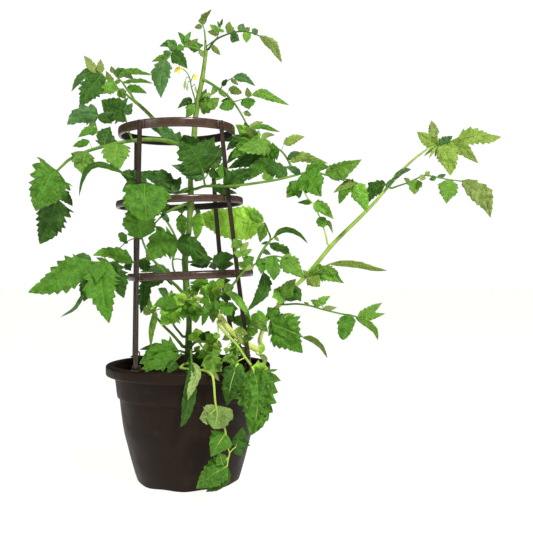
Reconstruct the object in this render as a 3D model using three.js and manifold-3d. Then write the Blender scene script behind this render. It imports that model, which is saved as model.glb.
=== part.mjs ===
// Tomato plant in a round plastic pot with a four-legged, three-ring plant cage.
// Millimetres, +Z up, origin on the ground under the centre of the pot. The front of the object looks along -Y.
import * as THREE from 'three'
import Module from 'manifold-3d'

// ---- driving dimensions ----
const POT_RIM_RADIUS = 152.5      // outside of the rolled rim
const POT_RIM_INNER = 136         // mouth of the pot
const POT_HEIGHT = 217            // ground to top of the rim
const POT_RIM_BAND = 19           // height of the rim band
const POT_COLLAR_Z = 158          // step under the collar
const POT_BASE_RADIUS = 94.7
const POT_FOOT_ARCH = 2.4         // height of the shallow arches round the foot
const POT_FOOT_ARCHES = 8
const POT_FLOOR = 4               // thickness of the floor
const SOIL_TOP = 188.6            // mean height of the soil
const SOIL_GAP = 0.4              // between soil and pot wall
const SOIL_BUMP = 1.5
const RING_TOP = { x: -20.9, y: -8, z: 648, radius: 108, height: 16.5, tiltX: 0.027, tiltY: -0.012 }
const RING_MIDDLE = { x: -16.2, y: 0, z: 516, radius: 118, height: 13, tiltX: 0.04, tiltY: 0 }
const RING_LOWER = { x: 3.9, y: 0, z: 381.8, radius: 117, height: 13, tiltX: 0.037, tiltY: 0 }
const RING_THICK = 5.5
const LEG_WIDTH = 9.5
const LEG_OUTER = 3.4             // bulge of the half-round leg outward
const LEG_INNER = 1.4             // flat back of the leg inward
const CLIP_CHEEK = 2.6            // cheek of the ring clip on each side of a leg
const CLIP_GAP = 0.35
const FOOT_LENGTH = 19            // of the clip along the rim
const FOOT_TAB = 8                // of the tab down the inside of the rim
const SMALL_BLADE = 19            // blades narrower than this have a three-sided section
const ROOT = 0.4                  // half width of a blade where it starts inside its stalk
const BLADE_THICK = 1.7           // leaf blade at the midrib
const SEAT_GAP = 0.42             // round a stalk where it sits on its stem
const MERGE_WITHIN = 0.2         // points closer than this to a face are merged into it
const FLOWERS = {
  flower_left: { centre: [-15.8, -39, 758.6], face: [-0.3, -0.82, 0.48], radius: 9.4 },
  flower_right: { centre: [15.4, -29.4, 746.2], face: [-0.25, -0.88, 0.4], radius: 6.8 },
}

// stems: rows of [x, y, z, radius] along the axis, base to tip
const STEMS = {
  main_stem: [[-0.03,0,173.56,6.6],[0.72,0,312.27,5.5],[-5.65,0,381.63,5.8],[-6.59,0,409.75,5.7],[-4.15,0,437.87,5.5],[0.54,0,462.24,5.1],[3.91,0,510.97,5.9],[3.72,0,559.71,5],[12.35,0,668.44,5.2],[19.84,0,720.92,4.6],[25.28,0,747.17,4.3],[31.84,0,795.9,3.4],[31.84,0,810.9,2.4],[29.59,0,840.89,1.4]],
  branch_right: [[12.59,-7,338.83,4.62],[28.92,-25,334.09,4.84],[43.15,-44,326.81,5.06],[56.74,-58,314.04,5.17],[78.93,-70,286.17,5.39],[104.2,-78,265.49,5.28],[120.21,-78,254.82,5.06],[131.69,-70,249.51,4.62],[136.64,-61,255.74,4.29],[134.26,-56,265.16,3.96],[141.47,-52,288.31,3.74],[149.63,-50,309.91,3.63],[167.76,-50,326.23,3.3],[177.73,-50,337.1,3.19],[189.51,-50,353.42,3.19],[208.55,-50,371.55,3.52],[229.63,-46,393.27,3.85],[261.31,-36,431.62,3.85],[292.48,-26,463.12,3.63],[332.66,-14,501.65,3.19],[357.92,-6,528.3,2.86],[374.69,0,547.53,2.75],[411.1,10,588.08,2.2],[448.91,20,618.7,1.76],[464.93,24,625.92,1.54]],
  shoot_left: [[-49.83,-22,652.64,3.5],[-65.64,-8,673.58,3.5],[-86.11,4,694.5,3.3],[-103.39,12,710.18,2.9]],
}
// leaves: seats = what the leaf grows from; axes = stalk and side stalks, rows of [x, y, z, radius];
// blades = [outline, left half width, right half width, fold in degrees, midrib points, upper side at base, upper side at tip, start of its own stalk or 0]
const LEAVES = {
  leaf_apex: { seats: ['main_stem'], axes: [[[29.59,0,840.89,1.17],[26.19,-2,853.43,0.7]]], blades: [
    ['ov',6.4,10.5,12,[[27.1,-1.2,850.8],[31.3,-7.2,863.1],[43.8,-13.2,875.2]],[0.59,-0.66,-0.47],[0.37,-0.6,-0.71],[26.9,-1.6,850.7]],
    ['sm',4.7,4.7,12,[[26.1,-0.8,848.2],[18.3,3.2,847.9],[10.4,7.2,847.7]],[-0.42,-0.84,-0.34],[-0.42,-0.84,-0.34],[27.5,-1.2,848.5]],
  ] },
  leaf_apex_right: { seats: ['main_stem'], axes: [[[31.88,0,809.68,1.17],[34.38,-4,809.84,1.08],[53.76,-9,824.35,0.89],[61.44,-13,848.33,0.7]]], blades: [
    ['nar',2.4,2.4,12,[[60.5,-12.5,844.8],[62.5,-15,851],[64.5,-17.5,857.2]],[0.02,-0.93,-0.38],[0.02,-0.92,-0.38],0],
    ['nar',2.4,2.4,12,[[59.5,-12,841.2],[57,-7.8,848.9],[54.5,-5.2,856.2]],[-0.19,-0.88,0.43],[-0.14,-0.95,0.27],[59.2,-11.8,841.3]],
    ['ov',5.6,5.6,12,[[57.6,-10.9,835.9],[48.6,-9,842.5],[39.6,-5.7,849.5]],[-0.23,-0.97,-0.08],[-0.35,-0.94,0.01],0],
    ['ov',6,6,12,[[56.6,-10.5,832.3],[46.7,-15.5,832.3],[36.9,-20.5,832.3]],[0.43,-0.85,-0.29],[0.43,-0.85,-0.29],0],
    ['sm',3.2,3.2,12,[[58.5,-11.2,837.7],[63.4,-14.2,835.4],[68.2,-17.2,833.2]],[-0.55,-0.83,-0.06],[-0.55,-0.83,-0.06],[58.1,-11.2,837.8]],
  ] },
  leaf_top_right: { seats: ['main_stem'], axes: [[[32.07,0,803.99,2.34],[37.56,-4,804.23,2.18],[52.58,-20,817.61,1.86],[79.55,-44,821.97,1.54],[98.12,-55,822.49,1.37],[120,-66,816.68,1.21],[133.5,-72,809.63,1.05]]], blades: [
    ['ov',10.6,10.6,20,[[81.4,-45.4,820.7],[89.5,-54.4,812.3],[97.5,-63.4,803.9]],[-0.75,-0.66,-0.02],[-0.76,-0.65,-0.02],[81.5,-45.2,822]],
    ['ov',7.3,7.3,12,[[83.3,-46.8,822.1],[77.6,-40.8,834.7],[78.2,-34.8,846.5]],[-0.27,-0.92,0.29],[0.16,-0.89,0.43],0],
    ['ov',7.3,7.3,12,[[98.1,-55,822.5],[101,-47,832],[104,-39,841.6]],[0.35,-0.77,0.54],[0.35,-0.77,0.53],0],
    ['ov',7.6,7.6,12,[[110.9,-61.9,819.6],[110.6,-67.9,808.1],[110.3,-73.9,796.6]],[0.05,-0.89,0.46],[0.05,-0.89,0.46],[111,-61.5,819.1]],
    ['sm',6.3,6.3,12,[[120,-66,816.7],[125.3,-60,821.1],[130.6,-54,825.5]],[0.69,-0.71,0.14],[0.69,-0.71,0.14],0],
    ['sm',4.5,4.5,12,[[107.3,-59.1,821.3],[111.6,-52.1,826.9],[116,-45.1,832.6]],[0.66,-0.67,0.33],[0.66,-0.68,0.32],[106.8,-59.4,820.2]],
    ['lan',9.7,9.7,12,[[133.5,-72,809.6],[152.2,-79.3,795.2],[164.6,-86.7,777.3],[173.3,-94,756.9]],[-0.6,-0.63,-0.49],[-0.71,-0.7,-0.04],0],
    ['lan',5.1,5.1,12,[[42.6,-10,810.1],[51.9,-17,799],[61.1,-24,787.9]],[-0.39,-0.89,0.24],[-0.39,-0.89,0.24],[43.3,-10.1,809.3]],
  ] },
  leaf_top_left: { seats: ['main_stem'], axes: [[[32.02,0,798.95,2.57],[16.92,-14,801.61,2.11],[1.17,-24,803.6,1.87],[-16.2,-34,798.2,1.64],[-35.8,-46,775.05,1.17]]], blades: [
    ['ov',4.6,4.6,12,[[22,-8.5,800.3],[25.6,-12.5,792.7],[29.2,-16.5,785.2]],[-0.23,-0.9,0.37],[-0.23,-0.9,0.37],0],
    ['ov',7.4,7.4,12,[[20.4,-11.2,801.4],[8.4,-12.7,805.7],[-2.8,-21,808.1]],[-0.03,-0.98,-0.21],[0.54,-0.75,-0.38],0],
    ['ov',5.6,5.6,12,[[4.6,-21.5,805.2],[10.6,-5.1,816.5],[17.7,-1,824.7]],[0.7,-0.54,0.47],[0.34,-0.94,-0.01],[4.6,-21.8,803.2]],
    ['ov',4.7,4.7,12,[[8.2,-20.2,805.5],[2.6,0.1,818],[-1.5,3.7,826]],[-0.42,-0.53,0.73],[-0.12,-0.98,0.14],[7.6,-19.9,802.8]],
    ['ov',5.6,5.6,12,[[-2.3,-26.5,803.9],[-8.8,-17.1,821.2],[-18.7,-10.8,834.5]],[-0.14,-0.89,0.44],[-0.3,-0.94,0.19],[-2.2,-25.9,802.6]],
    ['lan',4.6,4.6,12,[[-5,-26.5,811.2],[0.5,-21.9,822.2],[5.8,-14.2,834.1]],[0.35,-0.92,0.17],[0.44,-0.82,0.36],[-2.5,-26.1,802.5]],
    ['ov',6.5,6.5,12,[[9.9,-19,804],[18.3,-2.5,810.2],[27.6,4.4,813.9]],[0.9,-0.44,0.05],[0.55,-0.83,-0.13],[9.5,-18.7,802.5]],
    ['ov',6.4,6.4,12,[[-7.5,-29,802.3],[-12.9,-39.3,795.9],[-15,-45.4,787.9]],[0.81,-0.55,0.22],[0.32,-0.81,0.49],[-7.2,-28.8,801]],
    ['ov',7.4,7.4,12,[[-18,-34,801],[-33.2,-29.5,807.6],[-51.2,-25.6,803.5]],[-0.32,-0.95,-0.05],[-0.1,-0.94,-0.33],[-16.2,-34,798.2]],
    ['sm',4.6,4.6,12,[[-19.9,-34,802.8],[-22.3,-40.9,797.3],[-25.2,-43.7,792.9]],[0.64,-0.58,0.5],[0.44,-0.88,0.16],[-16.2,-34,798.2]],
    ['ov',5.9,5.9,12,[[-29.8,-43,783.1],[-46.8,-38,778.9],[-64.9,-33,773.3]],[-0.19,-0.92,-0.33],[-0.15,-0.93,-0.34],[-29.5,-42.2,782.4]],
    ['sm',4.5,4.5,12,[[-28.1,-42,785.2],[-34.9,-46,786.4],[-41.6,-50,787.6]],[0.44,-0.84,-0.32],[0.44,-0.84,-0.32],[-27.8,-41.1,784.5]],
    ['ov',12.2,12.2,10,[[-27.2,-42,785.2],[-11.6,-51,773.8],[3.7,-60,754.4]],[-0.46,-0.89,0.08],[-0.26,-0.94,0.22],[-27.5,-40.9,784.9]],
    ['ov',16.5,16.5,12,[[-38.5,-46,773.2],[-45.1,-54,740.5],[-43.7,-62,700.9]],[0.07,-0.97,0.23],[-0.06,-0.98,0.19],[-35.8,-46,775]],
    ['sm',4.6,4.6,12,[[-24.7,-40,789.3],[-29.6,-36.9,800.6],[-34.5,-34.3,811.9]],[-0.1,-0.97,0.23],[-0.08,-0.98,0.19],[-24.4,-39,788.5]],
  ] },
  leaf_upper_right: { seats: ['main_stem'], axes: [[[25.28,0,747.17,3.16],[31.02,-4,745.34,2.89],[67.19,20,726,2.36],[83.88,30,709.92,2.09],[95.15,36,693.82,1.82],[113.25,42,661.22,1.29]],[[58.2,14.04,730.81,1.29],[63.39,20,742.15,1.13],[83.8,32,760.07,0.82]],[[82.08,28.92,711.66,1.29],[108.44,42,721.9,0.97],[118,46,728.5,0.82]]], blades: [
    ['ov',7.7,7.7,12,[[83.8,32,760.1],[102.7,39,759.7],[124.8,46,745.9]],[0.36,-0.91,-0.21],[0.11,-0.95,-0.28],0],
    ['sm',3.8,3.8,12,[[78.2,29,755.6],[85.5,25,749],[92.8,21,742.4]],[-0.38,-0.92,0.13],[-0.38,-0.91,0.13],0],
    ['sm',4.3,4.3,12,[[61.6,18.8,740],[66.5,14.8,745.7],[71.4,10.8,751.5]],[-0.15,-0.87,-0.47],[-0.16,-0.87,-0.47],[62.3,18.7,739.7]],
    ['ov',4.7,4.7,12,[[56.2,13,732.1],[63.1,8,723.5],[69.9,3,715]],[-0.34,-0.91,0.26],[-0.34,-0.9,0.26],0],
    ['ov',5.6,5.6,12,[[50.7,9.5,736.1],[47.3,4.5,727.5],[43.9,-0.5,718.9]],[0.33,-0.87,0.37],[0.33,-0.87,0.37],[50.5,8.9,734.9]],
    ['sm',7.6,7.6,12,[[74.7,22.5,736],[86.8,29.5,733.2],[99,36.5,730.4]],[0.42,-0.85,-0.31],[0.42,-0.85,-0.31],[66.9,22,745.2]],
    ['sm',9.5,9.5,12,[[83.8,30.8,708.2],[69.9,22.8,703.3],[56.1,14.8,698.4]],[0.51,-0.86,-0.06],[0.52,-0.86,-0.05],[84.7,30.5,708.7]],
    ['sm',3.8,3.8,12,[[76.4,26.2,716.8],[67.6,31.2,715.4],[58.7,36.2,714]],[-0.43,-0.85,-0.3],[-0.43,-0.85,-0.3],0],
    ['ov',13.4,13.4,12,[[108.4,42,721.9],[110.5,35,709.5],[112.6,28,697.1]],[-0.09,-0.87,0.48],[-0.09,-0.87,0.48],0],
    ['ov',5.8,5.8,12,[[112.3,43.5,724.1],[110.2,48.5,734.3],[108.2,53.5,744.6]],[-0.11,-0.9,0.42],[-0.11,-0.9,0.42],0],
    ['lan',8.3,8.3,12,[[118,46,728.5],[137.3,52,732.6],[162.5,58,723.2],[189.9,64,712.7]],[0.33,-0.93,-0.12],[0.11,-0.96,-0.25],0],
    ['sm',4.8,4.8,12,[[102.8,37,694],[110.1,34,690.1],[117.3,31,686.2]],[-0.37,-0.93,0.02],[-0.38,-0.93,0.02],[96.9,36.6,690.7]],
    ['lan',5.3,5.3,12,[[112.3,41.8,664.1],[125.7,47.8,672.8],[140.2,53.8,677.7]],[0.37,-0.93,0.06],[0.4,-0.92,-0.07],0],
    ['lan',4.8,4.8,12,[[113.3,42,662.2],[137.3,49.3,668.2],[154.7,56.7,664.6],[172.4,64,659.9]],[0.31,-0.95,-0.09],[0.31,-0.91,-0.26],0],
    ['sm',3.8,3.8,12,[[113.3,42,661.2],[108.1,36.6,667.1],[102.9,32.9,673.2]],[0.31,-0.81,-0.5],[0.19,-0.91,-0.36],0],
  ] },
  leaf_ring_stem: { seats: ['main_stem'], axes: [[[17.65,0,707.8,1.87],[20.82,-5,706.81,1.64],[32.08,-18,711.65,1.17]]], blades: [
    ['ov',19.4,10.2,12,[[23.8,-7.6,706.3],[41.5,-20.6,700.9],[59.4,-25.6,708.3]],[-0.62,-0.79,0.02],[-0.08,-0.96,-0.27],[23.1,-7.7,707.8]],
    ['ov',4.7,4.7,12,[[26,-12,709.1],[29.9,-7.3,719.9],[33.8,-3.5,730.5]],[0.28,-0.91,0.31],[0.25,-0.94,0.23],[26.5,-11.6,709.3]],
    ['ov',5.6,5.6,12,[[28.1,-14.2,710.5],[37.1,-10,716.1],[46,-4.8,721.8]],[0.42,-0.91,-0.01],[0.49,-0.87,0.04],[28.6,-14,710.1]],
  ] },
  leaf_ring_stem_left: { seats: ['flower_truss_stalk'], axes: [[[13.06,-6,702.88,1.76],[8.58,-4,701.4,1.56],[0.2,-14,703.17,1.17]]], blades: [
    ['ov',7.5,7.5,12,[[6.9,-6.2,702.8],[-3.9,-9.7,705],[-18.9,-17.7,690.4]],[0.17,-0.96,-0.23],[0.4,-0.91,0.1],[6.7,-6.2,701.8]],
    ['ov',8.4,8.4,12,[[5.2,-7.8,700.7],[3.3,-7.1,687.7],[-4.8,-1.4,675.7]],[0.11,-0.99,-0.01],[-0.08,-0.9,-0.42],[5.5,-7.7,702.1]],
  ] },
  flower_truss_stalk: { seats: ['main_stem'], axes: [[[16.67,0,701.24,1.4],[13.06,-6,702.88,1.33],[7.44,-20,727.89,1.18],[4.67,-24,743.64,1.11],[0.62,-26,753.14,1.04],[-5.5,-31,758.96,0.97],[-10.64,-34.5,761.06,0.89],[-14.85,-36.3,758.25,0.82]],[[5.6,-22.65,738.33,0.82],[11.4,-25,750.79,0.7],[15.33,-25.6,748.81,0.58]],[[4.7,-23.95,743.46,0.7],[-0.58,-25,747.1,0.64],[-3.25,-26,740.42,0.58]],[[5.92,-22.2,736.54,0.7],[2.18,-25,739.73,0.64],[0.54,-27,731.92,0.58]],[[7.15,-20.41,729.52,0.7],[13.07,-23,734.63,0.64],[14.72,-25,728.66,0.58]]], blades: [
    ['bud',2.4,2.4,12,[[-3.3,-25.9,741.4],[-4.4,-26.5,732.5],[-5.5,-27.9,723.4]],[0.13,-0.99,0.04],[0.15,-0.98,0.14],[-2.9,-25.9,741.2]],
    ['bud',2,2,12,[[0.5,-26.8,732.9],[0.3,-29.1,726.4],[0,-30.4,720.1]],[0.13,-0.93,0.35],[0.13,-0.97,0.19],0],
    ['bud',2.2,2.2,12,[[14.7,-24.8,729.6],[15.9,-26.2,722.9],[17.2,-27.8,716.1]],[0.01,-0.98,0.22],[0.01,-0.98,0.22],0],
  ] },
  leaf_shoot_a: { seats: ['shoot_left'], axes: [[[-103.39,12,710.18,2.57],[-169.39,30,765.35,1.29]]], blades: [
    ['ov',8.2,8.2,12,[[-179.9,30,768.2],[-192.9,37,786.2],[-206,44,804.3]],[-0.15,-0.95,0.27],[-0.14,-0.95,0.26],[-169.4,30,765.4]],
    ['ov',7.1,7.1,12,[[-171.3,30,767.3],[-170.3,25,779.4],[-169.3,20,791.5]],[0.18,-0.9,-0.39],[0.18,-0.9,-0.39],[-169.4,30,765.4]],
    ['lob',21,21,12,[[-168.4,29.6,764.3],[-186.7,4.1,729.3],[-201.3,-6.1,695.4]],[0.43,-0.81,0.4],[0.19,-0.97,0.16],0],
    ['lan',10.9,10.9,12,[[-174.2,30,768.2],[-196.4,35.3,768.5],[-216.8,40.7,756.3],[-230.6,46,735.3]],[-0.16,-0.83,0.54],[-0.49,-0.87,0.08],[-169.4,30,765.4]],
    ['lob',12.3,12.3,12,[[-136.3,21.5,736.8],[-154.8,19,736.2],[-171.7,13.7,723.7]],[0.1,-0.97,-0.2],[0.37,-0.93,-0.07],[-135.9,20.9,737.4]],
    ['ov',8.6,8.6,12,[[-134.3,21,734.8],[-129.4,28,726.7],[-124.4,35,718.6]],[0.35,-0.8,-0.48],[0.35,-0.81,-0.48],[-133.8,20.3,735.6]],
    ['ov',5.8,5.8,12,[[-148.4,25.1,747.1],[-156,34.9,760.7],[-162.7,39.9,773.4]],[-0.19,-0.83,0.52],[-0.07,-0.95,0.3],[-148.2,24.2,747.6]],
  ] },
  leaf_shoot_b: { seats: ['shoot_left','leaf_shoot_a'], axes: [[[-103.39,12,710.18,2.57],[-109.48,18,721.8,2.29],[-130.2,30,750.06,1.73],[-148.33,40,769.59,1.17]]], blades: [
    ['ov',8.7,8.7,12,[[-147.3,39.5,768.5],[-129.3,46.5,771.1],[-111.1,53.5,760.1]],[0.39,-0.9,-0.18],[0.2,-0.95,-0.24],0],
    ['lan',7.4,7.4,12,[[-138.7,34.5,758.7],[-117.8,24.5,767.9],[-91.5,14.5,765.6],[-67.4,4.5,756.6]],[0.19,-0.49,-0.85],[-0.5,-0.59,-0.63],0],
    ['lan',6.7,6.7,12,[[-130.2,30,749.1],[-112.5,38.7,754.9],[-92.7,47.3,756.8],[-74.6,56,752.9]],[0.47,-0.37,-0.8],[0,-0.45,-0.89],0],
    ['ov',7.6,7.6,12,[[-119.6,24,736.4],[-99,14,733.3],[-78.6,4,722.7]],[-0.44,-0.88,-0.19],[-0.4,-0.91,0.08],0],
    ['ov',4.8,4.8,12,[[-148.3,40,769.6],[-151.1,42,776.8],[-153.9,44,784]],[0.01,-0.96,0.27],[0.01,-0.96,0.27],0],
    ['sm',3.8,3.8,12,[[-145.1,38,765.3],[-140.2,35,770.3],[-135.3,32,775.4]],[-0.04,-0.88,-0.48],[-0.04,-0.88,-0.48],0],
    ['sm',3.8,3.8,12,[[-134.4,32.2,754.4],[-139.8,30.4,750.1],[-145.2,28.5,745.9]],[0.38,-0.92,-0.07],[0.38,-0.92,-0.07],0],
  ] },
  leaf_ring_left: { seats: ['leaf_left_long'], axes: [[[-94.88,-62.74,624.15,1.99],[-113.55,-38,677.43,1.29]]], blades: [
    ['lob',25,25,12,[[-112.6,-38,676.5],[-136,-20.7,689.8],[-162,-6.4,708.4]],[-0.54,-0.82,0.17],[-0.35,-0.92,0.19],[-113.2,-38.4,676.5]],
    ['ov',8.2,8.2,12,[[-112.6,-38,676.5],[-104.9,-43,685.6],[-97.3,-48,694.7]],[-0.04,-0.89,-0.45],[-0.04,-0.89,-0.45],[-113.2,-38.4,676.5]],
    ['ov',7.3,7.3,12,[[-111.4,-40,672.5],[-118.3,-47,666.2],[-125.2,-54,660]],[0.62,-0.77,0.16],[0.63,-0.76,0.17],0],
  ] },
  leaf_left_long: { seats: ['main_stem'], axes: [[[7.74,0,613.01,4.56],[-1.31,-8,612.98,4.34],[-14.02,-20,622.44,4.12],[-39.27,-40,627.78,3.89],[-85.39,-60,625.69,3.45],[-116.37,-68,620.01,3.22],[-176.82,-78,601.65,2.78],[-203.01,-80,588.94,2.55],[-226.1,-80,567.63,2.11]],[[-226.1,-80,567.63,1.76],[-228.81,-66,549.47,1.56],[-229.45,-60,532.05,1.36],[-231.25,-60,514.04,1.17]]], blades: [
    ['ov',11.2,11.2,12,[[-19,-25,625.4],[-42.8,-12,647.8],[-70.7,1,657.4]],[-0.27,-0.93,0.24],[-0.42,-0.91,-0.03],[-19.8,-24.5,623.7]],
    ['ov',8.4,8.4,12,[[-20.9,-25,625.4],[-18.8,-10,638.3],[-16.7,5,651.4]],[0.34,-0.64,0.69],[0.34,-0.65,0.68],0],
    ['lob',17,17,12,[[-144,-73.2,613],[-141.5,-67.7,629.9],[-137.5,-51.5,651.4]],[0.26,-0.94,0.21],[0.4,-0.75,0.52],[-143.7,-72.5,611.7]],
    ['ov',25.7,21.2,12,[[-121.6,-68.8,618.6],[-118.6,-84.9,593.6],[-111.9,-93,570]],[0.17,-0.81,0.57],[0.06,-0.95,0.31],0],
    ['ov',19.4,18.6,12,[[-175,-78,602],[-178.3,-87,582.8],[-176.3,-96,558.8]],[0.35,-0.87,0.34],[0.19,-0.91,0.36],0],
    ['ov',6.7,6.7,12,[[-170.1,-76,621.5],[-186.2,-70,617.5],[-202.4,-64,613.4]],[-0.27,-0.92,-0.29],[-0.27,-0.92,-0.29],[-165.2,-76.1,605.2]],
    ['lob',32.2,39.4,12,[[-227,-80,567.6],[-234.5,-95.2,555.4],[-244.9,-105.2,526.4],[-254.9,-110,494.7]],[0.57,-0.62,0.53],[0.11,-0.99,0.1],[-226.1,-79.9,567.5]],
    ['lob',27.6,31.2,12,[[-231.3,-60,517.6],[-245.7,-53,482],[-265.8,-46,438.7]],[0.02,-0.98,-0.2],[0.02,-0.99,-0.17],0],
    ['lob',9.9,9.9,12,[[-229.3,-60.8,533.8],[-216.6,-53.8,523.5],[-206.5,-46.8,507.8]],[0.37,-0.91,-0.17],[0.32,-0.93,-0.21],0],
    ['sm',3.1,3.1,12,[[-192.5,-79.2,594.4],[-195.8,-84.3,596.4],[-199.3,-88.1,598.5]],[0.69,-0.59,-0.41],[0.57,-0.75,-0.34],0],
  ] },
  leaf_left_up: { seats: ['leaf_left_long'], axes: [[[-149.17,-74,611.1,1.99],[-160.42,-56,644.35,1.57],[-164.94,-50,661.64,1.43],[-159.91,-48,671.06,1.29]]], blades: [
    ['lob',18.6,18.6,12,[[-159.9,-48,671.1],[-184.2,-61,671.4],[-209.8,-74,651.2]],[0.48,-0.88,0.05],[0.29,-0.93,0.21],0],
    ['lan',4.1,4.1,12,[[-159.9,-48,672],[-147.2,-39,675.9],[-134.2,-30,679.8]],[0.59,-0.8,-0.08],[0.59,-0.81,-0.08],[-159.9,-48,671.1]],
    ['ov',6.4,6.4,12,[[-159.9,-48.2,670.1],[-148,-41.5,664.9],[-136.3,-33.9,659.9]],[0.39,-0.89,-0.26],[0.44,-0.85,-0.28],0],
    ['sm',3.3,3.3,12,[[-163.9,-52.2,655.8],[-169.6,-54.2,653.7],[-175.4,-56.2,651.5]],[0.36,-0.93,-0.11],[0.36,-0.93,-0.11],0],
    ['ov',8.1,8.1,12,[[-159.9,-57,642.4],[-176.1,-65,641.1],[-190.4,-73,628.2]],[0.43,-0.89,-0.16],[0.45,-0.89,0.06],0],
  ] },
  leaf_center_front: { seats: ['leaf_right_long'], axes: [[[35.51,-44.06,543.9,2.22],[32.09,-54,561.5,1.68],[30.39,-60,578.87,1.4]],[[33.21,-50.73,555.71,1.29],[46.79,-44,577.12,0.94]]], blades: [
    ['lob',38.1,34.4,12,[[31.3,-55.5,566.8],[23.3,-68,590.5],[9.7,-75.4,610.9],[-1.7,-77.5,632]],[0.34,-0.87,-0.36],[0.2,-0.98,0.03],0],
    ['ov',12.6,12.6,5,[[32.9,-52.2,558.1],[8.5,-63.2,569.5],[-23.4,-74.2,579]],[0.32,-0.92,-0.23],[0.27,-0.95,-0.16],0],
    ['ov',11.9,11.9,12,[[46.8,-44,576.2],[53.3,-32,598.7],[64.6,-20,619.7]],[0.22,-0.88,0.41],[0.34,-0.89,0.32],[46.4,-44.2,576.5]],
    ['ov',5.5,5.5,12,[[39.8,-48,565.8],[35.8,-37,578.4],[31.8,-26,591.2]],[-0.14,-0.77,0.62],[-0.14,-0.77,0.62],0],
    ['ov',7.2,7.2,12,[[42.4,-46.5,569.6],[52.4,-53.5,563.8],[62.3,-60.5,558.1]],[-0.49,-0.85,0.19],[-0.49,-0.85,0.19],0],
    ['ov',6.4,6.4,12,[[46.8,-44,577.1],[49.3,-48,583.9],[51.8,-52,590.7]],[-0.06,-0.87,-0.49],[-0.06,-0.87,-0.49],0],
  ] },
  leaf_right_long: { seats: ['main_stem'], axes: [[[3.83,0,542.3,2.92],[14.51,-12,541.76,2.82],[33.89,-42,543.99,2.6],[85.49,-98,539.3,2.38],[117.26,-108,541.85,2.28],[152.1,-108,547.08,2.17],[204.76,-98,560.35,1.95],[227.68,-96,564.96,1.84],[284.46,-90,552.4,1.63],[306.07,-86,545.73,1.52]],[[41.47,-50.22,543.3,1.4],[53.57,-36,556.08,0.94]]], blades: [
    ['ov',10,10,12,[[49.7,-60.8,542.8],[69.1,-53.1,536.3],[92.7,-54.3,529.8]],[0.17,-0.8,-0.57],[-0.2,-0.87,-0.45],0],
    ['ov',15.8,15.8,12,[[72.5,-85,540.5],[96.1,-100.5,554.8],[130.3,-104.8,571.8]],[-0.16,-0.75,-0.64],[0.14,-0.89,-0.43],0],
    ['ov',7.9,7.9,12,[[96.1,-101.8,539],[83.3,-88.7,556.9],[70.7,-83,574.4]],[-0.33,-0.85,0.41],[-0.15,-0.98,0.16],[96.2,-101.4,540.2]],
    ['ov',9.3,9.3,12,[[53.6,-36,556.1],[61.3,-11,575.4],[65.6,14,597.1]],[0.45,-0.63,0.63],[0.25,-0.66,0.71],0],
    ['lob',10.6,10.6,12,[[152.1,-108,547.1],[148.6,-92.7,559.2],[141.6,-81.7,572.8]],[-0.24,-0.61,0.75],[-0.32,-0.83,0.45],0],
    ['lob',12.7,12.7,12,[[180.1,-104,552.7],[159.2,-95.2,573],[132.7,-82.2,590.4]],[-0.07,-0.95,0.31],[-0.25,-0.91,0.33],[179.5,-102.8,554]],
    ['ov',6,6,12,[[204.8,-98,560.4],[191.6,-125.2,566],[177.8,-127.9,570]],[0.69,-0.41,-0.59],[-0.06,-0.99,-0.11],0],
    ['ov',23.5,23.5,18,[[211.8,-97.5,562.2],[225.1,-110.5,543.4],[240.7,-123.5,518.8]],[-0.39,-0.86,0.34],[-0.31,-0.91,0.28],0],
    ['ov',10.6,10.6,12,[[215.3,-97,563.1],[235.2,-88,573.8],[258.9,-79,574.8]],[0.35,-0.93,0.13],[0.35,-0.93,-0.13],0],
    ['ov',21.6,10.8,20,[[250.7,-94,562.5],[277.4,-109,572.2],[309.6,-124,582.5]],[-0.3,-0.83,-0.47],[-0.25,-0.86,-0.44],[250.1,-93.6,560]],
    ['lan',8.1,8.1,12,[[304.2,-86.5,545.7],[285.4,-98.1,541.1],[262.8,-106.4,526.3]],[0.41,-0.77,0.5],[-0.08,-0.85,0.53],0],
    ['lan',9.8,9.8,12,[[297.1,-87.5,543.8],[283.4,-82.5,530.1],[275,-77.5,509.2]],[-0.45,-0.88,0.16],[-0.51,-0.86,-0.02],[298.4,-87.4,548.1]],
    ['ov',14.1,14.1,12,[[304.2,-86.5,544.8],[312.3,-93.5,522.1],[322.8,-100.5,492.7]],[-0.23,-0.95,0.22],[-0.2,-0.97,0.15],[304.6,-86.3,546.2]],
    ['sm',2.6,2.6,12,[[297.1,-87.5,547.4],[297,-92.4,549.9],[297,-96.3,552.6]],[-0.17,-0.44,-0.88],[-0.17,-0.58,-0.8],[297.4,-87.6,548.4]],
  ] },
  leaf_right_upper: { seats: ['leaf_right_long'], axes: [[[200.55,-98.79,559.23,2.22],[170.64,-40,610.44,1.71],[156.15,-24,620.94,1.61],[122.51,4,642.81,1.4]]], blades: [
    ['lob',17.9,17.9,5,[[137.6,-8,631.6],[109.7,-12.3,623.6],[79.8,-6.9,600.1]],[0.18,-0.98,0.07],[-0.16,-0.99,-0.07],[137.8,-8.7,632.9]],
    ['lob',16.1,16.1,12,[[156.1,-24,620],[128.6,-37,616.3],[94.3,-50,610]],[0.42,-0.9,0.16],[0.31,-0.93,0.17],[156.4,-24.3,620.8]],
    ['lob',16.2,16.2,12,[[168.8,-38,610.7],[152.5,-25,605.1],[130.2,-12,590.1]],[-0.63,-0.78,-0.07],[-0.42,-0.9,-0.12],[169.1,-38.3,611.5]],
    ['lob',9.7,9.7,12,[[126.3,1,638.6],[98.4,-6.3,637.5],[65.7,-5.4,632]],[0.29,-0.95,0.11],[-0.08,-0.99,0.09],[126.8,0.4,640]],
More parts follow.
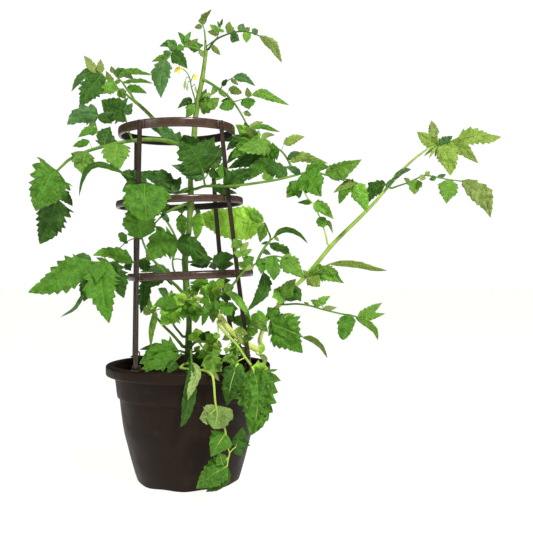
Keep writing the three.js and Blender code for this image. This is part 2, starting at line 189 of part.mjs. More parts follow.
    ['ov',9.5,9.5,12,[[118.7,4,640.9],[101.5,15,655.9],[86.9,26,668.1]],[-0.4,-0.9,0.19],[-0.47,-0.85,0.22],[122.5,4,642.8]],
    ['ov',8.3,8.3,12,[[128.2,-0.5,638.4],[117.3,-20,646],[106.2,-19.1,656.8]],[0.59,-0.5,-0.64],[-0.23,-0.97,0.08],[128.3,-0.8,639]],
    ['lan',5.6,5.6,12,[[137.6,-8,633.5],[145.1,7,645.2],[162.2,22,647.5]],[0.42,-0.68,0.6],[0.63,-0.76,-0.16],0],
    ['lan',4.7,4.7,12,[[130.1,-2,637.2],[130.5,5,646.3],[130.9,12,655.4]],[0.05,-0.79,0.61],[0.05,-0.79,0.61],[130.2,-2.4,637.8]],
    ['lob',13.4,13.4,12,[[145.1,-14,598.2],[109.8,-16.1,595.2],[73.4,-10.7,580]],[0.08,-0.99,0.14],[-0.2,-0.98,0.06],[154,-22.2,622.4]],
    ['ov',12.9,12.9,12,[[148.8,-22,592.6],[126.6,-20.9,577.9],[111.6,-12.8,557.5]],[0.05,-0.99,-0.09],[-0.12,-0.94,-0.32],[160.1,-28.4,618]],
    ['ov',9.3,9.3,12,[[107.3,10,641.9],[87.1,-5.1,630.2],[69.5,29.9,619.1]],[0.67,-0.73,0.15],[-0.57,-0.43,-0.7],[122.5,4,642.8]],
    ['ov',9.5,9.5,12,[[111.2,6,620.5],[88.2,16,611.5],[69.7,26,592.8]],[-0.3,-0.92,-0.26],[-0.14,-0.93,-0.34],[123.2,3.4,642.4]],
    ['ov',8.3,8.3,12,[[177.9,-43,621.9],[196.5,-32,631.7],[216.3,-21,638]],[0.47,-0.88,0.1],[0.49,-0.87,-0.02],[170.6,-40,610.4]],
    ['sm',5.4,5.4,12,[[186.3,-67.8,588.7],[193.3,-72.8,597.9],[205.6,-77.8,600.8]],[-0.17,-0.92,-0.35],[-0.33,-0.93,-0.19],[184.4,-67.1,586.8]],
    ['ov',8.7,8.7,12,[[189.8,-71.2,585.6],[209.9,-60.6,595.9],[233.9,-49.9,590],[258.3,-39.2,585.9]],[0.55,-0.82,-0.18],[0.27,-0.81,-0.52],[186.4,-71,583.4]],
  ] },
  leaf_mid_left: { seats: ['main_stem'], axes: [[[3.97,0,537.88,3.04],[-20.34,-46,531.44,2.47],[-32.68,-64,535.3,2.28],[-48.49,-80,540.1,2.09],[-65.07,-88,545.54,1.9],[-103.58,-90,560.34,1.52]],[[-29.8,-59.8,534.4,1.87],[-53.42,-108,540.11,1.56],[-63.11,-119,540.8,1.4]]], blades: [
    ['ov',20,15,12,[[-20.3,-46,532.3],[-47.4,-48,555.8],[-85.2,-50,569.2]],[0.34,-0.9,0.28],[0.15,-0.93,0.34],0],
    ['ov',8.2,8.2,12,[[-23.5,-50.5,532.9],[-17.4,-39.5,547.5],[-11.3,-28.5,562.4]],[0.37,-0.81,0.45],[0.37,-0.81,0.45],0],
    ['rnd',33.8,38.9,8,[[-64,-119,540.8],[-60.2,-150,517.5],[-54.9,-157,474.1]],[0.15,-0.5,0.85],[0.13,-0.99,0.1],[-63.1,-119,540.8]],
    ['ov',13.2,15.1,12,[[-66.8,-88.2,547.3],[-92.3,-83.4,558.4],[-113.9,-81.7,565.7]],[-0.03,-0.93,0.36],[0.04,-0.95,0.3],[-67.2,-88.1,546.3]],
    ['nar',7.9,7.9,12,[[-101.8,-90,559.8],[-125.7,-94.4,570.4],[-147.6,-98.7,576.1],[-164.2,-103.1,568.5],[-174.6,-107.5,547.1],[-179.7,-111.9,519.8]],[0.42,-0.52,0.75],[-0.68,-0.68,0.26],0],
    ['ov',6.2,6.2,12,[[-80.7,-89.8,555.1],[-95.4,-75.9,548.5],[-108.4,-72.4,540.8]],[-0.52,-0.71,-0.48],[-0.03,-0.97,-0.22],[-81.9,-88.9,552]],
    ['sm',3.2,3.2,12,[[-13,-29.5,534.1],[-4,-36.5,537.9],[4.9,-43.5,541.7]],[-0.47,-0.8,-0.37],[-0.47,-0.8,-0.37],[-11.9,-30,533.7]],
  ] },
  leaf_mid_pair: { seats: ['main_stem'], axes: [[[4.05,0,514.43,3.04],[-4.01,-9,514.08,2.87],[-15.01,-28,508.13,2.69],[-29.43,-46,499.62,2.52],[-41.53,-58,489.85,2.34],[-35.47,-56,481.84,2.16],[-27.38,-48,467.73,1.99],[-15.76,-38,439.81,1.64]],[[-41.53,-58,489.85,1.76],[-69.54,-90,452.74,1.29]],[[-41.53,-58,489.85,1.52],[-45.99,-72,495.3,1.35],[-48.22,-82,505.33,1.17]]], blades: [
    ['lob',28.1,28.1,6,[[-17.5,-39,442.5],[-46.1,-50.9,436.8],[-68.8,-62.8,407.8]],[0.34,-0.9,0.26],[0.05,-0.95,0.32],0],
    ['ov',18.5,18.5,12,[[-18.4,-38.5,439.8],[10.1,-41.5,433.4],[43.2,-44.5,406.9]],[-0.13,-0.98,-0.16],[-0.13,-0.99,-0.05],[-16.2,-38.4,440.8]],
    ['sm',5.4,5.4,12,[[-41.8,-63.2,494],[-34.6,-70.2,485.6],[-27.5,-77.2,477.2]],[-0.29,-0.84,0.46],[-0.29,-0.84,0.46],[-43.3,-63.5,492]],
    ['ov',9.6,9.6,12,[[-47.5,-80.8,503.6],[-51.5,-99.8,493.6],[-55.4,-118.8,483.8]],[0.58,-0.47,0.66],[0.59,-0.46,0.67],0],
    ['ov',8,8,12,[[-44,-73.2,497],[-35.5,-77.2,503],[-27,-81.2,508.9]],[-0.21,-0.92,-0.32],[-0.21,-0.92,-0.32],[-46.3,-73.2,496.5]],
  ] },
  leaf_left_low: { seats: ['main_stem'], axes: [[[-3.02,0,350.17,3.39],[-10.74,-7,350.02,3.17],[-29.2,-48,373.32,2.73],[-39.1,-70,389.9,2.52],[-59.49,-90,415.7,2.08],[-68.14,-97,434.08,1.86],[-72.57,-99,448.07,1.64]],[[-58.24,-88.78,414.13,2.11],[-76.05,-74,410.46,1.95],[-94.54,-70,405.11,1.79],[-114.56,-78,406,1.64],[-133.18,-92,405.12,1.48],[-144.81,-104,406,1.33],[-159.67,-108,406,1.17]],[[-71.76,-98.63,445.5,1.17],[-83.37,-84,448.51,1.05],[-100,-80,443.3,0.94],[-115.98,-80,429.98,0.82]]], blades: [
    ['rnd',24.9,24.9,8,[[-72.6,-99,448.9],[-72.1,-128,474.7],[-72.8,-129,507.2]],[0.22,-0.59,-0.78],[0.15,-0.99,0.08],[-72.6,-99,448.1]],
    ['sm',7.1,7.1,12,[[-103.5,-80,441.5],[-112.3,-76,452.3],[-119.2,-72,452.4]],[-0.04,-0.96,0.28],[-0.48,-0.86,-0.17],[-103,-80,440.8]],
    ['sm',2.7,2.7,12,[[-100,-80,442.4],[-103.5,-83.1,440.6],[-106.9,-86,438.7]],[0.59,-0.78,0.18],[0.59,-0.79,0.18],[-100.4,-80,442.9]],
    ['ov',13.7,11.8,12,[[-94.5,-70,406],[-118.5,-76,417.6],[-142.2,-82,422],[-160.5,-88,417.5]],[0.39,-0.85,0.35],[0.17,-0.89,0.43],[-94.3,-70,405.2]],
    ['lob',26.3,26.3,15,[[-160.5,-108,406],[-187.2,-116.7,388.7],[-223,-125.3,369.9],[-260.9,-134,353.9]],[0.19,-0.96,0.2],[0.15,-0.97,0.17],[-159.7,-108,406]],
    ['ov',6.1,6.1,12,[[-159.7,-108,406.9],[-175,-102,416.5],[-195.6,-96,413.9]],[-0.16,-0.94,0.3],[-0.25,-0.96,-0.11],[-159.7,-108,406]],
    ['lob',20.2,20.2,12,[[-156.4,-107,406],[-165.1,-99,374.5],[-175.7,-91,336.4]],[0.14,-0.95,-0.29],[0.15,-0.96,-0.24],0],
    ['lob',27.7,27.7,18,[[-134.6,-93.5,406],[-141.6,-111.1,374.7],[-135.3,-120.8,340.4],[-125.5,-122.6,300.8]],[0.33,-0.85,0.42],[0.19,-0.98,0.07],[-134.7,-93.5,405.2]],
    ['lob',20.2,20.2,12,[[-125.4,-86.8,406],[-119.4,-80.8,375.8],[-108,-74.8,341.8]],[-0.04,-0.98,-0.2],[-0.02,-0.98,-0.18],[-125.6,-86.3,405.5]],
    ['ov',7.2,7.2,12,[[-104.6,-74,404.2],[-101.7,-65,397],[-98.7,-56,389.7]],[0.49,-0.64,-0.6],[0.48,-0.64,-0.59],[-104.5,-74,405.6]],
    ['ov',4.4,4.4,12,[[-133.2,-92,405.1],[-143.2,-94.8,409.5],[-152,-102.9,413.9]],[0.2,-0.98,0],[0.64,-0.74,-0.21],0],
    ['ov',13.9,13.9,5,[[-148.1,-105,406],[-146.9,-114.8,388.7],[-146.1,-123.2,371.5]],[0.2,-0.84,0.5],[0.2,-0.88,0.43],0],
    ['ov',10.8,10.8,12,[[-74,-75.5,410.5],[-73,-58.6,398.8],[-66.4,-41.5,391.4]],[0.27,-0.57,-0.78],[0.74,-0.5,-0.45],0],
    ['nar',4,4,12,[[-161.4,-108,365.9],[-177.5,-106,341.5],[-190.2,-104,323.9],[-214.3,-102,309.8]],[-0.33,-0.93,0.14],[-0.27,-0.89,0.36],[-159.7,-108,406]],
  ] },
  leaf_behind_stem: { seats: ['main_stem'], axes: [[[3.69,0,507.38,1.99],[9.56,6,507.62,1.79],[15.74,22,497.28,1.6],[16.65,34,486.49,1.4]]], blades: [
    ['ov',11.5,11.5,12,[[15.9,20,499.1],[14.1,30,474.8],[10.4,40,448.3]],[0.07,-0.92,-0.39],[0.04,-0.93,-0.36],[15,20,498.6]],
    ['lan',5.8,5.8,12,[[16.8,32.5,488.3],[21.3,47.5,482.4],[26,62.5,476.3]],[0.59,-0.45,-0.67],[0.59,-0.46,-0.67],0],
    ['ov',5.7,5.7,12,[[12.6,14,503.4],[15.9,31.6,502.1],[19.8,42.2,500.4]],[0.88,-0.18,-0.44],[0.81,-0.41,-0.41],[12.5,13.6,502.7]],
  ] },
  leaf_behind_left: { seats: ['main_stem'], axes: [[[3.55,0,505.57,1.99],[-5.4,5,505.68,1.79],[-14.06,16,498.82,1.6],[-17.96,26,487.98,1.4]]], blades: [
    ['ov',10.5,10.5,12,[[-16.2,18.5,496.1],[-15.6,30.5,474.8],[-13,42.5,452.2]],[0.12,-0.86,-0.49],[0.16,-0.88,-0.44],[-15.1,18.7,495.9]],
    ['ov',6.6,6.6,12,[[-9.7,10.5,502.3],[-18.3,20.5,507.2],[-27,30.5,512.1]],[-0.62,-0.7,0.35],[-0.62,-0.71,0.34],0],
  ] },
  leaf_behind_low: { seats: ['main_stem'], axes: [[[-6.65,0,405.17,2.22],[2.97,6,406,2.06],[11.76,24,404.1,1.9],[25.77,40,405.04,1.73],[40.22,54,404.06,1.57],[51.39,62,400.15,1.4]]], blades: [
    ['ov',6.2,6.2,12,[[25.8,40,406],[11.3,51.6,406.4],[-3.4,64.1,406.8]],[-0.62,-0.78,0.02],[-0.65,-0.76,0.02],[25.8,40,405]],
    ['ov',11.4,11.4,12,[[29.4,43.5,405],[25.4,19.9,411.7],[46.8,11.6,411.7]],[0.73,-0.37,-0.58],[-0.25,-0.97,0.01],0],
    ['ov',12.7,12.7,12,[[42.1,55,404.1],[63,64,413.8],[84.1,73,417.8]],[0.33,-0.93,0.13],[0.39,-0.92,0.04],0],
    ['ov',8.8,8.8,12,[[36.6,50.5,406],[16.6,57.9,402.5],[-4.4,64.4,400.1]],[-0.34,-0.94,-0.08],[-0.29,-0.96,-0.04],[36.5,50.4,404.3]],
    ['ov',6.7,6.7,12,[[20.5,34,405],[9.2,43,412.3],[-2.3,52,419.6]],[-0.44,-0.83,0.35],[-0.43,-0.83,0.34],0],
    ['ov',10.8,10.8,12,[[47.7,59,401.1],[64.3,77,401.6],[81.3,95,402]],[0.74,-0.68,0.02],[0.73,-0.69,0.02],0],
    ['ov',8.8,8.8,12,[[40.2,54,404.1],[42.3,67.2,397.2],[44.4,80.2,390.2]],[0.37,-0.47,-0.8],[0.37,-0.49,-0.79],0],
  ] },
  leaf_mid_right_back: { seats: ['leaf_mid_right_light'], axes: [[[130.6,-123.76,404.89,2.57],[133.76,-102,416.49,2.28],[152.42,-32,445.46,1.99],[152.56,0,454.74,1.84],[145.01,92,478.55,1.55],[141.93,130,485.34,1.4]],[[152.43,-30.14,446,1.4],[160.62,-38,453.52,0.94]]], blades: [
    ['rnd',30,31.1,4,[[136.8,130,482.3],[106.1,138.7,485.8],[58.6,147.3,489.3],[3.4,156,498]],[-0.27,-0.95,0.12],[-0.13,-0.98,0.12],[141.9,129.9,485.3]],
    ['ov',10.1,10.1,12,[[141,111,480.4],[136.9,116,463],[132.8,121,445.5]],[-0.05,-0.96,-0.27],[-0.05,-0.96,-0.26],[143.5,110.9,481.9]],
    ['ov',9.2,9.2,12,[[138.9,130,489.4],[122.6,133,501.3],[106.2,136,513.2]],[-0.14,-0.99,0.06],[-0.14,-0.99,0.05],[141.9,130,485.3]],
    ['nar',7,7,12,[[160.6,-37.4,452.6],[172.3,-46.9,462.7],[188.4,-56.4,464.1],[206.1,-65.9,455.3],[219.9,-75.4,439]],[0.26,-0.53,-0.81],[-0.77,-0.55,-0.33],[160.1,-37.5,453.1]],
    ['ov',3.1,3.1,12,[[160.3,-37.4,452.6],[165,-41.4,447.9],[169.6,-45.4,443.3]],[-0.39,-0.86,0.34],[-0.39,-0.85,0.34],0],
    ['ov',10.1,10.1,12,[[152.4,-40.5,438.8],[171.7,-32.5,431.7],[182.9,-24.5,424.4],[187.7,-16.5,411.6]],[0.07,-0.75,-0.65],[-0.45,-0.7,-0.56],[150,-41.1,441.7]],
    ['nar',2.7,2.7,12,[[149.6,-40.5,442.5],[142.8,-44,440.6],[136,-51.9,438.6]],[0.37,-0.92,0.08],[0.75,-0.64,0.18],0],
    ['nar',2.7,2.7,12,[[154.2,-36.2,440.8],[154.7,-42.2,435.2],[155.1,-48.2,429.6]],[-0.07,-0.68,0.73],[-0.07,-0.68,0.73],[151.2,-36.6,443.6]],
    ['ov',4.5,4.5,12,[[138,-79.5,427.3],[146,-71.5,423.4],[154.1,-63.5,419.5]],[0.59,-0.74,-0.31],[0.59,-0.75,-0.3],[139.8,-79.4,425.9]],
  ] },
  leaf_mid_right_light: { seats: ['leaf_low_right'], axes: [[[72.44,-100,358.71,2.34],[77.01,-104,355.35,2.22],[88.23,-122,367.2,2.11],[100.66,-133,382.9,1.99],[112.61,-132,394.87,1.87],[129.64,-124,404.28,1.64],[143.41,-122,412.9,1.52],[158.93,-122,416.35,1.4],[176.26,-118,413.78,1.29]],[[112.61,-132,394.87,1.4],[100.89,-140,433.24,0.94]],[[143.41,-122,412.9,1.4],[140.8,-116,385.22,0.94]]], blades: [
    ['ov',11.1,11.1,12,[[141.7,-122.2,412],[139.1,-131.4,398.7],[136.6,-137.2,385.5]],[0.11,-0.82,0.57],[0.07,-0.93,0.36],0],
    ['lob',13.7,13.7,12,[[155.5,-122,415.5],[157.1,-136.7,394.9],[158.7,-142.8,374.6]],[-0.06,-0.79,0.61],[-0.03,-0.97,0.23],0],
    ['ov',15.7,15.7,12,[[172.8,-119,413.8],[190.4,-109,399],[211.7,-99,378]],[0.31,-0.91,-0.27],[0.2,-0.95,-0.23],0],
    ['ov',5.2,5.2,12,[[179.7,-118,412.9],[180.8,-110,408.6],[181.9,-102,404.3]],[0.16,-0.48,-0.86],[0.16,-0.49,-0.86],[176.3,-118,413.8]],
    ['ov',9.4,9.4,12,[[108.4,-134.5,404.3],[116.4,-128.9,409.4],[124.4,-121.6,414.6]],[0.42,-0.87,0.25],[0.53,-0.79,0.32],[109.6,-134.1,404.7]],
    ['ov',6,6,12,[[105.9,-137,416.2],[109,-140.8,421.7],[112,-143.6,427.2]],[-0.23,-0.85,-0.47],[-0.16,-0.92,-0.36],[106,-136.5,416.4]],
    ['ov',9.3,9.3,12,[[100.9,-139.8,431.5],[94.3,-144.8,436.5],[86,-149.8,430.5]],[0.35,-0.88,-0.33],[0.34,-0.91,0.23],[101.4,-139.7,431.7]],
    ['ov',6,6,12,[[104.2,-137.2,417.9],[96.7,-141.4,420.5],[89.2,-145.3,423]],[0.44,-0.89,-0.14],[0.43,-0.89,-0.14],[105.4,-136.9,418.4]],
    ['sm',5.1,5.1,12,[[102.6,-138.8,426.4],[108.8,-134.8,433.3],[115.2,-130.8,440.3]],[0.29,-0.92,0.27],[0.29,-0.92,0.27],0],
    ['sm',3.9,3.9,12,[[107.6,-137.2,419.6],[114.3,-132.2,424],[121.1,-127.2,428.3]],[0.46,-0.85,0.27],[0.46,-0.85,0.26],[105.2,-137,419]],
    ['sm',4.3,4.3,12,[[100.9,-139.8,432.4],[99.9,-135.8,438.4],[98.9,-131.8,444.5]],[-0.05,-0.84,0.54],[-0.05,-0.84,0.54],0],
    ['lan',12.9,12.9,12,[[140.8,-116.5,387],[142.6,-123.2,366.4],[134,-129.8,344.3],[113.6,-136.5,322.4]],[-0.53,-0.83,0.2],[-0.25,-0.83,0.5],0],
    ['nar',3.9,3.9,12,[[139.9,-117,388.7],[144.3,-111,371.7],[148.6,-105,354.5]],[0.09,-0.95,-0.31],[0.09,-0.95,-0.31],[141.1,-116.7,388.6]],
    ['sm',4.3,4.3,12,[[123.7,-127,400],[116.5,-136,395.8],[109.4,-138.8,391.5]],[0.66,-0.65,0.38],[0.21,-0.97,0.12],[123.2,-127,400.7]],
    ['ov',6.9,6.9,12,[[112.6,-132.5,396.6],[104.7,-126.5,401.3],[96.8,-120.5,406]],[-0.46,-0.84,0.3],[-0.46,-0.84,0.3],0],
  ] },
  leaf_branch_mid_a: { seats: ['branch_right'], axes: [[[215.03,-49.19,377.92,1.99],[216.54,-53.5,377.96,1.87],[234.53,-70,388.12,1.64],[259.1,-76,402.44,1.4]]], blades: [
    ['ov',16.9,16.9,20,[[220.8,-58.8,380.8],[253.2,-59.8,387.1],[285.1,-64.3,368.3]],[0.1,-0.92,-0.38],[-0.35,-0.88,-0.31],[221.5,-58,380.8]],
    ['ov',12.5,12.5,12,[[222.5,-59.9,381.7],[231.9,-68.9,372],[241.2,-77.9,362.4]],[-0.41,-0.83,0.38],[-0.41,-0.83,0.38],0],
    ['nar',7.1,7.1,12,[[259.1,-76,402.4],[283.5,-82,403.9],[311.1,-88,401.1],[335.1,-94,394.6],[357.1,-100,391.1]],[-0.16,-0.8,-0.58],[-0.3,-0.78,-0.54],0],
    ['sm',3.6,3.6,12,[[241.5,-72,391.7],[240.5,-61.2,393.4],[238.9,-57.1,395.2]],[-0.7,-0.16,0.69],[-0.58,-0.6,0.55],0],
    ['ov',6.3,6.3,12,[[236.3,-70.5,389.9],[252,-51.6,394.2],[266.8,-46.7,398.7]],[0.74,-0.62,0.25],[0.18,-0.98,0.09],0],
    ['ov',4.5,4.5,12,[[220.8,-58.8,380.8],[216.5,-53.8,386.1],[212.3,-46.3,391.5]],[-0.38,-0.82,0.42],[-0.5,-0.66,0.57],[221.5,-58,380.8]],
  ] },
  leaf_branch_mid_b: { seats: ['branch_right'], axes: [[[172.4,-50,330.87,1.87],[181.11,-60,329.47,1.73],[201.59,-66,330.68,1.65],[221.9,-72,328.31,1.58],[246.49,-78,321.52,1.51],[311.15,-88,307.09,1.29]],[[177.28,-55.6,330.08,1.17],[178.1,-74,343.58,0.82]]], blades: [
    ['ov',14.2,14.2,5,[[181,-66,337],[168.3,-76.1,347.2],[155.7,-87.2,343.3]],[0.37,-0.87,-0.32],[0.55,-0.77,0.31],[177.7,-65.7,337.5]],
    ['ov',13.3,13.3,5,[[178.2,-71,341.7],[182.3,-82.8,358.1],[197.9,-93.5,376.1]],[-0.13,-0.81,-0.57],[-0.3,-0.92,-0.26],0],
    ['ov',13.4,13.4,5,[[180.9,-68,338.8],[195.1,-73,352.5],[207.4,-78,335.7]],[-0.18,-0.98,-0.13],[-0.11,-0.98,0.17],[177.8,-67.9,339.1]],
    ['ov',8,8,12,[[244.7,-78,328.6],[245.2,-71.1,336.3],[260.8,-65.4,345]],[-0.2,-0.74,0.65],[0.21,-0.96,0.19],[243.2,-77.2,322.4]],
    ['ov',6.2,6.2,12,[[242.9,-78,329.5],[233.7,-76.8,333.9],[224.6,-72.1,338.1]],[-0.06,-1,0.05],[-0.4,-0.89,0.21],[241.4,-76.8,322.9]],
    ['ov',4.9,4.9,12,[[246.5,-78,322.4],[259.4,-72,323.4],[272.4,-66,324.4]],[0.41,-0.9,0.1],[0.41,-0.91,0.1],[246.3,-77.9,321.6]],
    ['rnd',16.2,10.6,12,[[294.6,-86,312.3],[287.7,-93,291.6],[279.1,-100,269.4]],[-0.02,-0.94,0.33],[-0.01,-0.95,0.3],[294.4,-85.4,310.8]],
    ['ov',8.9,8.9,12,[[307.7,-87.5,307.9],[329.8,-80.5,319],[352.1,-73.5,333.7]],[0.2,-0.95,0.22],[0.13,-0.96,0.25],0],
    ['ov',7,7,12,[[311.1,-88,307.1],[331.3,-96,311.2],[353,-104,316]],[-0.38,-0.93,0.02],[-0.35,-0.94,0.02],0],
    ['nar',7,7,12,[[304.2,-87.2,307],[321,-93.9,299.6],[336,-100.6,286.9],[340.3,-107.2,270.1]],[-0.47,-0.78,-0.41],[-0.7,-0.7,0.13],[304.5,-87,308.6]],
    ['sm',2.7,2.7,12,[[221.9,-72,328.3],[217.3,-75,331.6],[212.7,-78,334.9]],[0.39,-0.88,-0.26],[0.39,-0.88,-0.26],0],
  ] },
  leaf_branch_low: { seats: ['branch_right'], axes: [[[148.59,-50.09,308.3,1.99],[153.77,-54,304.75,1.87],[159.34,-78,293.06,1.64],[176.87,-90,287.82,1.52],[209.93,-100,274.63,1.29]],[[154.49,-57.09,303.24,1.52],[137.95,-70,300.48,1.36],[116.65,-78,300.17,1.05]],[[154.49,-57.09,303.24,1.4],[165.04,-50,306.28,1.17],[177.81,-46,306.92,0.94]]], blades: [
    ['lob',23.5,34.3,10,[[153.2,-64.5,298.3],[178.9,-79.5,274.5],[209.3,-94.5,246]],[-0.37,-0.91,0.18],[-0.32,-0.94,0.14],[156.2,-64.5,299.7]],
    ['nar',5.9,5.9,12,[[209.9,-100,273.8],[225.4,-104.7,271.6],[241.7,-109.3,259],[251.8,-114,239.5]],[-0.29,-0.83,-0.48],[-0.6,-0.79,-0.1],[209.9,-100,274.6]],
    ['ov',15.2,15.2,12,[[145.1,-63.5,304.5],[129,-67.8,301.2],[114.8,-74,288.3]],[0.23,-0.97,0.1],[0.18,-0.95,0.25],[145.8,-63.9,301.8]],
    ['ov',8,8,12,[[130.8,-73,299.8],[139.8,-79,290.9],[148.7,-85,282.1]],[-0.26,-0.9,0.35],[-0.26,-0.9,0.35],[130.7,-72.7,300.4]],
    ['ov',9.9,9.9,12,[[125.5,-75.2,299.4],[118.2,-66.9,282.3],[103.7,-60.3,266.5]],[-0.16,-0.91,-0.39],[-0.23,-0.96,-0.16],[125.3,-74.7,300.3]],
    ['ov',10.8,10.8,12,[[116.7,-78,300.2],[98.5,-66.3,301.6],[80.1,-57,303.1]],[-0.54,-0.83,0.13],[-0.43,-0.9,0.12],0],
    ['ov',9.1,9.1,12,[[165,-50,306.3],[177,-41,302],[189.1,-32,297.7]],[0.57,-0.81,-0.12],[0.56,-0.82,-0.12],0],
    ['ov',6.4,6.4,12,[[177.8,-46,306.9],[190.7,-42,306.2],[203.6,-38,305.5]],[0.3,-0.95,0.05],[0.3,-0.95,0.05],0],
    ['ov',10.8,10.8,12,[[161.4,-52.6,305.6],[155,-59.9,315.5],[148.7,-66.8,325.3]],[0.31,-0.85,-0.42],[0.3,-0.86,-0.41],0],
    ['ov',5.4,5.4,12,[[163.2,-50.9,306.3],[165.9,-55.3,314.8],[168.6,-56.8,323]],[-0.18,-0.88,-0.44],[-0.07,-0.99,-0.11],[163.5,-51,305.8]],
  ] },
  leaf_hanging_chain: { seats: ['branch_right'], axes: [[[263.89,-35.17,434.47,1.87],[257.5,-38,439.81,1.74],[249.62,-46,468.72,1.47],[241.18,-50,490.31,1.34],[230.08,-54,511.77,1.2],[219.03,-58,523.21,1.07],[209.84,-62,540.87,0.94]]], blades: [
    ['ov',15.2,15.2,12,[[210.8,-61.5,538.2],[195.2,-69.5,534.8],[181.6,-77.5,520.8]],[0.46,-0.89,-0.04],[0.27,-0.93,0.25],0],
    ['sm',4.5,4.5,12,[[215.4,-59.5,530.3],[218.8,-54.5,535.7],[222.2,-49.5,541.1]],[0.34,-0.79,0.52],[0.33,-0.79,0.52],0],
    ['ov',4.5,4.5,12,[[228.2,-55,514.4],[215.4,-48,514.5],[202.5,-41,514.5]],[-0.48,-0.87,-0.08],[-0.48,-0.88,-0.08],0],
    ['ov',10.8,10.8,12,[[231,-53.5,510],[247.8,-59.5,503.3],[266.2,-65.5,483.1]],[-0.34,-0.94,0.01],[-0.21,-0.97,0.09],0],
    ['sm',9,9,12,[[242.1,-49.5,487.6],[245.8,-55.5,477.8],[249.4,-61.5,468.1]],[-0.26,-0.86,0.43],[-0.26,-0.86,0.43],0],
    ['lan',4.1,4.1,12,[[248.7,-46.5,471.4],[259.2,-39.5,477.2],[268,-32.5,458.3]],[0.34,-0.89,0.29],[0.02,-0.95,-0.3],0],
  ] },
  leaf_branch_upper: { seats: ['branch_right'], axes: [[[374.69,0,547.53,1.76],[370.97,4,552.03,1.6],[359.1,16,548.07,1.29]]], blades: [
    ['lob',14.8,14.8,12,[[367.5,8.5,551.1],[350.3,21.1,542.8],[337.7,34.3,518.1]],[-0.58,-0.81,0.02],[-0.47,-0.86,-0.21],[367.1,7.9,550.7]],
    ['ov',6.7,6.7,12,[[369.9,5.5,551.8],[359.5,22.5,554.8],[348.1,33.1,557.3]],[-0.86,-0.5,0.04],[-0.65,-0.76,-0.01],0],
  ] },
  leaf_branch_side: { seats: ['branch_right'], axes: [[[385.31,3.04,559.81,1.64],[382.04,-1,561.48,1.44],[394.77,-9,573.71,1.05]]], blades: [
    ['nar',8.8,8.8,12,[[382.9,-1.6,561.4],[398.3,0.9,574.8],[420.9,22.9,582]],[0.52,-0.67,-0.53],[0.6,-0.39,-0.7],[382.5,-1.3,562]],
    ['nar',6.1,6.1,12,[[382.6,-1,561.5],[375.2,-8,551.4],[367.8,-15,541.5]],[-0.36,-0.62,0.7],[-0.36,-0.62,0.7],0],
  ] },
  leaf_tip_low: { seats: ['branch_right'], axes: [[[374.69,0,547.53,1.87],[380.32,0,544.34,1.77],[406.26,-18,552.34,1.56],[434.65,-34,564.53,1.36],[474.62,-52,555.37,1.16],[499.85,-60,550.96,1.05]]], blades: [
    ['ov',11.9,11.9,12,[[419.6,-26,558],[418.1,-32,543.6],[416.5,-38,529.4]],[-0.15,-0.91,0.39],[-0.15,-0.91,0.4],0],
    ['sm',3.7,3.7,12,[[411.3,-21,553.9],[406.8,-15,558.2],[402.2,-9,562.5]],[-0.66,-0.7,0.29],[-0.65,-0.7,0.28],0],
    ['sm',5.5,5.5,12,[[434.7,-34,564.5],[429.6,-41,559.2],[424.7,-48,554]],[0.39,-0.72,0.58],[0.39,-0.71,0.58],0],
    ['sm',4.6,4.6,12,[[436.3,-35,564.4],[442.1,-29,568.7],[447.9,-23,573.1]],[0.48,-0.77,0.42],[0.48,-0.77,0.42],0],
    ['sm',4.5,4.5,12,[[454.5,-44.5,559.8],[446.9,-50.5,557.3],[439.3,-56.5,554.9]],[0.59,-0.8,0.13],[0.59,-0.8,0.13],[455.1,-43.2,559.9]],
    ['sm',3.7,3.7,12,[[456.3,-44.5,559.8],[466,-37.5,563.2],[475.7,-30.5,566.7]],[0.54,-0.83,0.15],[0.54,-0.83,0.15],[456.5,-43.8,559.5]],
    ['ov',16.2,16.2,12,[[476.2,-53,554.4],[472.4,-60,532.5],[468.6,-67,510.8]],[-0.16,-0.93,0.33],[-0.16,-0.93,0.33],[476.5,-52.6,555.1]],
    ['ov',13.9,19.4,12,[[499.8,-60,551],[524.9,-67.3,528.7],[538.2,-74.7,507.6],[543.3,-82,484.9]],[-0.44,-0.86,-0.24],[-0.56,-0.81,0.15],0],
    ['ov',6.3,6.3,12,[[499.8,-60,551],[508.1,-52,545.9],[516.5,-44,540.7]],[0.36,-0.74,-0.57],[0.36,-0.74,-0.57],0],
  ] },
  leaf_tip_high: { seats: ['branch_right'], axes: [[[464.93,24,625.92,1.76],[479.55,30,632.51,1.4],[518.69,50,643.16,1.05]],[[472.35,27.05,629.26,1.4],[464.64,18,643.08,0.94]]], blades: [
    ['ov',13.3,13.3,12,[[473.3,27.5,630.2],[451.6,23.8,640.2],[430.3,11.7,651.6]],[0.01,-0.97,-0.24],[0.28,-0.85,-0.45],0],
    ['ov',9.5,9.5,12,[[464.6,18,643.1],[463,24,659.7],[461.4,30,676.5]],[-0.27,-0.91,0.3],[-0.27,-0.91,0.3],0],
    ['lob',8.5,8.5,12,[[475.3,28,630.3],[486.2,19,637.1],[497,10,643.7]],[-0.48,-0.82,-0.31],[-0.49,-0.81,-0.32],0],
    ['ov',16.1,23.6,12,[[477.4,29,630.4],[487.2,13,602.6],[492,5,568.7]],[-0.44,-0.83,0.35],[-0.26,-0.95,0.16],[477,29,631.4]],
    ['ov',13.9,13.9,12,[[499.3,41.2,637],[523.4,37.2,623],[551.1,33.2,595.6]],[-0.23,-0.96,-0.13],[-0.25,-0.96,-0.11],[499.6,40.2,638]],
    ['lob',14.6,15.6,12,[[516.5,48.8,642],[545.7,57.4,650.1],[577.3,66.1,647.5],[607.1,74.8,651.8]],[0.28,-0.96,0],[0.29,-0.95,-0.07],[516.3,48.8,642.5]],
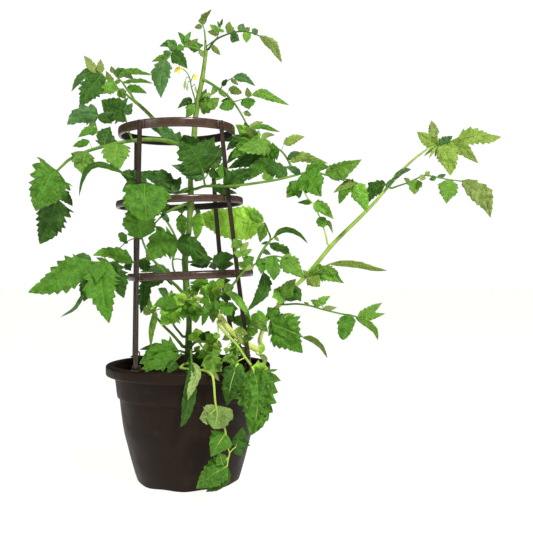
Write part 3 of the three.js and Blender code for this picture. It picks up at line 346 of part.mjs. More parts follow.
    ['bud',2.9,2.9,12,[[472.1,26.4,630.1],[463.4,23.4,616.8],[454.7,20.4,603.6]],[0.02,-0.98,0.21],[0.02,-0.98,0.21],0],
    ['bud',2.9,2.9,12,[[473.2,27,629.2],[470.9,30,618.2],[468.7,33,607.1]],[-0.22,-0.95,-0.21],[-0.22,-0.95,-0.21],0],
    ['bud',2.9,2.9,12,[[472.1,26.4,630.1],[460,30.4,619.7],[447.9,34.4,609.2]],[-0.2,-0.97,-0.14],[-0.2,-0.97,-0.14],0],
  ] },
  leaf_low_left: { seats: ['main_stem'], axes: [[[-0.67,0,327.39,2.69],[-22.62,-42,322.15,1.73],[-37.27,-56,317.52,1.4]],[[-34.07,-52.94,318.53,1.17],[-45.78,-60,321.37,0.99],[-54.23,-64,318,0.82]]], blades: [
    ['lob',24.7,24.7,14,[[-13.4,-26,324.9],[-28.8,-35.7,312.6],[-44.9,-45.8,290.5]],[0.38,-0.89,0.25],[0.24,-0.94,0.24],[-14,-25.6,324.2]],
    ['ov',13.7,13.7,12,[[-19.6,-36,323.6],[-38.9,-43.3,331.3],[-57.9,-50.3,328.1]],[0.34,-0.94,-0.05],[0.32,-0.94,0.1],0],
    ['ov',12.1,12.1,12,[[-12,-21.8,325.6],[-24.9,-13.8,336.8],[-37.9,-5.8,348.1]],[-0.24,-0.9,0.37],[-0.24,-0.9,0.37],0],
    ['nar',7.6,7.6,12,[[-54.2,-64,318],[-54.4,-69.3,304],[-58.5,-74.7,281.2],[-59.5,-80,255]],[-0.53,-0.79,0.31],[-0.53,-0.83,0.18],0],
    ['ov',8.3,8.3,12,[[-10.4,-19.6,325.5],[-9.3,-29.9,316.4],[-8.1,-41,307.5]],[0.07,-0.66,0.75],[0.06,-0.62,0.78],0],
  ] },
  leaf_low_center: { seats: ['main_stem'], axes: [[[-0.97,0,330.08,2.22],[4,-9,331.46,1.95],[10.75,-28,326.88,1.4]]], blades: [
    ['lob',13.7,13.7,12,[[10.8,-28,326.9],[14.1,-34.8,310.7],[17.7,-44.4,295]],[0.03,-0.93,0.37],[-0.01,-0.85,0.53],0],
    ['ov',11.9,11.9,12,[[9.5,-24,327.6],[3.1,-39.8,316.1],[-3.4,-51.9,304.6]],[0.44,-0.63,0.64],[0.38,-0.75,0.54],0],
    ['ov',9.2,9.2,12,[[9.5,-24,327.6],[19.4,-27,319.9],[29.3,-30,312.3]],[-0.12,-0.97,0.22],[-0.12,-0.97,0.22],0],
  ] },
  leaf_low_bright: { seats: ['main_stem'], axes: [[[-3.61,0,356.57,2.69],[6.24,-9,357.55,2.43],[15.93,-24,358.03,2.18],[30.4,-44,356.85,1.92],[61.4,-76,361.47,1.4]],[[38.2,-52.05,358.01,1.4],[45.51,-78,333.08,0.94]],[[15.93,-24,358.03,1.4],[9.86,-58,339.28,1.09],[-1.75,-68,337.95,0.94]]], blades: [
    ['lob',16.5,16.5,5,[[22.1,-31.5,357.4],[28.1,-60.5,368.6],[34,-89.5,379.5]],[-0.11,-0.38,-0.92],[-0.11,-0.37,-0.92],0],
    ['lob',10.7,10.7,12,[[48,-62,359.2],[37.1,-73,354.2],[26.4,-84,349.3]],[0.61,-0.74,0.28],[0.62,-0.73,0.29],0],
    ['ov',8,8,12,[[59.5,-74.2,361.4],[65.2,-80.3,368.7],[70.8,-86.3,375.9]],[-0.31,-0.84,-0.45],[-0.31,-0.84,-0.45],0],
    ['ov',8,8,12,[[49.9,-63.8,359.3],[50.7,-75.8,367.3],[51.5,-87.8,375.1]],[0.04,-0.55,-0.83],[0.04,-0.54,-0.84],0],
    ['ov',8,8,12,[[45.5,-78,333.1],[40.3,-79.9,323.4],[35.5,-86.6,314.1]],[0.09,-0.99,0.09],[0.3,-0.82,0.49],0],
    ['ov',9.8,9.8,12,[[45.4,-76.5,334.8],[53.8,-81.9,328],[62,-86.9,321.2]],[-0.29,-0.89,0.35],[-0.26,-0.9,0.34],0],
    ['ov',7.1,7.1,12,[[43.1,-69,343.4],[50.9,-79,343.8],[58.6,-89,344.2]],[-0.79,-0.62,0.03],[-0.79,-0.61,0.03],[42.8,-68.2,342.5]],
    ['ov',7.1,7.1,12,[[42.3,-70.5,341.6],[34.7,-81.5,337.7],[27.1,-92.5,333.8]],[0.69,-0.62,0.37],[0.7,-0.61,0.37],[43.2,-69.7,341.1]],
    ['ov',9.1,9.1,12,[[36.4,-50.8,356.2],[42.1,-42.8,347.2],[48,-34.8,338.2]],[0.41,-0.79,-0.45],[0.41,-0.8,-0.44],[36.5,-50.3,357.8]],
    ['ov',9,9,12,[[55.7,-70.8,360.2],[56.6,-62.8,349.3],[57.4,-54.8,338.2]],[0.13,-0.81,-0.58],[0.13,-0.81,-0.57],0],
    ['ov',8.4,8.4,12,[[13.8,-20.2,357.2],[9.6,-5.2,347.2],[6.8,-4.7,337.8]],[-0.2,-0.54,-0.82],[0.11,-0.99,0.11],0],
    ['ov',7.3,7.3,12,[[24.3,-36.5,357.3],[16.5,-40.8,359.4],[7.3,-30.3,361]],[0.61,-0.79,-0.1],[-0.77,-0.61,0.21],0],
    ['ov',11.6,11.6,12,[[44.4,-75,336.5],[50.3,-70.3,318.4],[50.2,-67.8,296.7]],[0.17,-0.96,-0.21],[0.06,-0.99,-0.11],0],
    ['lan',7.1,7.1,12,[[42.4,-72,339],[37.4,-77.2,313.5],[30.5,-68,291.4]],[0.11,-0.96,0.24],[-0.08,-0.9,-0.43],[43.7,-71.7,339.1]],
    ['ov',8.1,8.1,12,[[49.9,-63.8,359.3],[66.2,-65.8,370.1],[82.4,-67.8,373.8]],[-0.07,-0.99,-0.07],[-0.12,-0.99,-0.01],0],
    ['ov',8,8,12,[[1.6,-65.5,337.8],[-7.8,-70.4,343.4],[-16.8,-77.7,349.1]],[0.38,-0.92,-0.11],[0.55,-0.81,-0.22],[1.4,-65.3,338.3]],
    ['ov',7.2,7.2,12,[[6.5,-60.5,339.4],[0.5,-64.1,345.8],[-5.3,-68,352.3]],[0.33,-0.92,-0.2],[0.36,-0.9,-0.23],[6.7,-60.7,338.9]],
    ['ov',6.3,6.3,12,[[9.7,-56.2,340.1],[15.9,-65.2,333.8],[22.1,-74.2,327.5]],[-0.39,-0.7,0.6],[-0.4,-0.69,0.61],0],
    ['lan',6.2,6.2,12,[[-1.7,-68,337.9],[-6.4,-75.1,333.8],[-11.2,-79.5,329.6]],[0.61,-0.63,0.48],[0.42,-0.85,0.32],0],
  ] },
  leaf_low_right: { seats: ['branch_right'], axes: [[[49.44,-51.44,321.72,2.57],[51.33,-58,332.97,2.28],[69.27,-90,351.32,1.7],[72.44,-100,358.71,1.4]],[[57.94,-69.78,339.73,1.52],[67.18,-84,333.38,1.23],[74.76,-94,325.09,0.94]]], blades: [
    ['lan',6.6,6.6,12,[[71.4,-97.5,356.9],[90.3,-87.4,345],[107.4,-96.3,324.3],[121,-124.4,304.4]],[0.25,-0.84,-0.47],[-0.64,-0.6,0.48],0],
    ['ov',8.8,8.8,12,[[72,-92,359.3],[80.2,-87,360.5],[88.4,-82,361.7]],[0.51,-0.85,0.1],[0.51,-0.86,0.1],[71,-95.3,355.3]],
    ['ov',8,8,12,[[67.3,-86,349.4],[74.7,-75,343.6],[82.2,-64,337.8]],[0.66,-0.65,-0.39],[0.65,-0.65,-0.39],0],
    ['ov',9.6,9.6,12,[[74.8,-94,325.1],[79.9,-100.2,318.9],[84.9,-103.7,312.5]],[-0.33,-0.77,0.54],[-0.16,-0.93,0.33],0],
    ['ov',5.3,5.3,12,[[71,-89,329.2],[68.7,-96,334],[66.5,-103,338.7]],[0.45,-0.6,-0.66],[0.45,-0.59,-0.67],0],
    ['ov',8.8,8.8,12,[[65.2,-80.5,335],[61,-91.6,328.9],[56.4,-95.7,322.6]],[0.51,-0.52,0.68],[0.24,-0.92,0.3],0],
    ['ov',8.8,8.8,12,[[72.9,-91.5,327.6],[84.1,-85.2,325],[95.2,-76.3,322.3]],[0.47,-0.88,-0.03],[0.62,-0.78,-0.07],0],
    ['ov',9.8,9.8,12,[[70,-87.8,330.9],[81,-75.3,316.9],[84.1,-64.7,298.3]],[0.45,-0.81,-0.37],[0.11,-0.88,-0.46],[69.8,-87.5,330.5]],
    ['ov',7.9,7.9,12,[[72.9,-91.5,326.7],[69.6,-96.4,320.8],[66.2,-98.6,314.8]],[0.32,-0.79,0.53],[0.14,-0.97,0.22],0],
  ] },
  leaf_base_left: { seats: ['main_stem'], axes: [[[0.06,0,248.4,3.39],[-9.33,-8,248.43,3.14],[-27.66,-22,272.06,2.64],[-43.28,-30,288.76,2.39],[-64.83,-40,316.56,1.89],[-69.1,-42,325.79,1.64]]], blades: [
    ['lob',4.6,4.6,12,[[-66.5,-40.8,320.3],[-68.6,-32.8,329.9],[-70.7,-24.8,339.6]],[0.05,-0.76,0.65],[0.06,-0.77,0.64],0],
    ['ov',8.2,8.2,12,[[-66.5,-41,321.2],[-73.3,-35,315.8],[-80.2,-29,310.4]],[-0.41,-0.82,-0.4],[-0.41,-0.82,-0.4],0],
    ['lan',4.6,4.6,12,[[-63.1,-39.5,314.7],[-59.5,-32.5,322.5],[-55.8,-25.5,330.4]],[0.37,-0.77,0.52],[0.37,-0.77,0.51],0],
  ] },
  leaf_base_mid: { seats: ['main_stem'], axes: [[[0.29,0,267.56,2.69],[-9.43,-7,266.99,2.5],[-25.75,2,284,2.11],[-36.55,14,309.52,1.72],[-39.17,20,328.14,1.52]]], blades: [
    ['sm',6.7,6.7,12,[[-39.1,19.2,326.3],[-49.4,26.1,348.8],[-61.8,33.1,355.2]],[0.03,-0.96,0.28],[-0.41,-0.88,0.24],0],
    ['lan',5.7,5.7,12,[[-39.2,20,328.1],[-36.9,25.2,340.3],[-34.7,30.2,352.5]],[0.18,-0.91,0.36],[0.18,-0.92,0.34],0],
    ['sm',4.8,4.8,12,[[-37.8,16.2,317],[-32.2,21.2,321.4],[-26.6,26.2,325.9]],[0.47,-0.82,0.33],[0.47,-0.82,0.33],0],
  ] },
  leaf_ring_low: { seats: ['main_stem'], axes: [[[-5.25,0,375.86,2.22],[-12.81,4,374.05,2.06],[-21.42,14,377.62,1.9],[-38.22,28,379.27,1.73],[-58.88,40,377.14,1.57],[-87.59,52,373.05,1.4]],[[-21.42,14,377.62,1.99],[-30.85,22,392.69,1.79],[-32.64,26,413.63,1.6],[-24.85,28,429.86,1.4]],[[-32.4,25.47,410.83,1.29],[-22.18,21,411.7,1.17],[-12.51,12,409.4,1.05]]], blades: [
    ['ov',9.2,9.2,12,[[-34,24.5,379.3],[-65.8,34.3,393.5],[-98,44.1,386.7]],[-0.02,-0.88,0.48],[-0.34,-0.91,0.22],0],
    ['ov',10.2,10.2,12,[[-48.5,34,378.2],[-74.1,38.5,367.6],[-100.1,45,368.4]],[-0.26,-0.94,0.22],[-0.2,-0.9,0.4],0],
    ['lob',12.6,12.6,12,[[-87.6,52,372.1],[-91.1,56,341.9],[-98.9,60,305.7]],[0.13,-0.98,-0.15],[0.11,-0.98,-0.13],[-87.6,52,373]],
    ['ov',5.7,5.7,12,[[-42.4,31,379.2],[-38,26,370.3],[-33.6,21,361.3]],[-0.08,-0.89,0.46],[-0.08,-0.89,0.46],0],
  ] },
  leaf_pot_left: { seats: ['main_stem'], axes: [[[0.01,0,235.97,2.69],[-21.47,-36,244.02,1.64]],[[-9.88,-16.58,239.68,1.64],[-21.48,-52,225.85,1.17]]], blades: [
    ['lob',25.1,25.1,14,[[-16.8,-28,242.2],[-43.8,-47,239.8],[-81.8,-66,224]],[0.55,-0.76,0.34],[0.25,-0.88,0.39],0],
    ['ov',7.4,7.4,12,[[-27,-36,244],[-57.2,-29,249.7],[-88.6,-22,244.3]],[-0.18,-0.97,0.18],[-0.22,-0.97,0.03],[-21.5,-36,244]],
    ['lob',13.4,13.4,12,[[-21.5,-52,225.8],[-51.5,-71,221.9],[-79.8,-90,212.9]],[0.36,-0.68,0.64],[0.23,-0.69,0.68],0],
    ['ov',9.9,9.9,12,[[-19.9,-49.8,226.5],[-24.7,-62.8,216.8],[-29.5,-75.8,207.4]],[0.4,-0.64,0.66],[0.4,-0.63,0.67],[-20.7,-49.6,226.8]],
  ] },
  leaf_pot_right: { seats: ['main_stem'], axes: [[[0.06,0,248.4,3.16],[4.38,-9,248.54,2.9],[11.88,-20,256.15,2.64],[20.12,-30,259.54,2.39],[52.76,-52,258.44,1.87]],[[21.91,-31.21,259.48,1.99],[40.94,-64,239.89,1.29]]], blades: [
    ['ov',15.7,15.7,12,[[20.1,-30,259.5],[17.5,-21.1,271.3],[15.1,-14.6,283.5]],[-0.01,-0.79,0.62],[0.02,-0.89,0.45],0],
    ['ov',13.8,13.8,12,[[33.7,-39,259.9],[36.6,-28.9,269],[39.7,-20.5,278.4]],[0.28,-0.68,0.68],[0.24,-0.77,0.58],0],
    ['ov',11.9,11.9,12,[[37.5,-42,260.2],[47.1,-35.7,266],[56.8,-29.1,271.8]],[0.39,-0.87,0.3],[0.4,-0.86,0.3],[37.6,-41.8,258.9]],
    ['ov',8.1,8.1,12,[[50.9,-50.8,258.3],[58.5,-56.8,255.8],[66,-62.8,253.2]],[-0.51,-0.79,0.33],[-0.52,-0.79,0.33],0],
    ['ov',10.9,10.9,12,[[37.5,-42,260.2],[42.1,-41.4,251],[46.2,-35.4,241.2]],[0.1,-0.99,0.05],[0.32,-0.84,-0.43],[37.6,-41.8,258.9]],
    ['lob',17.8,17.8,10,[[40.9,-64,239.9],[52.7,-79,223.4],[64.2,-94,207.2]],[-0.22,-0.8,0.56],[-0.23,-0.79,0.57],0],
    ['ov',9,9,12,[[38.9,-60,242.1],[29.5,-55,237.1],[20,-50,231.9]],[-0.41,-0.9,-0.14],[-0.4,-0.9,-0.13],0],
  ] },
  leaf_pot_back: { seats: ['main_stem'], axes: [[[0.01,0,235.97,2.22],[5.89,5,236.74,1.95],[15.74,22,236.76,1.68],[29.61,40,232.86,1.4]]], blades: [
    ['ov',15.3,15.3,12,[[15.7,22,236.8],[19.6,33,225],[23.5,44,213.1]],[0.36,-0.74,-0.57],[0.36,-0.74,-0.57],0],
    ['ov',13.5,13.5,12,[[29.6,40,232.9],[44.5,48,233.9],[59.5,56,235]],[0.46,-0.88,0.15],[0.46,-0.88,0.15],0],
    ['ov',5.7,5.7,12,[[10.8,13.5,236.7],[15.2,17.5,241.5],[19.3,25.2,245.9]],[0.31,-0.88,0.35],[0.54,-0.59,0.6],0],
  ] },
  leaf_over_rim: { seats: ['branch_right'], axes: [[[67.12,-64.38,300.58,2.92],[59.74,-78,299.28,2.77],[67.4,-88,287.66,2.61],[76.52,-94,278.48,2.46],[94.33,-100,260.62,2.3],[108.45,-104,240.07,2.14],[118.97,-106,226.35,1.99]],[[79.98,-95.17,275.01,1.17],[90.9,-102,287.06,0.82]],[[87.44,-97.68,267.53,1.17],[77.2,-108,257.08,0.82]],[[94.33,-100,260.62,1.17],[104.95,-104,269.76,0.82]],[[109.18,-104.14,239.11,1.29],[94.91,-116,232.81,0.94]],[[59.74,-78,299.28,1.17],[58.69,-90,261.37,0.82]],[[118.97,-106,226.35,2.69],[129.57,-118,201.93,2.11]],[[94.91,-116,232.81,1.87],[90.11,-126,220.29,1.29]]], blades: [
    ['ov',7.9,7.9,12,[[90.9,-102,287.1],[102.3,-104,283.7],[113.7,-106,280.4]],[-0.13,-0.98,0.13],[-0.13,-0.98,0.13],0],
    ['ov',5.3,5.3,12,[[80.1,-95,275.9],[73.6,-88,271.8],[67,-81,267.6]],[-0.6,-0.74,-0.3],[-0.6,-0.74,-0.3],[80.4,-95.4,275.4]],
    ['ov',5.2,5.2,12,[[77.2,-108,257.1],[76.5,-111,251.8],[75.8,-114,246.4]],[0.1,-0.87,0.48],[0.1,-0.87,0.48],0],
    ['ov',8,8,12,[[87.2,-98,266.6],[95.4,-80.3,254.6],[103.6,-57.4,241.8]],[0.55,-0.64,-0.54],[0.59,-0.54,-0.6],[86.9,-98.2,267]],
    ['ov',4.8,4.8,12,[[105,-104,269.8],[114.6,-106,272.1],[124.2,-108,274.5]],[-0.21,-0.98,0.04],[-0.21,-0.98,0.04],0],
    ['ov',8.1,8.1,12,[[99.6,-101.5,252],[108,-52,241.2],[117.9,-47.8,235.3]],[0.87,-0.22,-0.45],[-0.06,-0.99,0.16],0],
    ['ov',9.7,9.7,12,[[94.3,-100,258.9],[88.8,-92,248.4],[83.1,-84,237.7]],[-0.28,-0.83,-0.48],[-0.28,-0.83,-0.48],0],
    ['sm',3.5,3.5,12,[[58.7,-90,261.4],[55.4,-93,259.9],[52,-96,258.5]],[0.55,-0.77,0.33],[0.55,-0.77,0.33],0],
    ['ov',6.2,6.2,12,[[60.1,-84.8,278.5],[56.9,-89.2,275.4],[53.5,-92,272.1]],[0.5,-0.69,0.52],[0.32,-0.88,0.35],[59.2,-84.6,278.5]],
    ['lob',35.9,33.3,6,[[122.5,-108.9,219.8],[130.6,-132.3,190.3],[129.9,-142.1,151],[119.6,-138.2,111.1]],[-0.21,-0.77,0.6],[-0.16,-0.98,-0.08],0],
    ['lob',14,14,12,[[121.6,-108.2,221.4],[138.1,-99.2,215],[152.2,-90.2,196.1]],[0.48,-0.88,0.01],[0.26,-0.94,-0.24],0],
    ['ov',17,17,10,[[94.2,-120.8,227.4],[85.6,-141.3,198.5],[79.2,-148.3,163.2]],[0.18,-0.8,0.58],[0.04,-0.99,0.14],[92.9,-120.3,227.5]],
    ['ov',12,12,12,[[96.7,-117,230.3],[95.4,-130.5,205.9],[93.4,-122.6,178.5]],[0.06,-0.83,0.55],[0,-0.93,-0.35],[94.4,-117.2,231.4]],
    ['lob',10.3,10.3,12,[[95.8,-117.6,230.4],[81.4,-122.6,240.5],[69.6,-127.6,236]],[0.27,-0.96,-0.06],[0.27,-0.93,0.24],[94.2,-117.5,230.9]],
  ] },
  leaf_trailing: { seats: ['main_stem'], axes: [[[-0.04,0,214.82,2.57],[-4.08,-45,219.35,2.41],[-4.63,-100,220.34,2.24],[41.46,-142,220.71,2.08],[54.3,-156,215.86,2],[58.05,-162,201.62,1.91],[61.46,-163,164.94,1.75],[75.54,-160,129.17,1.58],[83.65,-154,84.14,1.34],[79.34,-152,60.05,1.17]],[[83.65,-154,84.14,1.17],[94.45,-150,93.34,0.94]],[[82.26,-153.36,76.39,1.17],[76.07,-154,71.5,1.05],[72.75,-155,64.17,0.94]]], blades: [
    ['ov',15.9,15.9,5,[[63.1,-162.9,162.4],[48.4,-167.3,149],[34.8,-174.8,146.3]],[-0.08,0.98,-0.19],[-0.47,0.85,-0.25],0],
    ['rnd',22.5,15,5,[[62.3,-163,164.9],[63.6,-171.4,148.1],[59,-176.9,129.3]],[-0.03,0.88,-0.47],[-0.07,0.97,-0.24],0],
    ['ov',18.4,18.4,8,[[77.1,-158.5,118],[66.5,-163.5,103.1],[53.5,-168.5,81.7]],[0.1,-0.96,0.27],[0.04,-0.98,0.19],0],
    ['ov',19.5,7.6,8,[[94.5,-150,93.3],[98.6,-147,107.9],[105.3,-144,125.1]],[0.03,-0.98,0.2],[0.01,-0.99,0.16],0],
    ['ov',7.6,7.6,12,[[95.3,-150,93.3],[100.4,-151,86],[105.5,-152,78.6]],[0.07,-0.98,0.18],[0.07,-0.98,0.18],[94.5,-150,93.3]],
    ['ov',21.2,21.2,8,[[78.5,-152,60.9],[54.4,-158,48.1],[28.9,-164,27.1]],[0.04,-0.92,0.39],[-0.06,-0.94,0.33],[79.5,-152.1,60.7]],
    ['ov',10.1,10.1,12,[[72.8,-155,64.2],[69.6,-159,75.2],[66.5,-163,86.3]],[0.22,-0.94,-0.28],[0.22,-0.94,-0.28],0],
    ['ov',11.9,11.9,12,[[79,-152,60],[67.2,-147,33.4],[43.2,-142,15]],[-0.1,-0.99,-0.14],[-0.24,-0.97,0.08],0],
    ['lan',5.1,5.1,12,[[43.3,-143.8,220.6],[56.4,-149.1,216.6],[65.1,-139,203.3]],[-0.42,-0.87,0.26],[0.43,-0.8,-0.43],0],
  ] },
  leaf_narrow_front: { seats: ['main_stem'], axes: [[[0,0,232.68,1.99],[12.27,-84,249.25,1.72],[20.31,-156,234.37,1.52]]], blades: [
    ['ov',8.9,8.9,12,[[20.2,-151,235.4],[27.6,-158.3,217.9],[20.4,-162.7,195],[13.9,-164.3,175.2]],[0.35,0.91,-0.23],[0.27,0.95,-0.15],0],
    ['lan',10.5,10.5,12,[[20.2,-153.5,234.9],[18.8,-154.8,198.8],[13.8,-154.7,165.1],[7.7,-153.1,141.3],[0.7,-150.1,127.2]],[-0.17,-0.98,0.04],[-0.31,-0.95,-0.05],0],
  ] },
  leaf_rim_right: { seats: ['branch_right'], axes: [[[128.51,-73.04,250.24,1.76],[128.19,-76,243.03,1.6],[133.6,-84,241.28,1.44],[138.05,-88,243.5,1.29]]], blades: [
    ['nar',4.7,4.7,12,[[133.6,-83,242],[143.4,-89,234.8],[139,-95,221.4]],[-0.47,-0.88,-0.01],[-0.22,-0.86,0.46],[133.1,-83.2,241.4]],
    ['nar',4.1,4.1,12,[[132.7,-82,242.8],[139.8,-79,253.1],[138,-76,261.7]],[0.47,-0.87,-0.12],[0.41,-0.8,0.43],[132.3,-82,241.7]],
  ] },
}
// cage legs: foot on the rim, then the three ring heights and the top end, rows of [x, y, z]
const LEGS = {
  front_left: [[-79.2,-122.5,217],[-83.58,-82.58,378.56],[-78.22,-104.25,513.52],[-75.11,-105.2,647.7],[-74.96,-105.25,654.2]],
  front_right: [[116,-90,217],[94.48,-79.16,385.15],[78.33,-76.01,519.78],[65.11,-78.65,651.17],[64.45,-78.78,657.67]],
  back_right: [[82,120,217],[55.22,108.81,383.7],[43.53,105.57,518.39],[37.01,87.05,648.42],[36.68,86.12,654.92]],
  back_left: [[-116.8,93.4,217],[-107.2,46.13,377.69],[-111.13,75.51,512.2],[-107.76,61.59,644.82],[-107.6,60.91,651.32]],
}

// half width of a blade along its midrib, as a fraction of its widest half width
const OUTLINE = {
  rnd: [[0, .16], [.07, .55], [.18, .85], [.35, 1], [.55, 1], [.72, .86], [.86, .58], [.95, .26], [1, .04]],
  ov: [[0, .1], [.08, .55], [.2, .88], [.33, 1], [.5, .9], [.68, .62], [.84, .32], [.95, .1], [1, .03]],
  lob: [[0, .1], [.08, .6], [.2, .93], [.35, 1], [.52, .9], [.7, .62], [.85, .33], [.95, .11], [1, .03]],
  lan: [[0, .1], [.1, .5], [.25, .9], [.4, 1], [.58, .85], [.75, .58], [.9, .27], [1, .03]],
  nar: [[0, .2], [.12, .7], [.3, 1], [.5, .98], [.7, .75], [.88, .4], [1, .04]],
  sm: [[0, .12], [.12, .66], [.3, .98], [.48, 1], [.68, .8], [.86, .45], [1, .04]],
  bud: [[0, .3], [.2, .7], [.5, 1], [.8, .6], [1, .1]],
}

const wasm = await Module()
wasm.setup()
const V = (a) => new THREE.Vector3(a[0], a[1], a[2])

// closed three.js geometry -> solid
function solid(geometry) {
  const pos = geometry.attributes.position
  const index = geometry.index ? Array.from(geometry.index.array) : [...Array(pos.count).keys()]
  const seen = new Map(), verts = [], map = []
  for (let i = 0; i < pos.count; i++) {
    const p = [pos.getX(i), pos.getY(i), pos.getZ(i)].map((v) => Math.round(v * 1e4) / 1e4 + 0)
    const key = p.join(',')
    if (!seen.has(key)) { seen.set(key, verts.length / 3); verts.push(...p) }
    map.push(seen.get(key))
  }
  const tris = []
  let volume = 0
  for (let i = 0; i < index.length; i += 3) {
    const [a, b, c] = [map[index[i]], map[index[i + 1]], map[index[i + 2]]]
    if (a === b || b === c || c === a) continue
    tris.push(a, b, c)
    const A = V(verts.slice(3 * a, 3 * a + 3)), B = V(verts.slice(3 * b, 3 * b + 3)), C = V(verts.slice(3 * c, 3 * c + 3))
    volume += A.dot(B.cross(C)) / 6
  }
  if (volume < 0) for (let i = 0; i < tris.length; i += 3) [tris[i], tris[i + 1]] = [tris[i + 1], tris[i]]
  return new wasm.Manifold(new wasm.Mesh({ numProp: 3, vertProperties: new Float32Array(verts), triVerts: new Uint32Array(tris) }))
}
const join = (list) => (list.length === 1 ? list[0] : wasm.Manifold.union(list))

// the largest connected body, without the crumbs a seat cut can leave
function main(shape) {
  const parts = shape.decompose().sort((a, b) => b.volume() - a.volume())
  return parts[0]
}

// smooth curve through rows of numbers
function curve(rows, s) {
  const m = rows.length
  const at = (i) => (i < 0 ? rows[0].map((v, k) => 2 * v - rows[1][k]) : i >= m ? rows[m - 1].map((v, k) => 2 * v - rows[m - 2][k]) : rows[i])
  const x = Math.min(Math.max(s, 0), 1) * (m - 1), i = Math.min(Math.floor(x), m - 2), f = x - i
  const [a, b, c, d] = [at(i - 1), at(i), at(i + 1), at(i + 2)]
  return b.map((_, k) => 0.5 * (2 * b[k] + (c[k] - a[k]) * f + (2 * a[k] - 5 * b[k] + 4 * c[k] - d[k]) * f * f + (3 * b[k] - a[k] - 3 * c[k] + d[k]) * f * f * f))
}
function heading(rows, s) {
  const e = 0.004
  return V(curve(rows, Math.min(s + e, 1))).sub(V(curve(rows, Math.max(s - e, 0)))).normalize()
}

// a round bar: an upright cylinder bent on to the rows [x, y, z, radius]
function bar(rows, sides, extra = 0) {
  const segments = rows.length - 1
  const g = new THREE.CylinderGeometry(1, 1, 1, sides, segments)
  const frames = []
  let side = null
  for (let i = 0; i <= segments; i++) {
    const p = rows[i], t = V(rows[Math.min(i + 1, segments)]).sub(V(rows[Math.max(i - 1, 0)])).normalize()
    if (!side) side = new THREE.Vector3(Math.abs(t.x) < 0.9 ? 1 : 0, Math.abs(t.x) < 0.9 ? 0 : 1, 0)
    side = side.clone().addScaledVector(t, -side.dot(t)).normalize()
    frames.push({ p: V(p).addScaledVector(t, i === 0 ? -extra : i === segments ? extra : 0), r: Math.max(p[3], 0.3), s: side, n: new THREE.Vector3().crossVectors(side, t) })
  }
  const a = g.attributes.position
  for (let i = 0; i < a.count; i++) {
    const row = frames[Math.round((a.getY(i) + 0.5) * segments)]
    const q = row.p.clone().addScaledVector(row.s, a.getX(i) * (row.r + extra)).addScaledVector(row.n, a.getZ(i) * (row.r + extra))
    a.setXYZ(i, q.x, q.y, q.z)
  }
  return solid(g)
}
// a leaf blade: a pointed lens section that follows the midrib
function blade([outline, left, right, fold, pts, n0, n1, stalk]) {
  const table = OUTLINE[outline]
  const half = (t) => {
    for (let i = 1; i < table.length; i++) {
      if (t <= table[i][0]) {
        const [a, b] = [table[i - 1], table[i]]
        return a[1] + (b[1] - a[1]) * (t - a[0]) / (b[0] - a[0])
      }
    }
    return table[table.length - 1][1]
  }
  let length = 0
  for (let i = 1; i < pts.length; i++) length += V(pts[i]).distanceTo(V(pts[i - 1]))
  const wide = left + right
  const at = pts.length >= 5 || (wide > 27 && length > 44) ? [0, .14, .42, .76, 1]
    : length > 24 ? [0, .22, .58, 1] : [0, .38, 1]
  const thick = Math.min(BLADE_THICK, 0.9 + length * 0.025) / 2
  const small = wide < SMALL_BLADE     // a keel instead of a lens section
  const f = fold * (small ? 0.6 : 1) * Math.PI / 180
  const frames = at.map((t) => {
    const T = heading(pts, t)
    const N = V(n0).lerp(V(n1), t)
    N.addScaledVector(T, -N.dot(T)).normalize()
    const h = half(t)
    return { p: V(curve(pts, t)), s: new THREE.Vector3().crossVectors(T, N), n: N, l: h * left + 0.35, r: h * right + 0.35, t: thick, f }
  })
  if (stalk) {
    const r = Math.max(0.75, Math.min(1.25, wide * 0.045))
    const T = V(pts[0]).sub(V(stalk)).normalize(), first = frames[0]
    const N = first.n.clone().addScaledVector(T, -first.n.dot(T)).normalize()
    first.l = Math.max(first.l, r); first.r = Math.max(first.r, r); first.t = Math.max(first.t, r * 0.8)
    frames.unshift({ p: V(stalk), s: new THREE.Vector3().crossVectors(T, N), n: N, f: 0 })
  }
  frames[0].l = frames[0].r = frames[0].t = ROOT     // the root lies inside the stalk it grows from
  const n = frames.length - 1
  const g = new THREE.CylinderGeometry(0, 1, 1, small ? 3 : 4, n, false, small ? Math.PI : 0)
  const a = g.attributes.position
  for (let i = 0; i < a.count; i++) {
    const k = Math.round((a.getY(i) + 0.5) * n), F = frames[k], q = F.p.clone()
    if (k < n) {
      const r = 1 - k / n, x = a.getX(i) / r / (small ? 0.866 : 1), z = small && Math.abs(x) > 0.01 ? 0 : a.getZ(i) / r
      const w = Math.abs(x) * (x > 0 ? F.l : F.r)
      q.addScaledVector(F.s, Math.sign(x) * w * Math.cos(F.f)).addScaledVector(F.n, w * Math.sin(F.f) + z * F.t)
    }
    a.setXYZ(i, q.x, q.y, q.z)
  }
  return solid(g)
}

const group = new THREE.Group()
group.name = 'tomato_plant_in_pot'
function add(name, shape, colour, roughness = 0.7) {
  const mesh = shape.getMesh()
  const g = new THREE.BufferGeometry()
  g.setAttribute('position', new THREE.BufferAttribute(new Float32Array(mesh.vertProperties), 3))
  g.setIndex(new THREE.BufferAttribute(new Uint32Array(mesh.triVerts), 1))
  g.computeVertexNormals()
  const m = new THREE.Mesh(g, new THREE.MeshStandardMaterial({ color: colour, roughness, metalness: 0 }))
  m.name = name
  group.add(m)
}

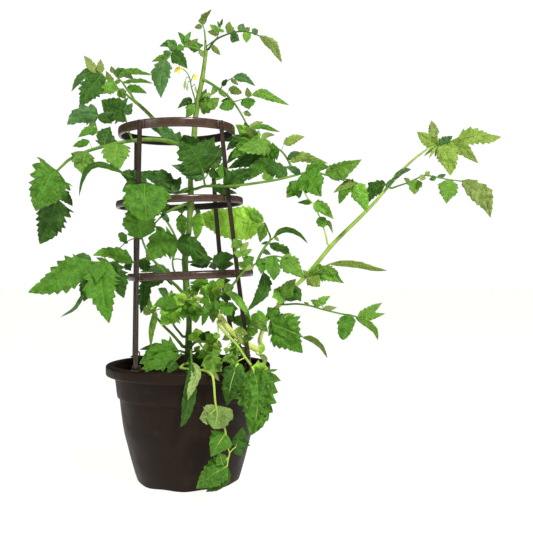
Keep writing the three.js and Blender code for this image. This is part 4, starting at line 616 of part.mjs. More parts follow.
// turned solid about the upright axis; tune(r, z, angle) may move a point
function turned(profile, segments, tune) {
  const g = new THREE.LatheGeometry(profile.map(([r, z]) => new THREE.Vector2(r, z)), segments)
  g.rotateX(Math.PI / 2)
  const a = g.attributes.position
  for (let i = 0; i < a.count; i++) {
    const x = a.getX(i), y = a.getY(i), z = a.getZ(i), r = Math.hypot(x, y)
    if (tune && r > 1e-3) {
      const q = tune(r, z, Math.round(Math.atan2(y, x) * 1e5) / 1e5)
      a.setXYZ(i, x * q[0] / r, y * q[0] / r, q[1])
    } else if (tune) a.setXYZ(i, 0, 0, z)
  }
  return solid(g)
}

// ---- pot ----
const R = POT_RIM_RADIUS, H = POT_HEIGHT, C = POT_COLLAR_Z, B = POT_BASE_RADIUS
add('pot', turned([
  [0, 0], [84, 0], [B, 1], [105.4, 38.6], [118.8, 91], [127.1, C - 0.5], [131.8, C + 1.5], [136.4, H - POT_RIM_BAND - 0.5],
  [R - 1.5, H - POT_RIM_BAND], [R, H - POT_RIM_BAND + 2.5], [R, H - 4], [R - 4, H], [POT_RIM_INNER + 2.5, H], [POT_RIM_INNER - 0.5, H - 4],
  [132.4, 184], [129, C + 2.5], [124.2, C - 1.5], [115.9, 91], [102.5, 38.6], [90.8, POT_FLOOR], [0, POT_FLOOR],
], 32, (r, z, a) => (r > B - 1 && z < 1.5 ? [r, 0.3 + POT_FOOT_ARCH * (0.5 - 0.5 * Math.cos(POT_FOOT_ARCHES * a))] : [r, z])), 0x3c3028, 0.5)

// ---- stems, each seated on the one it grows from ----
const STEM_SIDES = { main_stem: 8, branch_right: 8, shoot_left: 6 }
const stemBar = (name, extra = 0) => bar(STEMS[name], STEM_SIDES[name], extra)
const axisBars = (name, extra = 0) => LEAVES[name].axes.map((rows) => bar(rows, rows[0][3] > 1.35 ? 4 : 3, extra))
const seat = (name) => (STEMS[name] ? stemBar(name, SEAT_GAP) : join(axisBars(name, SEAT_GAP)))

// ---- soil ----
const bump = (x, y) => SOIL_BUMP * (0.5 * Math.sin(x * 0.11 + 1.3) * Math.cos(y * 0.13) + 0.5 * Math.sin(x * 0.21 - y * 0.17 + 2))
const g = SOIL_GAP
const soil = turned([
  [0, POT_FLOOR + g], [90.3, POT_FLOOR + g], [102, 38.8], [115.3, 91], [123.5, C - 1.2], [128.4, C + 2.8], [131.7, SOIL_TOP - 1.5],
  [112, SOIL_TOP], [78, SOIL_TOP], [44, SOIL_TOP], [18, SOIL_TOP], [0, SOIL_TOP],
], 16, (r, z, a) => (z > SOIL_TOP - 2 && r < 131 ? [r, z + bump(r * Math.cos(a), r * Math.sin(a))] : [r, z]))
add('soil', main(soil.subtract(stemBar('main_stem', SEAT_GAP))), 0x2b211b, 0.95)

add('main_stem', stemBar('main_stem'), 0x7d9655)
add('branch_right', main(stemBar('branch_right').subtract(seat('main_stem'))), 0xa0be5a)
add('shoot_left', main(stemBar('shoot_left').subtract(seat('main_stem'))), 0x86a05c)

// ---- cage ----
const ringHeight = (ring, x, y) => ring.z + ring.tiltX * (x - ring.x) + ring.tiltY * (y - ring.y)
function leg(points, extra = 0) {
  const n = points.length - 1
  const shape = new THREE.CylinderGeometry(1, 1, 1, 6, n)
  const a = shape.attributes.position
  const frames = points.map((p, i) => {
    const t = V(points[Math.min(i + 1, n)]).sub(V(points[Math.max(i - 1, 0)])).normalize()
    const out = new THREE.Vector3(p[0], p[1], 0)
    const centre = i === 0 ? null : i === 1 ? RING_LOWER : i === 2 ? RING_MIDDLE : RING_TOP
    if (centre) out.set(p[0] - centre.x, p[1] - centre.y, 0)
    out.addScaledVector(t, -out.dot(t)).normalize()
    return { p: V(p), n: out, s: new THREE.Vector3().crossVectors(t, out) }
  })
  for (let i = 0; i < a.count; i++) {
    const F = frames[Math.round((a.getY(i) + 0.5) * n)]
    const x = a.getX(i), z = a.getZ(i)
    const depth = z > 0.01 ? z * (LEG_OUTER + extra) : z < -0.01 ? -(LEG_INNER + extra) : 0
    const q = F.p.clone().addScaledVector(F.s, x * (LEG_WIDTH / 2 + extra)).addScaledVector(F.n, depth)
    a.setXYZ(i, q.x, q.y, q.z)
  }
  return solid(shape)
}
function beyond(rows, extra) {
  const n = rows.length - 1, d = V(rows[n]).sub(V(rows[n - 1])).normalize().multiplyScalar(extra)
  return [...rows.slice(0, n), rows[n].map((v, i) => v + d.getComponent(i))]
}
function box(size, centre, turn) {
  const b = new THREE.BoxGeometry(size[0], size[1], size[2])
  b.translate(centre[0], centre[1], centre[2])
  b.rotateZ(turn)
  return b
}
// clip that straddles the rim under a leg
function foot(point) {
  const turn = Math.atan2(point[1], point[0])
  const top = H + 0.35, inner = POT_RIM_INNER - 4.3
  const at = (r, y, z) => [r * Math.cos(turn) - y * Math.sin(turn), r * Math.sin(turn) + y * Math.cos(turn), z]
  // a small arch on each side of the leg
  const ear = (side) => bar([[9.3, 1.2], [8.2, 7.2], [5.4, 9.6], [2.6, 8.4]].map(([y, z]) => [...at(144, side * y, top + z), 1.25]), 4)
  return join([
    solid(box([R - 1.4 - inner, FOOT_LENGTH, 2.6], [(R - 1.4 + inner) / 2, 0, top + 1.3], turn)),
    solid(box([2.4, FOOT_LENGTH, FOOT_TAB + 2], [POT_RIM_INNER - 3.1, 0, top + 2.6 - (FOOT_TAB + 2) / 2], turn)),
    ear(1), ear(-1),
  ])
}
const legShapes = {}
for (const [name, points] of Object.entries(LEGS)) {
  const rows = points.map((p) => [...p])
  rows[0][2] = H + 2
  legShapes[name] = rows
  add('cage_leg_' + name, join([leg(rows), foot(points[0])]), 0x64504a, 0.35)
}
for (const [name, ring] of Object.entries({ top: RING_TOP, middle: RING_MIDDLE, lower: RING_LOWER })) {
  const r = ring.radius, h = ring.height / 2, t = RING_THICK
  const band = turned([[r - t, -h], [r - t, h], [r - 1.4, h], [r, h - 1.6], [r, -h + 1.6], [r - 1.4, -h], [r - t, -h]], 28)
  const parts = [band]
  for (const rows of Object.values(legShapes)) {
    const p = rows[name === 'lower' ? 1 : name === 'middle' ? 2 : 3]
    const turn = Math.atan2(p[1] - ring.y, p[0] - ring.x)
    parts.push(solid(box([5.6, LEG_WIDTH + 2 * (CLIP_CHEEK + CLIP_GAP), ring.height - 2.5], [r + 1.3, 0, 0], turn)))
  }
  let shape = join(parts)
  shape = shape.transform([1, 0, ring.tiltX, 0, 0, 1, ring.tiltY, 0, -ring.tiltX, -ring.tiltY, 1, 0, ring.x, ring.y, ring.z, 1])
  for (const rows of Object.values(legShapes)) shape = shape.subtract(leg(beyond(rows, 4), CLIP_GAP))
  add('cage_ring_' + name, main(shape), 0x64504a, 0.35)
}

// ---- leaves ----
for (const [name, leaf] of Object.entries(LEAVES)) {
  const parts = axisBars(name)
  for (const row of leaf.blades) parts.push(blade(row))
  let shape = join(parts)
  for (const from of leaf.seats) shape = shape.subtract(seat(from))
  add(name, main(shape.simplify(MERGE_WITHIN)), 0x4b8c2d)
}

// ---- flowers: five pointed petals round a cone, on a short pedicel ----
for (const [name, f] of Object.entries(FLOWERS)) {
  const axis = V(f.face).normalize(), c = V(f.centre)
  const u = new THREE.Vector3(0, 0, 1).addScaledVector(axis, -axis.z).normalize(), w = new THREE.Vector3().crossVectors(axis, u)
  const parts = []
  const cone = new THREE.CylinderGeometry(0.5, 1.5, 4.4, 6)
  cone.translate(0, 1, 0)
  cone.applyQuaternion(new THREE.Quaternion().setFromUnitVectors(new THREE.Vector3(0, 1, 0), axis))
  cone.translate(c.x, c.y, c.z)
  parts.push(solid(cone))
  for (let i = 0; i < 5; i++) {
    const a = i * Math.PI * 2 / 5 + 0.3
    const d = u.clone().multiplyScalar(Math.cos(a)).addScaledVector(w, Math.sin(a))
    const at = (k, lift) => { const q = c.clone().addScaledVector(d, k * f.radius).addScaledVector(axis, lift); return [q.x, q.y, q.z] }
    parts.push(blade(['lan', f.radius * 0.24, f.radius * 0.24, 6, [at(0.12, 0), at(0.5, -0.4), at(1, -f.radius * 0.3)], [axis.x, axis.y, axis.z], [axis.x, axis.y, axis.z], 0]))
  }
  add(name, main(join(parts).subtract(seat('flower_truss_stalk'))), 0xf0dc3c, 0.6)
}

export default group
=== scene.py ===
# Potted tomato plant with a four-legged, three-ring cage: the looks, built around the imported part.
# Lengths in the tables are millimetres in the part's frame (+Z up, front towards -Y); Blender units are metres.
import math

import bpy
import numpy as np
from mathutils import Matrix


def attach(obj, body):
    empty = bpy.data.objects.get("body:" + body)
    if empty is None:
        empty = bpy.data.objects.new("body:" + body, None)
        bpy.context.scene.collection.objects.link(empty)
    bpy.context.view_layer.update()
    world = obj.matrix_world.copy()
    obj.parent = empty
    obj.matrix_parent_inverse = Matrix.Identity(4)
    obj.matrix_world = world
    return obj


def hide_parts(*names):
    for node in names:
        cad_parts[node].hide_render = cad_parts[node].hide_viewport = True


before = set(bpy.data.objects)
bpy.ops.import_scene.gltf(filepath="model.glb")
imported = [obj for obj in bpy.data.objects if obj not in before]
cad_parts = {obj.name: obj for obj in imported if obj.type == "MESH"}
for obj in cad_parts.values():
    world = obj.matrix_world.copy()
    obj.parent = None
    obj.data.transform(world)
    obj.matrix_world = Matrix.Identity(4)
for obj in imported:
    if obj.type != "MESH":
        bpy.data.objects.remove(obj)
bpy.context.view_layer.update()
MM = 0.001

# ---------------------------------------------------------------- camera
cam_data = bpy.data.cameras.new("camera")
cam = bpy.data.objects.new("camera", cam_data)
bpy.context.scene.collection.objects.link(cam)
cam.location = (0.146, -1.524, 0.406)
cam.rotation_euler = (math.radians(90), 0, 0)
cam_data.sensor_width = 36
cam_data.lens = 813 / 533 * 36
cam_data.shift_y = -4.5 / 533
cam_data.clip_end = 100
bpy.context.scene.camera = cam

# ---------------------------------------------------------------- tables
# stems: rows of [x, y, z, radius]
STEMS = {
    "main_stem": [[0, 0, 173.6, 6.6], [0, 0, 222.3, 6.3], [0.2, 0, 259.8, 5.9], [0.7, 0, 287.9, 5.3], [0.7, 0, 312.3, 5.5], [-2.5, 0, 344.1, 5.7], [-5.7, 0, 381.6, 5.8], [-6.6, 0, 409.7, 5.7], [-4.2, 0, 437.9, 5.5], [0.5, 0, 462.2, 5.1], [2, 0, 488.5, 5.1], [3.9, 0, 511, 5.9], [4.1, 0, 531.6, 5.2], [3.7, 0, 559.7, 5], [6.3, 0, 597.2, 5.1], [9.7, 0, 634.7, 5.2], [12.3, 0, 668.4, 5.2], [15.7, 0, 694.7, 4.9], [19.8, 0, 720.9, 4.6], [25.3, 0, 747.2, 4.3], [28.8, 0, 771.5, 3.9], [31.8, 0, 795.9, 3.4], [31.8, 0, 810.9, 2.4], [31.1, 0, 825.9, 1.8], [29.6, 0, 840.9, 1.4]],
    "branch_right": [[12.6, -7, 338.8, 4.6], [28.9, -25, 334.1, 4.8], [43.1, -44, 326.8, 5.1], [56.7, -58, 314, 5.2], [78.9, -70, 286.2, 5.4], [104.2, -78, 265.5, 5.3], [120.2, -78, 254.8, 5.1], [131.7, -70, 249.5, 4.6], [136.6, -61, 255.7, 4.3], [134.3, -56, 265.2, 4], [141.5, -52, 288.3, 3.7], [149.6, -50, 309.9, 3.6], [167.8, -50, 326.2, 3.3], [177.7, -50, 337.1, 3.2], [189.5, -50, 353.4, 3.2], [208.5, -50, 371.6, 3.5], [229.6, -46, 393.3, 3.9], [261.3, -36, 431.6, 3.9], [292.5, -26, 463.1, 3.6], [332.7, -14, 501.7, 3.2], [357.9, -6, 528.3, 2.9], [374.7, 0, 547.5, 2.8], [411.1, 10, 588.1, 2.2], [448.9, 20, 618.7, 1.8], [464.9, 24, 625.9, 1.5]],
    "shoot_left": [[-49.8, -22, 652.6, 3.5], [-65.6, -8, 673.6, 3.5], [-86.1, 4, 694.5, 3.3], [-103.4, 12, 710.2, 2.9]],
}
# cage legs: foot on the rim, then where each ring holds them, then the end
LEGS = {
    "front_left": [[-79.2, -122.5, 217], [-83.6, -82.6, 378.6], [-78.2, -104.2, 513.5], [-75.1, -105.2, 647.7], [-75, -105.2, 654.2]],
    "front_right": [[116, -90, 217], [94.5, -79.2, 385.2], [78.3, -76, 519.8], [65.1, -78.6, 651.2], [64.5, -78.8, 657.7]],
    "back_right": [[82, 120, 217], [55.2, 108.8, 383.7], [43.5, 105.6, 518.4], [37, 87.1, 648.4], [36.7, 86.1, 654.9]],
    "back_left": [[-116.8, 93.4, 217], [-107.2, 46.1, 377.7], [-111.1, 75.5, 512.2], [-107.8, 61.6, 644.8], [-107.6, 60.9, 651.3]],
}
# leaves: stalks [x, y, z, radius], then blades (outline, tone, left and right half width, fold in degrees, midrib points, upper normal at its ends, where the stalk starts)
LEAVES = {
    "leaf_apex": {"axes": [
        [[29.6, 0, 840.9, 1.2], [28.8, 0, 842.8, 1], [27, -1, 850, 0.9], [26.2, -2, 853.4, 0.7]],
    ], "blades": [
        ("ov", "o", 6.4, 10.5, 12, [[27.1, -1.2, 850.8], [31.3, -7.2, 863.1], [43.8, -13.2, 875.2]], [0.59, -0.66, -0.47], [0.37, -0.6, -0.71], [26.9, -1.6, 850.7]),
        ("sm", "p", 4.7, 4.7, 12, [[26.1, -0.8, 848.2], [18.3, 3.2, 847.9], [10.4, 7.2, 847.7]], [-0.42, -0.84, -0.34], [-0.42, -0.84, -0.34], [27.4, -0.8, 848.7]),
    ]},
    "leaf_apex_right": {"axes": [
        [[31.9, 0, 809.7, 1.2], [34.4, -4, 809.8, 1.1], [44.3, -7, 816.5, 1], [53.8, -9, 824.3, 0.9], [59.5, -12, 841.2, 0.8], [61.4, -13, 848.3, 0.7]],
    ], "blades": [
        ("nar", "d", 2.4, 2.4, 12, [[60.5, -12.5, 844.8], [62.5, -15, 851], [64.5, -17.5, 857.2]], [0.02, -0.93, -0.38], [0.02, -0.92, -0.38], None),
        ("nar", "o", 2.4, 2.4, 12, [[59.5, -12, 841.2], [57, -7.8, 848.9], [54.5, -5.2, 856.2]], [-0.19, -0.88, 0.43], [-0.14, -0.95, 0.27], [59.2, -11.8, 841.3]),
        ("ov", "f", 5.6, 5.6, 12, [[57.6, -10.9, 835.9], [48.6, -9, 842.5], [39.6, -5.7, 849.5]], [-0.23, -0.97, -0.08], [-0.35, -0.94, 0.01], [58.2, -11.2, 836.6]),
        ("ov", "o", 6, 6, 12, [[56.6, -10.5, 832.3], [46.7, -15.5, 832.3], [36.9, -20.5, 832.3]], [0.43, -0.85, -0.29], [0.43, -0.85, -0.29], [57.1, -10.6, 832.8]),
        ("sm", "f", 3.2, 3.2, 12, [[58.5, -11.2, 837.7], [63.4, -14.2, 835.4], [68.2, -17.2, 833.2]], [-0.55, -0.83, -0.06], [-0.55, -0.83, -0.06], [58.7, -11.5, 838.3]),
    ]},
    "leaf_top_right": {"axes": [
        [[32.1, 0, 804, 2.3], [37.6, -4, 804.2, 2.2], [44.6, -12, 811.4, 2], [52.6, -20, 817.6, 1.9], [66.2, -32, 820.8, 1.7], [79.6, -44, 822, 1.5], [98.1, -55, 822.5, 1.4], [120, -66, 816.7, 1.2], [133.5, -72, 809.6, 1.1]],
    ], "blades": [
        ("ov", "b", 10.6, 10.6, 20, [[81.4, -45.4, 820.7], [89.5, -54.4, 812.3], [97.5, -63.4, 803.9]], [-0.75, -0.66, -0.02], [-0.76, -0.65, -0.02], [81.2, -45.1, 822.1]),
        ("ov", "o", 7.3, 7.3, 12, [[83.3, -46.8, 822.1], [77.6, -40.8, 834.7], [78.2, -34.8, 846.5]], [-0.27, -0.92, 0.29], [0.16, -0.89, 0.43], None),
        ("ov", "b", 7.3, 7.3, 12, [[98.1, -55, 822.5], [101, -47, 832], [104, -39, 841.6]], [0.35, -0.77, 0.54], [0.35, -0.77, 0.53], None),
        ("ov", "l", 7.6, 7.6, 12, [[110.9, -61.9, 819.6], [110.6, -67.9, 808.1], [110.3, -73.9, 796.6]], [0.05, -0.89, 0.46], [0.05, -0.89, 0.46], [111, -61.5, 819.1]),
        ("sm", "b", 6.3, 6.3, 12, [[120, -66, 816.7], [125.3, -60, 821.1], [130.6, -54, 825.5]], [0.69, -0.71, 0.14], [0.69, -0.71, 0.14], None),
        ("sm", "o", 4.5, 4.5, 12, [[107.3, -59.1, 821.3], [111.6, -52.1, 826.9], [116, -45.1, 832.6]], [0.66, -0.67, 0.33], [0.66, -0.68, 0.32], [106.8, -59.4, 820.2]),
        ("lan", "p", 9.7, 9.7, 12, [[133.5, -72, 809.6], [152.2, -79.3, 795.2], [164.6, -86.7, 777.3], [173.3, -94, 756.9]], [-0.6, -0.63, -0.49], [-0.71, -0.7, -0.04], None),
        ("lan", "o", 5.1, 5.1, 12, [[42.6, -10, 810.1], [51.9, -17, 799], [61.1, -24, 787.9]], [-0.39, -0.89, 0.24], [-0.39, -0.89, 0.24], [43.3, -10.1, 809.3]),
    ]},
    "leaf_top_left": {"axes": [
        [[32, 0, 798.9, 2.6], [27.2, -3, 798.9, 2.3], [16.9, -14, 801.6, 2.1], [1.2, -24, 803.6, 1.9], [-16.2, -34, 798.2, 1.6], [-28.1, -42, 785.2, 1.4], [-35.8, -46, 775, 1.2]],
    ], "blades": [
        ("ov", "p", 4.6, 4.6, 12, [[22, -8.5, 800.3], [25.6, -12.5, 792.7], [29.2, -16.5, 785.2]], [-0.23, -0.9, 0.37], [-0.23, -0.9, 0.37], None),
        ("ov", "l", 7.4, 7.4, 12, [[20.4, -11.2, 801.4], [8.4, -12.7, 805.7], [-2.8, -21, 808.1]], [-0.03, -0.98, -0.21], [0.54, -0.75, -0.38], None),
        ("ov", "o", 5.6, 5.6, 12, [[4.6, -21.5, 805.2], [10.6, -5.1, 816.5], [17.7, -1, 824.7]], [0.7, -0.54, 0.47], [0.34, -0.94, -0.01], [4.5, -22, 803.7]),
        ("ov", "m", 4.7, 4.7, 12, [[8.2, -20.2, 805.5], [2.6, 0.1, 818], [-1.5, 3.7, 826]], [-0.42, -0.53, 0.73], [-0.12, -0.98, 0.14], [7.8, -20, 803.4]),
        ("ov", "m", 5.6, 5.6, 12, [[-2.3, -26.5, 803.9], [-8.8, -17.1, 821.2], [-18.7, -10.8, 834.5]], [-0.14, -0.89, 0.44], [-0.3, -0.94, 0.19], [-2.2, -25.9, 802.6]),
        ("lan", "m", 4.6, 4.6, 12, [[-5, -26.5, 811.2], [0.5, -21.9, 822.2], [5.8, -14.2, 834.1]], [0.35, -0.92, 0.17], [0.44, -0.82, 0.36], [-4.1, -27.1, 802.8]),
        ("ov", "b", 6.5, 6.5, 12, [[9.9, -19, 804], [18.3, -2.5, 810.2], [27.6, 4.4, 813.9]], [0.9, -0.44, 0.05], [0.55, -0.83, -0.13], [9.5, -18.7, 802.5]),
        ("ov", "m", 6.4, 6.4, 12, [[-7.5, -29, 802.3], [-12.9, -39.3, 795.9], [-15, -45.4, 787.9]], [0.81, -0.55, 0.22], [0.32, -0.81, 0.49], [-7.2, -28.8, 801]),
        ("ov", "b", 7.4, 7.4, 12, [[-18, -34, 801], [-33.2, -29.5, 807.6], [-51.2, -25.6, 803.5]], [-0.32, -0.95, -0.05], [-0.1, -0.94, -0.33], [-16.2, -34, 798.2]),
        ("sm", "b", 4.6, 4.6, 12, [[-19.9, -34, 802.8], [-22.3, -40.9, 797.3], [-25.2, -43.7, 792.9]], [0.64, -0.58, 0.5], [0.44, -0.88, 0.16], [-16.2, -34, 798.2]),
        ("ov", "l", 5.9, 5.9, 12, [[-29.8, -43, 783.1], [-46.8, -38, 778.9], [-64.9, -33, 773.3]], [-0.19, -0.92, -0.33], [-0.15, -0.93, -0.34], [-29.5, -42.2, 782.4]),
        ("sm", "b", 4.5, 4.5, 12, [[-28.1, -42, 785.2], [-34.9, -46, 786.4], [-41.6, -50, 787.6]], [0.44, -0.84, -0.32], [0.44, -0.84, -0.32], [-27.8, -41.1, 784.5]),
        ("ov", "d", 12.2, 12.2, 10, [[-27.2, -42, 785.2], [-11.6, -51, 773.8], [3.7, -60, 754.4]], [-0.46, -0.89, 0.08], [-0.26, -0.94, 0.22], [-27.5, -40.9, 784.9]),
        ("ov", "b", 16.5, 16.5, 12, [[-38.5, -46, 773.2], [-45.1, -54, 740.5], [-43.7, -62, 700.9]], [0.07, -0.97, 0.23], [-0.06, -0.98, 0.19], [-35.8, -46, 775]),
        ("sm", "l", 4.6, 4.6, 12, [[-24.7, -40, 789.3], [-29.6, -36.9, 800.6], [-34.5, -34.3, 811.9]], [-0.1, -0.97, 0.23], [-0.08, -0.98, 0.19], [-24.4, -39, 788.5]),
    ]},
    "leaf_upper_right": {"axes": [
        [[25.3, 0, 747.2, 3.2], [31, -4, 745.3, 2.9], [45.3, 6, 739.1, 2.6], [67.2, 20, 726, 2.4], [83.9, 30, 709.9, 2.1], [95.2, 36, 693.8, 1.8], [104.6, 40, 677.2, 1.6], [113.3, 42, 661.2, 1.3]],
        [[58, 15, 731.6, 1.3], [63.4, 20, 742.1, 1.1], [72.6, 26, 752, 1], [83.8, 32, 760.1, 0.8]],
        [[82, 29, 711.6, 1.3], [95.2, 36, 716.8, 1.1], [108.4, 42, 721.9, 1], [118, 46, 728.5, 0.8]],
    ], "blades": [
        ("ov", "b", 7.7, 7.7, 12, [[83.8, 32, 760.1], [102.7, 39, 759.7], [124.8, 46, 745.9]], [0.36, -0.91, -0.21], [0.11, -0.95, -0.28], None),
        ("sm", "p", 3.8, 3.8, 12, [[78.2, 29, 755.6], [85.5, 25, 749], [92.8, 21, 742.4]], [-0.38, -0.92, 0.13], [-0.38, -0.91, 0.13], [78.1, 29, 756.2]),
        ("sm", "d", 4.3, 4.3, 12, [[61.6, 18.8, 740], [66.5, 14.8, 745.7], [71.4, 10.8, 751.5]], [-0.15, -0.87, -0.47], [-0.16, -0.87, -0.47], [62.3, 18.7, 739.7]),
        ("ov", "l", 4.7, 4.7, 12, [[56.2, 13, 732.1], [63.1, 8, 723.5], [69.9, 3, 715]], [-0.34, -0.91, 0.26], [-0.34, -0.9, 0.26], None),
        ("ov", "l", 5.6, 5.6, 12, [[50.7, 9.5, 736.1], [47.3, 4.5, 727.5], [43.9, -0.5, 718.9]], [0.33, -0.87, 0.37], [0.33, -0.87, 0.37], [50.5, 8.9, 734.9]),
        ("sm", "o", 7.6, 7.6, 12, [[74.7, 22.5, 736], [86.8, 29.5, 733.2], [99, 36.5, 730.4]], [0.42, -0.85, -0.31], [0.42, -0.85, -0.31], [70.9, 22.3, 723]),
        ("sm", "m", 9.5, 9.5, 12, [[83.8, 30.8, 708.2], [69.9, 22.8, 703.3], [56.1, 14.8, 698.4]], [0.51, -0.86, -0.06], [0.52, -0.86, -0.05], [85.2, 30.8, 708.3]),
        ("sm", "o", 3.8, 3.8, 12, [[76.4, 26.2, 716.8], [67.6, 31.2, 715.4], [58.7, 36.2, 714]], [-0.43, -0.85, -0.3], [-0.43, -0.85, -0.3], [77.8, 26.5, 716.5]),
        ("ov", "m", 13.4, 13.4, 12, [[108.4, 42, 721.9], [110.5, 35, 709.5], [112.6, 28, 697.1]], [-0.09, -0.87, 0.48], [-0.09, -0.87, 0.48], None),
        ("ov", "o", 5.8, 5.8, 12, [[112.3, 43.5, 724.1], [110.2, 48.5, 734.3], [108.2, 53.5, 744.6]], [-0.11, -0.9, 0.42], [-0.11, -0.9, 0.42], None),
        ("lan", "l", 8.3, 8.3, 12, [[118, 46, 728.5], [137.3, 52, 732.6], [162.5, 58, 723.2], [189.9, 64, 712.7]], [0.33, -0.93, -0.12], [0.11, -0.96, -0.25], None),
        ("sm", "p", 4.8, 4.8, 12, [[102.8, 37, 694], [110.1, 34, 690.1], [117.3, 31, 686.2]], [-0.37, -0.93, 0.02], [-0.38, -0.93, 0.02], [97.2, 37, 690.5]),
        ("lan", "p", 5.3, 5.3, 12, [[112.3, 41.8, 664.1], [125.7, 47.8, 672.8], [140.2, 53.8, 677.7]], [0.37, -0.93, 0.06], [0.4, -0.92, -0.07], None),
        ("lan", "m", 4.8, 4.8, 12, [[113.3, 42, 662.2], [137.3, 49.3, 668.2], [154.7, 56.7, 664.6], [172.4, 64, 659.9]], [0.31, -0.95, -0.09], [0.31, -0.91, -0.26], [113.3, 42, 661.2]),
        ("sm", "d", 3.8, 3.8, 12, [[113.3, 42, 661.2], [108.1, 36.6, 667.1], [102.9, 32.9, 673.2]], [0.31, -0.81, -0.5], [0.19, -0.91, -0.36], None),
    ]},
    "leaf_ring_stem": {"axes": [
        [[17.7, 0, 707.8, 1.9], [20.8, -5, 706.8, 1.6], [26, -12, 709.1, 1.4], [32.1, -18, 711.6, 1.2]],
    ], "blades": [
        ("ov", "l", 19.4, 10.2, 12, [[23.8, -7.6, 706.3], [41.5, -20.6, 700.9], [59.4, -25.6, 708.3]], [-0.62, -0.79, 0.02], [-0.08, -0.96, -0.27], [22.7, -7.7, 707.5]),
        ("ov", "d", 4.7, 4.7, 12, [[26, -12, 709.1], [29.9, -7.3, 719.9], [33.8, -3.5, 730.5]], [0.28, -0.91, 0.31], [0.25, -0.94, 0.23], [26.5, -11.6, 709.3]),
        ("ov", "p", 5.6, 5.6, 12, [[28.1, -14.2, 710.5], [37.1, -10, 716.1], [46, -4.8, 721.8]], [0.42, -0.91, -0.01], [0.49, -0.87, 0.04], [28.6, -14, 710.1]),
    ]},
    "leaf_ring_stem_left": {"axes": [
        [[13.1, -6, 702.9, 1.8], [8.6, -4, 701.4, 1.6], [3.5, -10, 702.1, 1.4], [0.2, -14, 703.2, 1.2]],
    ], "blades": [
        ("ov", "d", 7.5, 7.5, 12, [[6.9, -6.2, 702.8], [-3.9, -9.7, 705], [-18.9, -17.7, 690.4]], [0.17, -0.96, -0.23], [0.4, -0.91, 0.1], [6.5, -5.9, 701.5]),
        ("ov", "l", 8.4, 8.4, 12, [[5.2, -7.8, 700.7], [3.3, -7.1, 687.7], [-4.8, -1.4, 675.7]], [0.11, -0.99, -0.01], [-0.08, -0.9, -0.42], [5.5, -7.4, 701.7]),
    ]},
    "flower_truss_stalk": {"axes": [
        [[16.7, 0, 701.2, 1.4], [13.1, -6, 702.9, 1.3], [11.8, -13, 712.7, 1.3], [7.4, -20, 727.9, 1.2], [4.7, -24, 743.6, 1.1], [0.6, -26, 753.1, 1], [-5.5, -31, 759, 1], [-10.6, -34.5, 761.1, 0.9], [-14.8, -36.3, 758.3, 0.8]],
        [[6.1, -23, 738.3, 0.8], [11.4, -25, 750.8, 0.7], [15.3, -25.6, 748.8, 0.6]],
        [[5.8, -24, 743.6, 0.7], [-0.6, -25, 747.1, 0.6], [-3.2, -26, 740.4, 0.6]],
        [[6.5, -22, 736.7, 0.7], [2.2, -25, 739.7, 0.6], [0.5, -27, 731.9, 0.6]],
        [[7.8, -20, 729.7, 0.7], [13.1, -23, 734.6, 0.6], [14.7, -25, 728.7, 0.6]],
    ], "blades": [
        ("bud", "u", 2.4, 2.4, 12, [[-3.3, -25.9, 741.4], [-4.4, -26.5, 732.5], [-5.5, -27.9, 723.4]], [0.13, -0.99, 0.04], [0.15, -0.98, 0.14], [-2.9, -25.9, 741.2]),
        ("bud", "u", 2, 2, 12, [[0.5, -26.8, 732.9], [0.3, -29.1, 726.4], [0, -30.4, 720.1]], [0.13, -0.93, 0.35], [0.13, -0.97, 0.19], None),
        ("bud", "u", 2.2, 2.2, 12, [[14.7, -24.8, 729.6], [15.9, -26.2, 722.9], [17.2, -27.8, 716.1]], [0.01, -0.98, 0.22], [0.01, -0.98, 0.22], None),
    ]},
    "leaf_shoot_a": {"axes": [
        [[-103.4, 12, 710.2, 2.6], [-111.9, 15.5, 716.6, 2.3], [-120.5, 18, 724.6, 2.1], [-138.3, 22, 737.8, 1.8], [-156.4, 27, 753.2, 1.5], [-169.4, 30, 765.4, 1.3]],
    ], "blades": [
        ("ov", "p", 8.2, 8.2, 12, [[-179.9, 30, 768.2], [-192.9, 37, 786.2], [-206, 44, 804.3]], [-0.15, -0.95, 0.27], [-0.14, -0.95, 0.26], [-169.4, 30, 765.4]),
        ("ov", "p", 7.1, 7.1, 12, [[-171.3, 30, 767.3], [-170.3, 25, 779.4], [-169.3, 20, 791.5]], [0.18, -0.9, -0.39], [0.18, -0.9, -0.39], [-169.4, 30, 765.4]),
        ("lob", "d", 21, 21, 12, [[-168.4, 29.6, 764.3], [-186.7, 4.1, 729.3], [-201.3, -6.1, 695.4]], [0.43, -0.81, 0.4], [0.19, -0.97, 0.16], None),
        ("lan", "b", 10.9, 10.9, 12, [[-174.2, 30, 768.2], [-196.4, 35.3, 768.5], [-216.8, 40.7, 756.3], [-230.6, 46, 735.3]], [-0.16, -0.83, 0.54], [-0.49, -0.87, 0.08], [-169.4, 30, 765.4]),
        ("lob", "l", 12.3, 12.3, 12, [[-136.3, 21.5, 736.8], [-154.8, 19, 736.2], [-171.7, 13.7, 723.7]], [0.1, -0.97, -0.2], [0.37, -0.93, -0.07], [-135.9, 20.9, 737.4]),
        ("ov", "l", 8.6, 8.6, 12, [[-134.3, 21, 734.8], [-129.4, 28, 726.7], [-124.4, 35, 718.6]], [0.35, -0.8, -0.48], [0.35, -0.81, -0.48], [-133.8, 20.3, 735.6]),
        ("ov", "o", 5.8, 5.8, 12, [[-148.4, 25.1, 747.1], [-156, 34.9, 760.7], [-162.7, 39.9, 773.4]], [-0.19, -0.83, 0.52], [-0.07, -0.95, 0.3], [-149.5, 25.1, 747.2]),
    ]},
    "leaf_shoot_b": {"axes": [
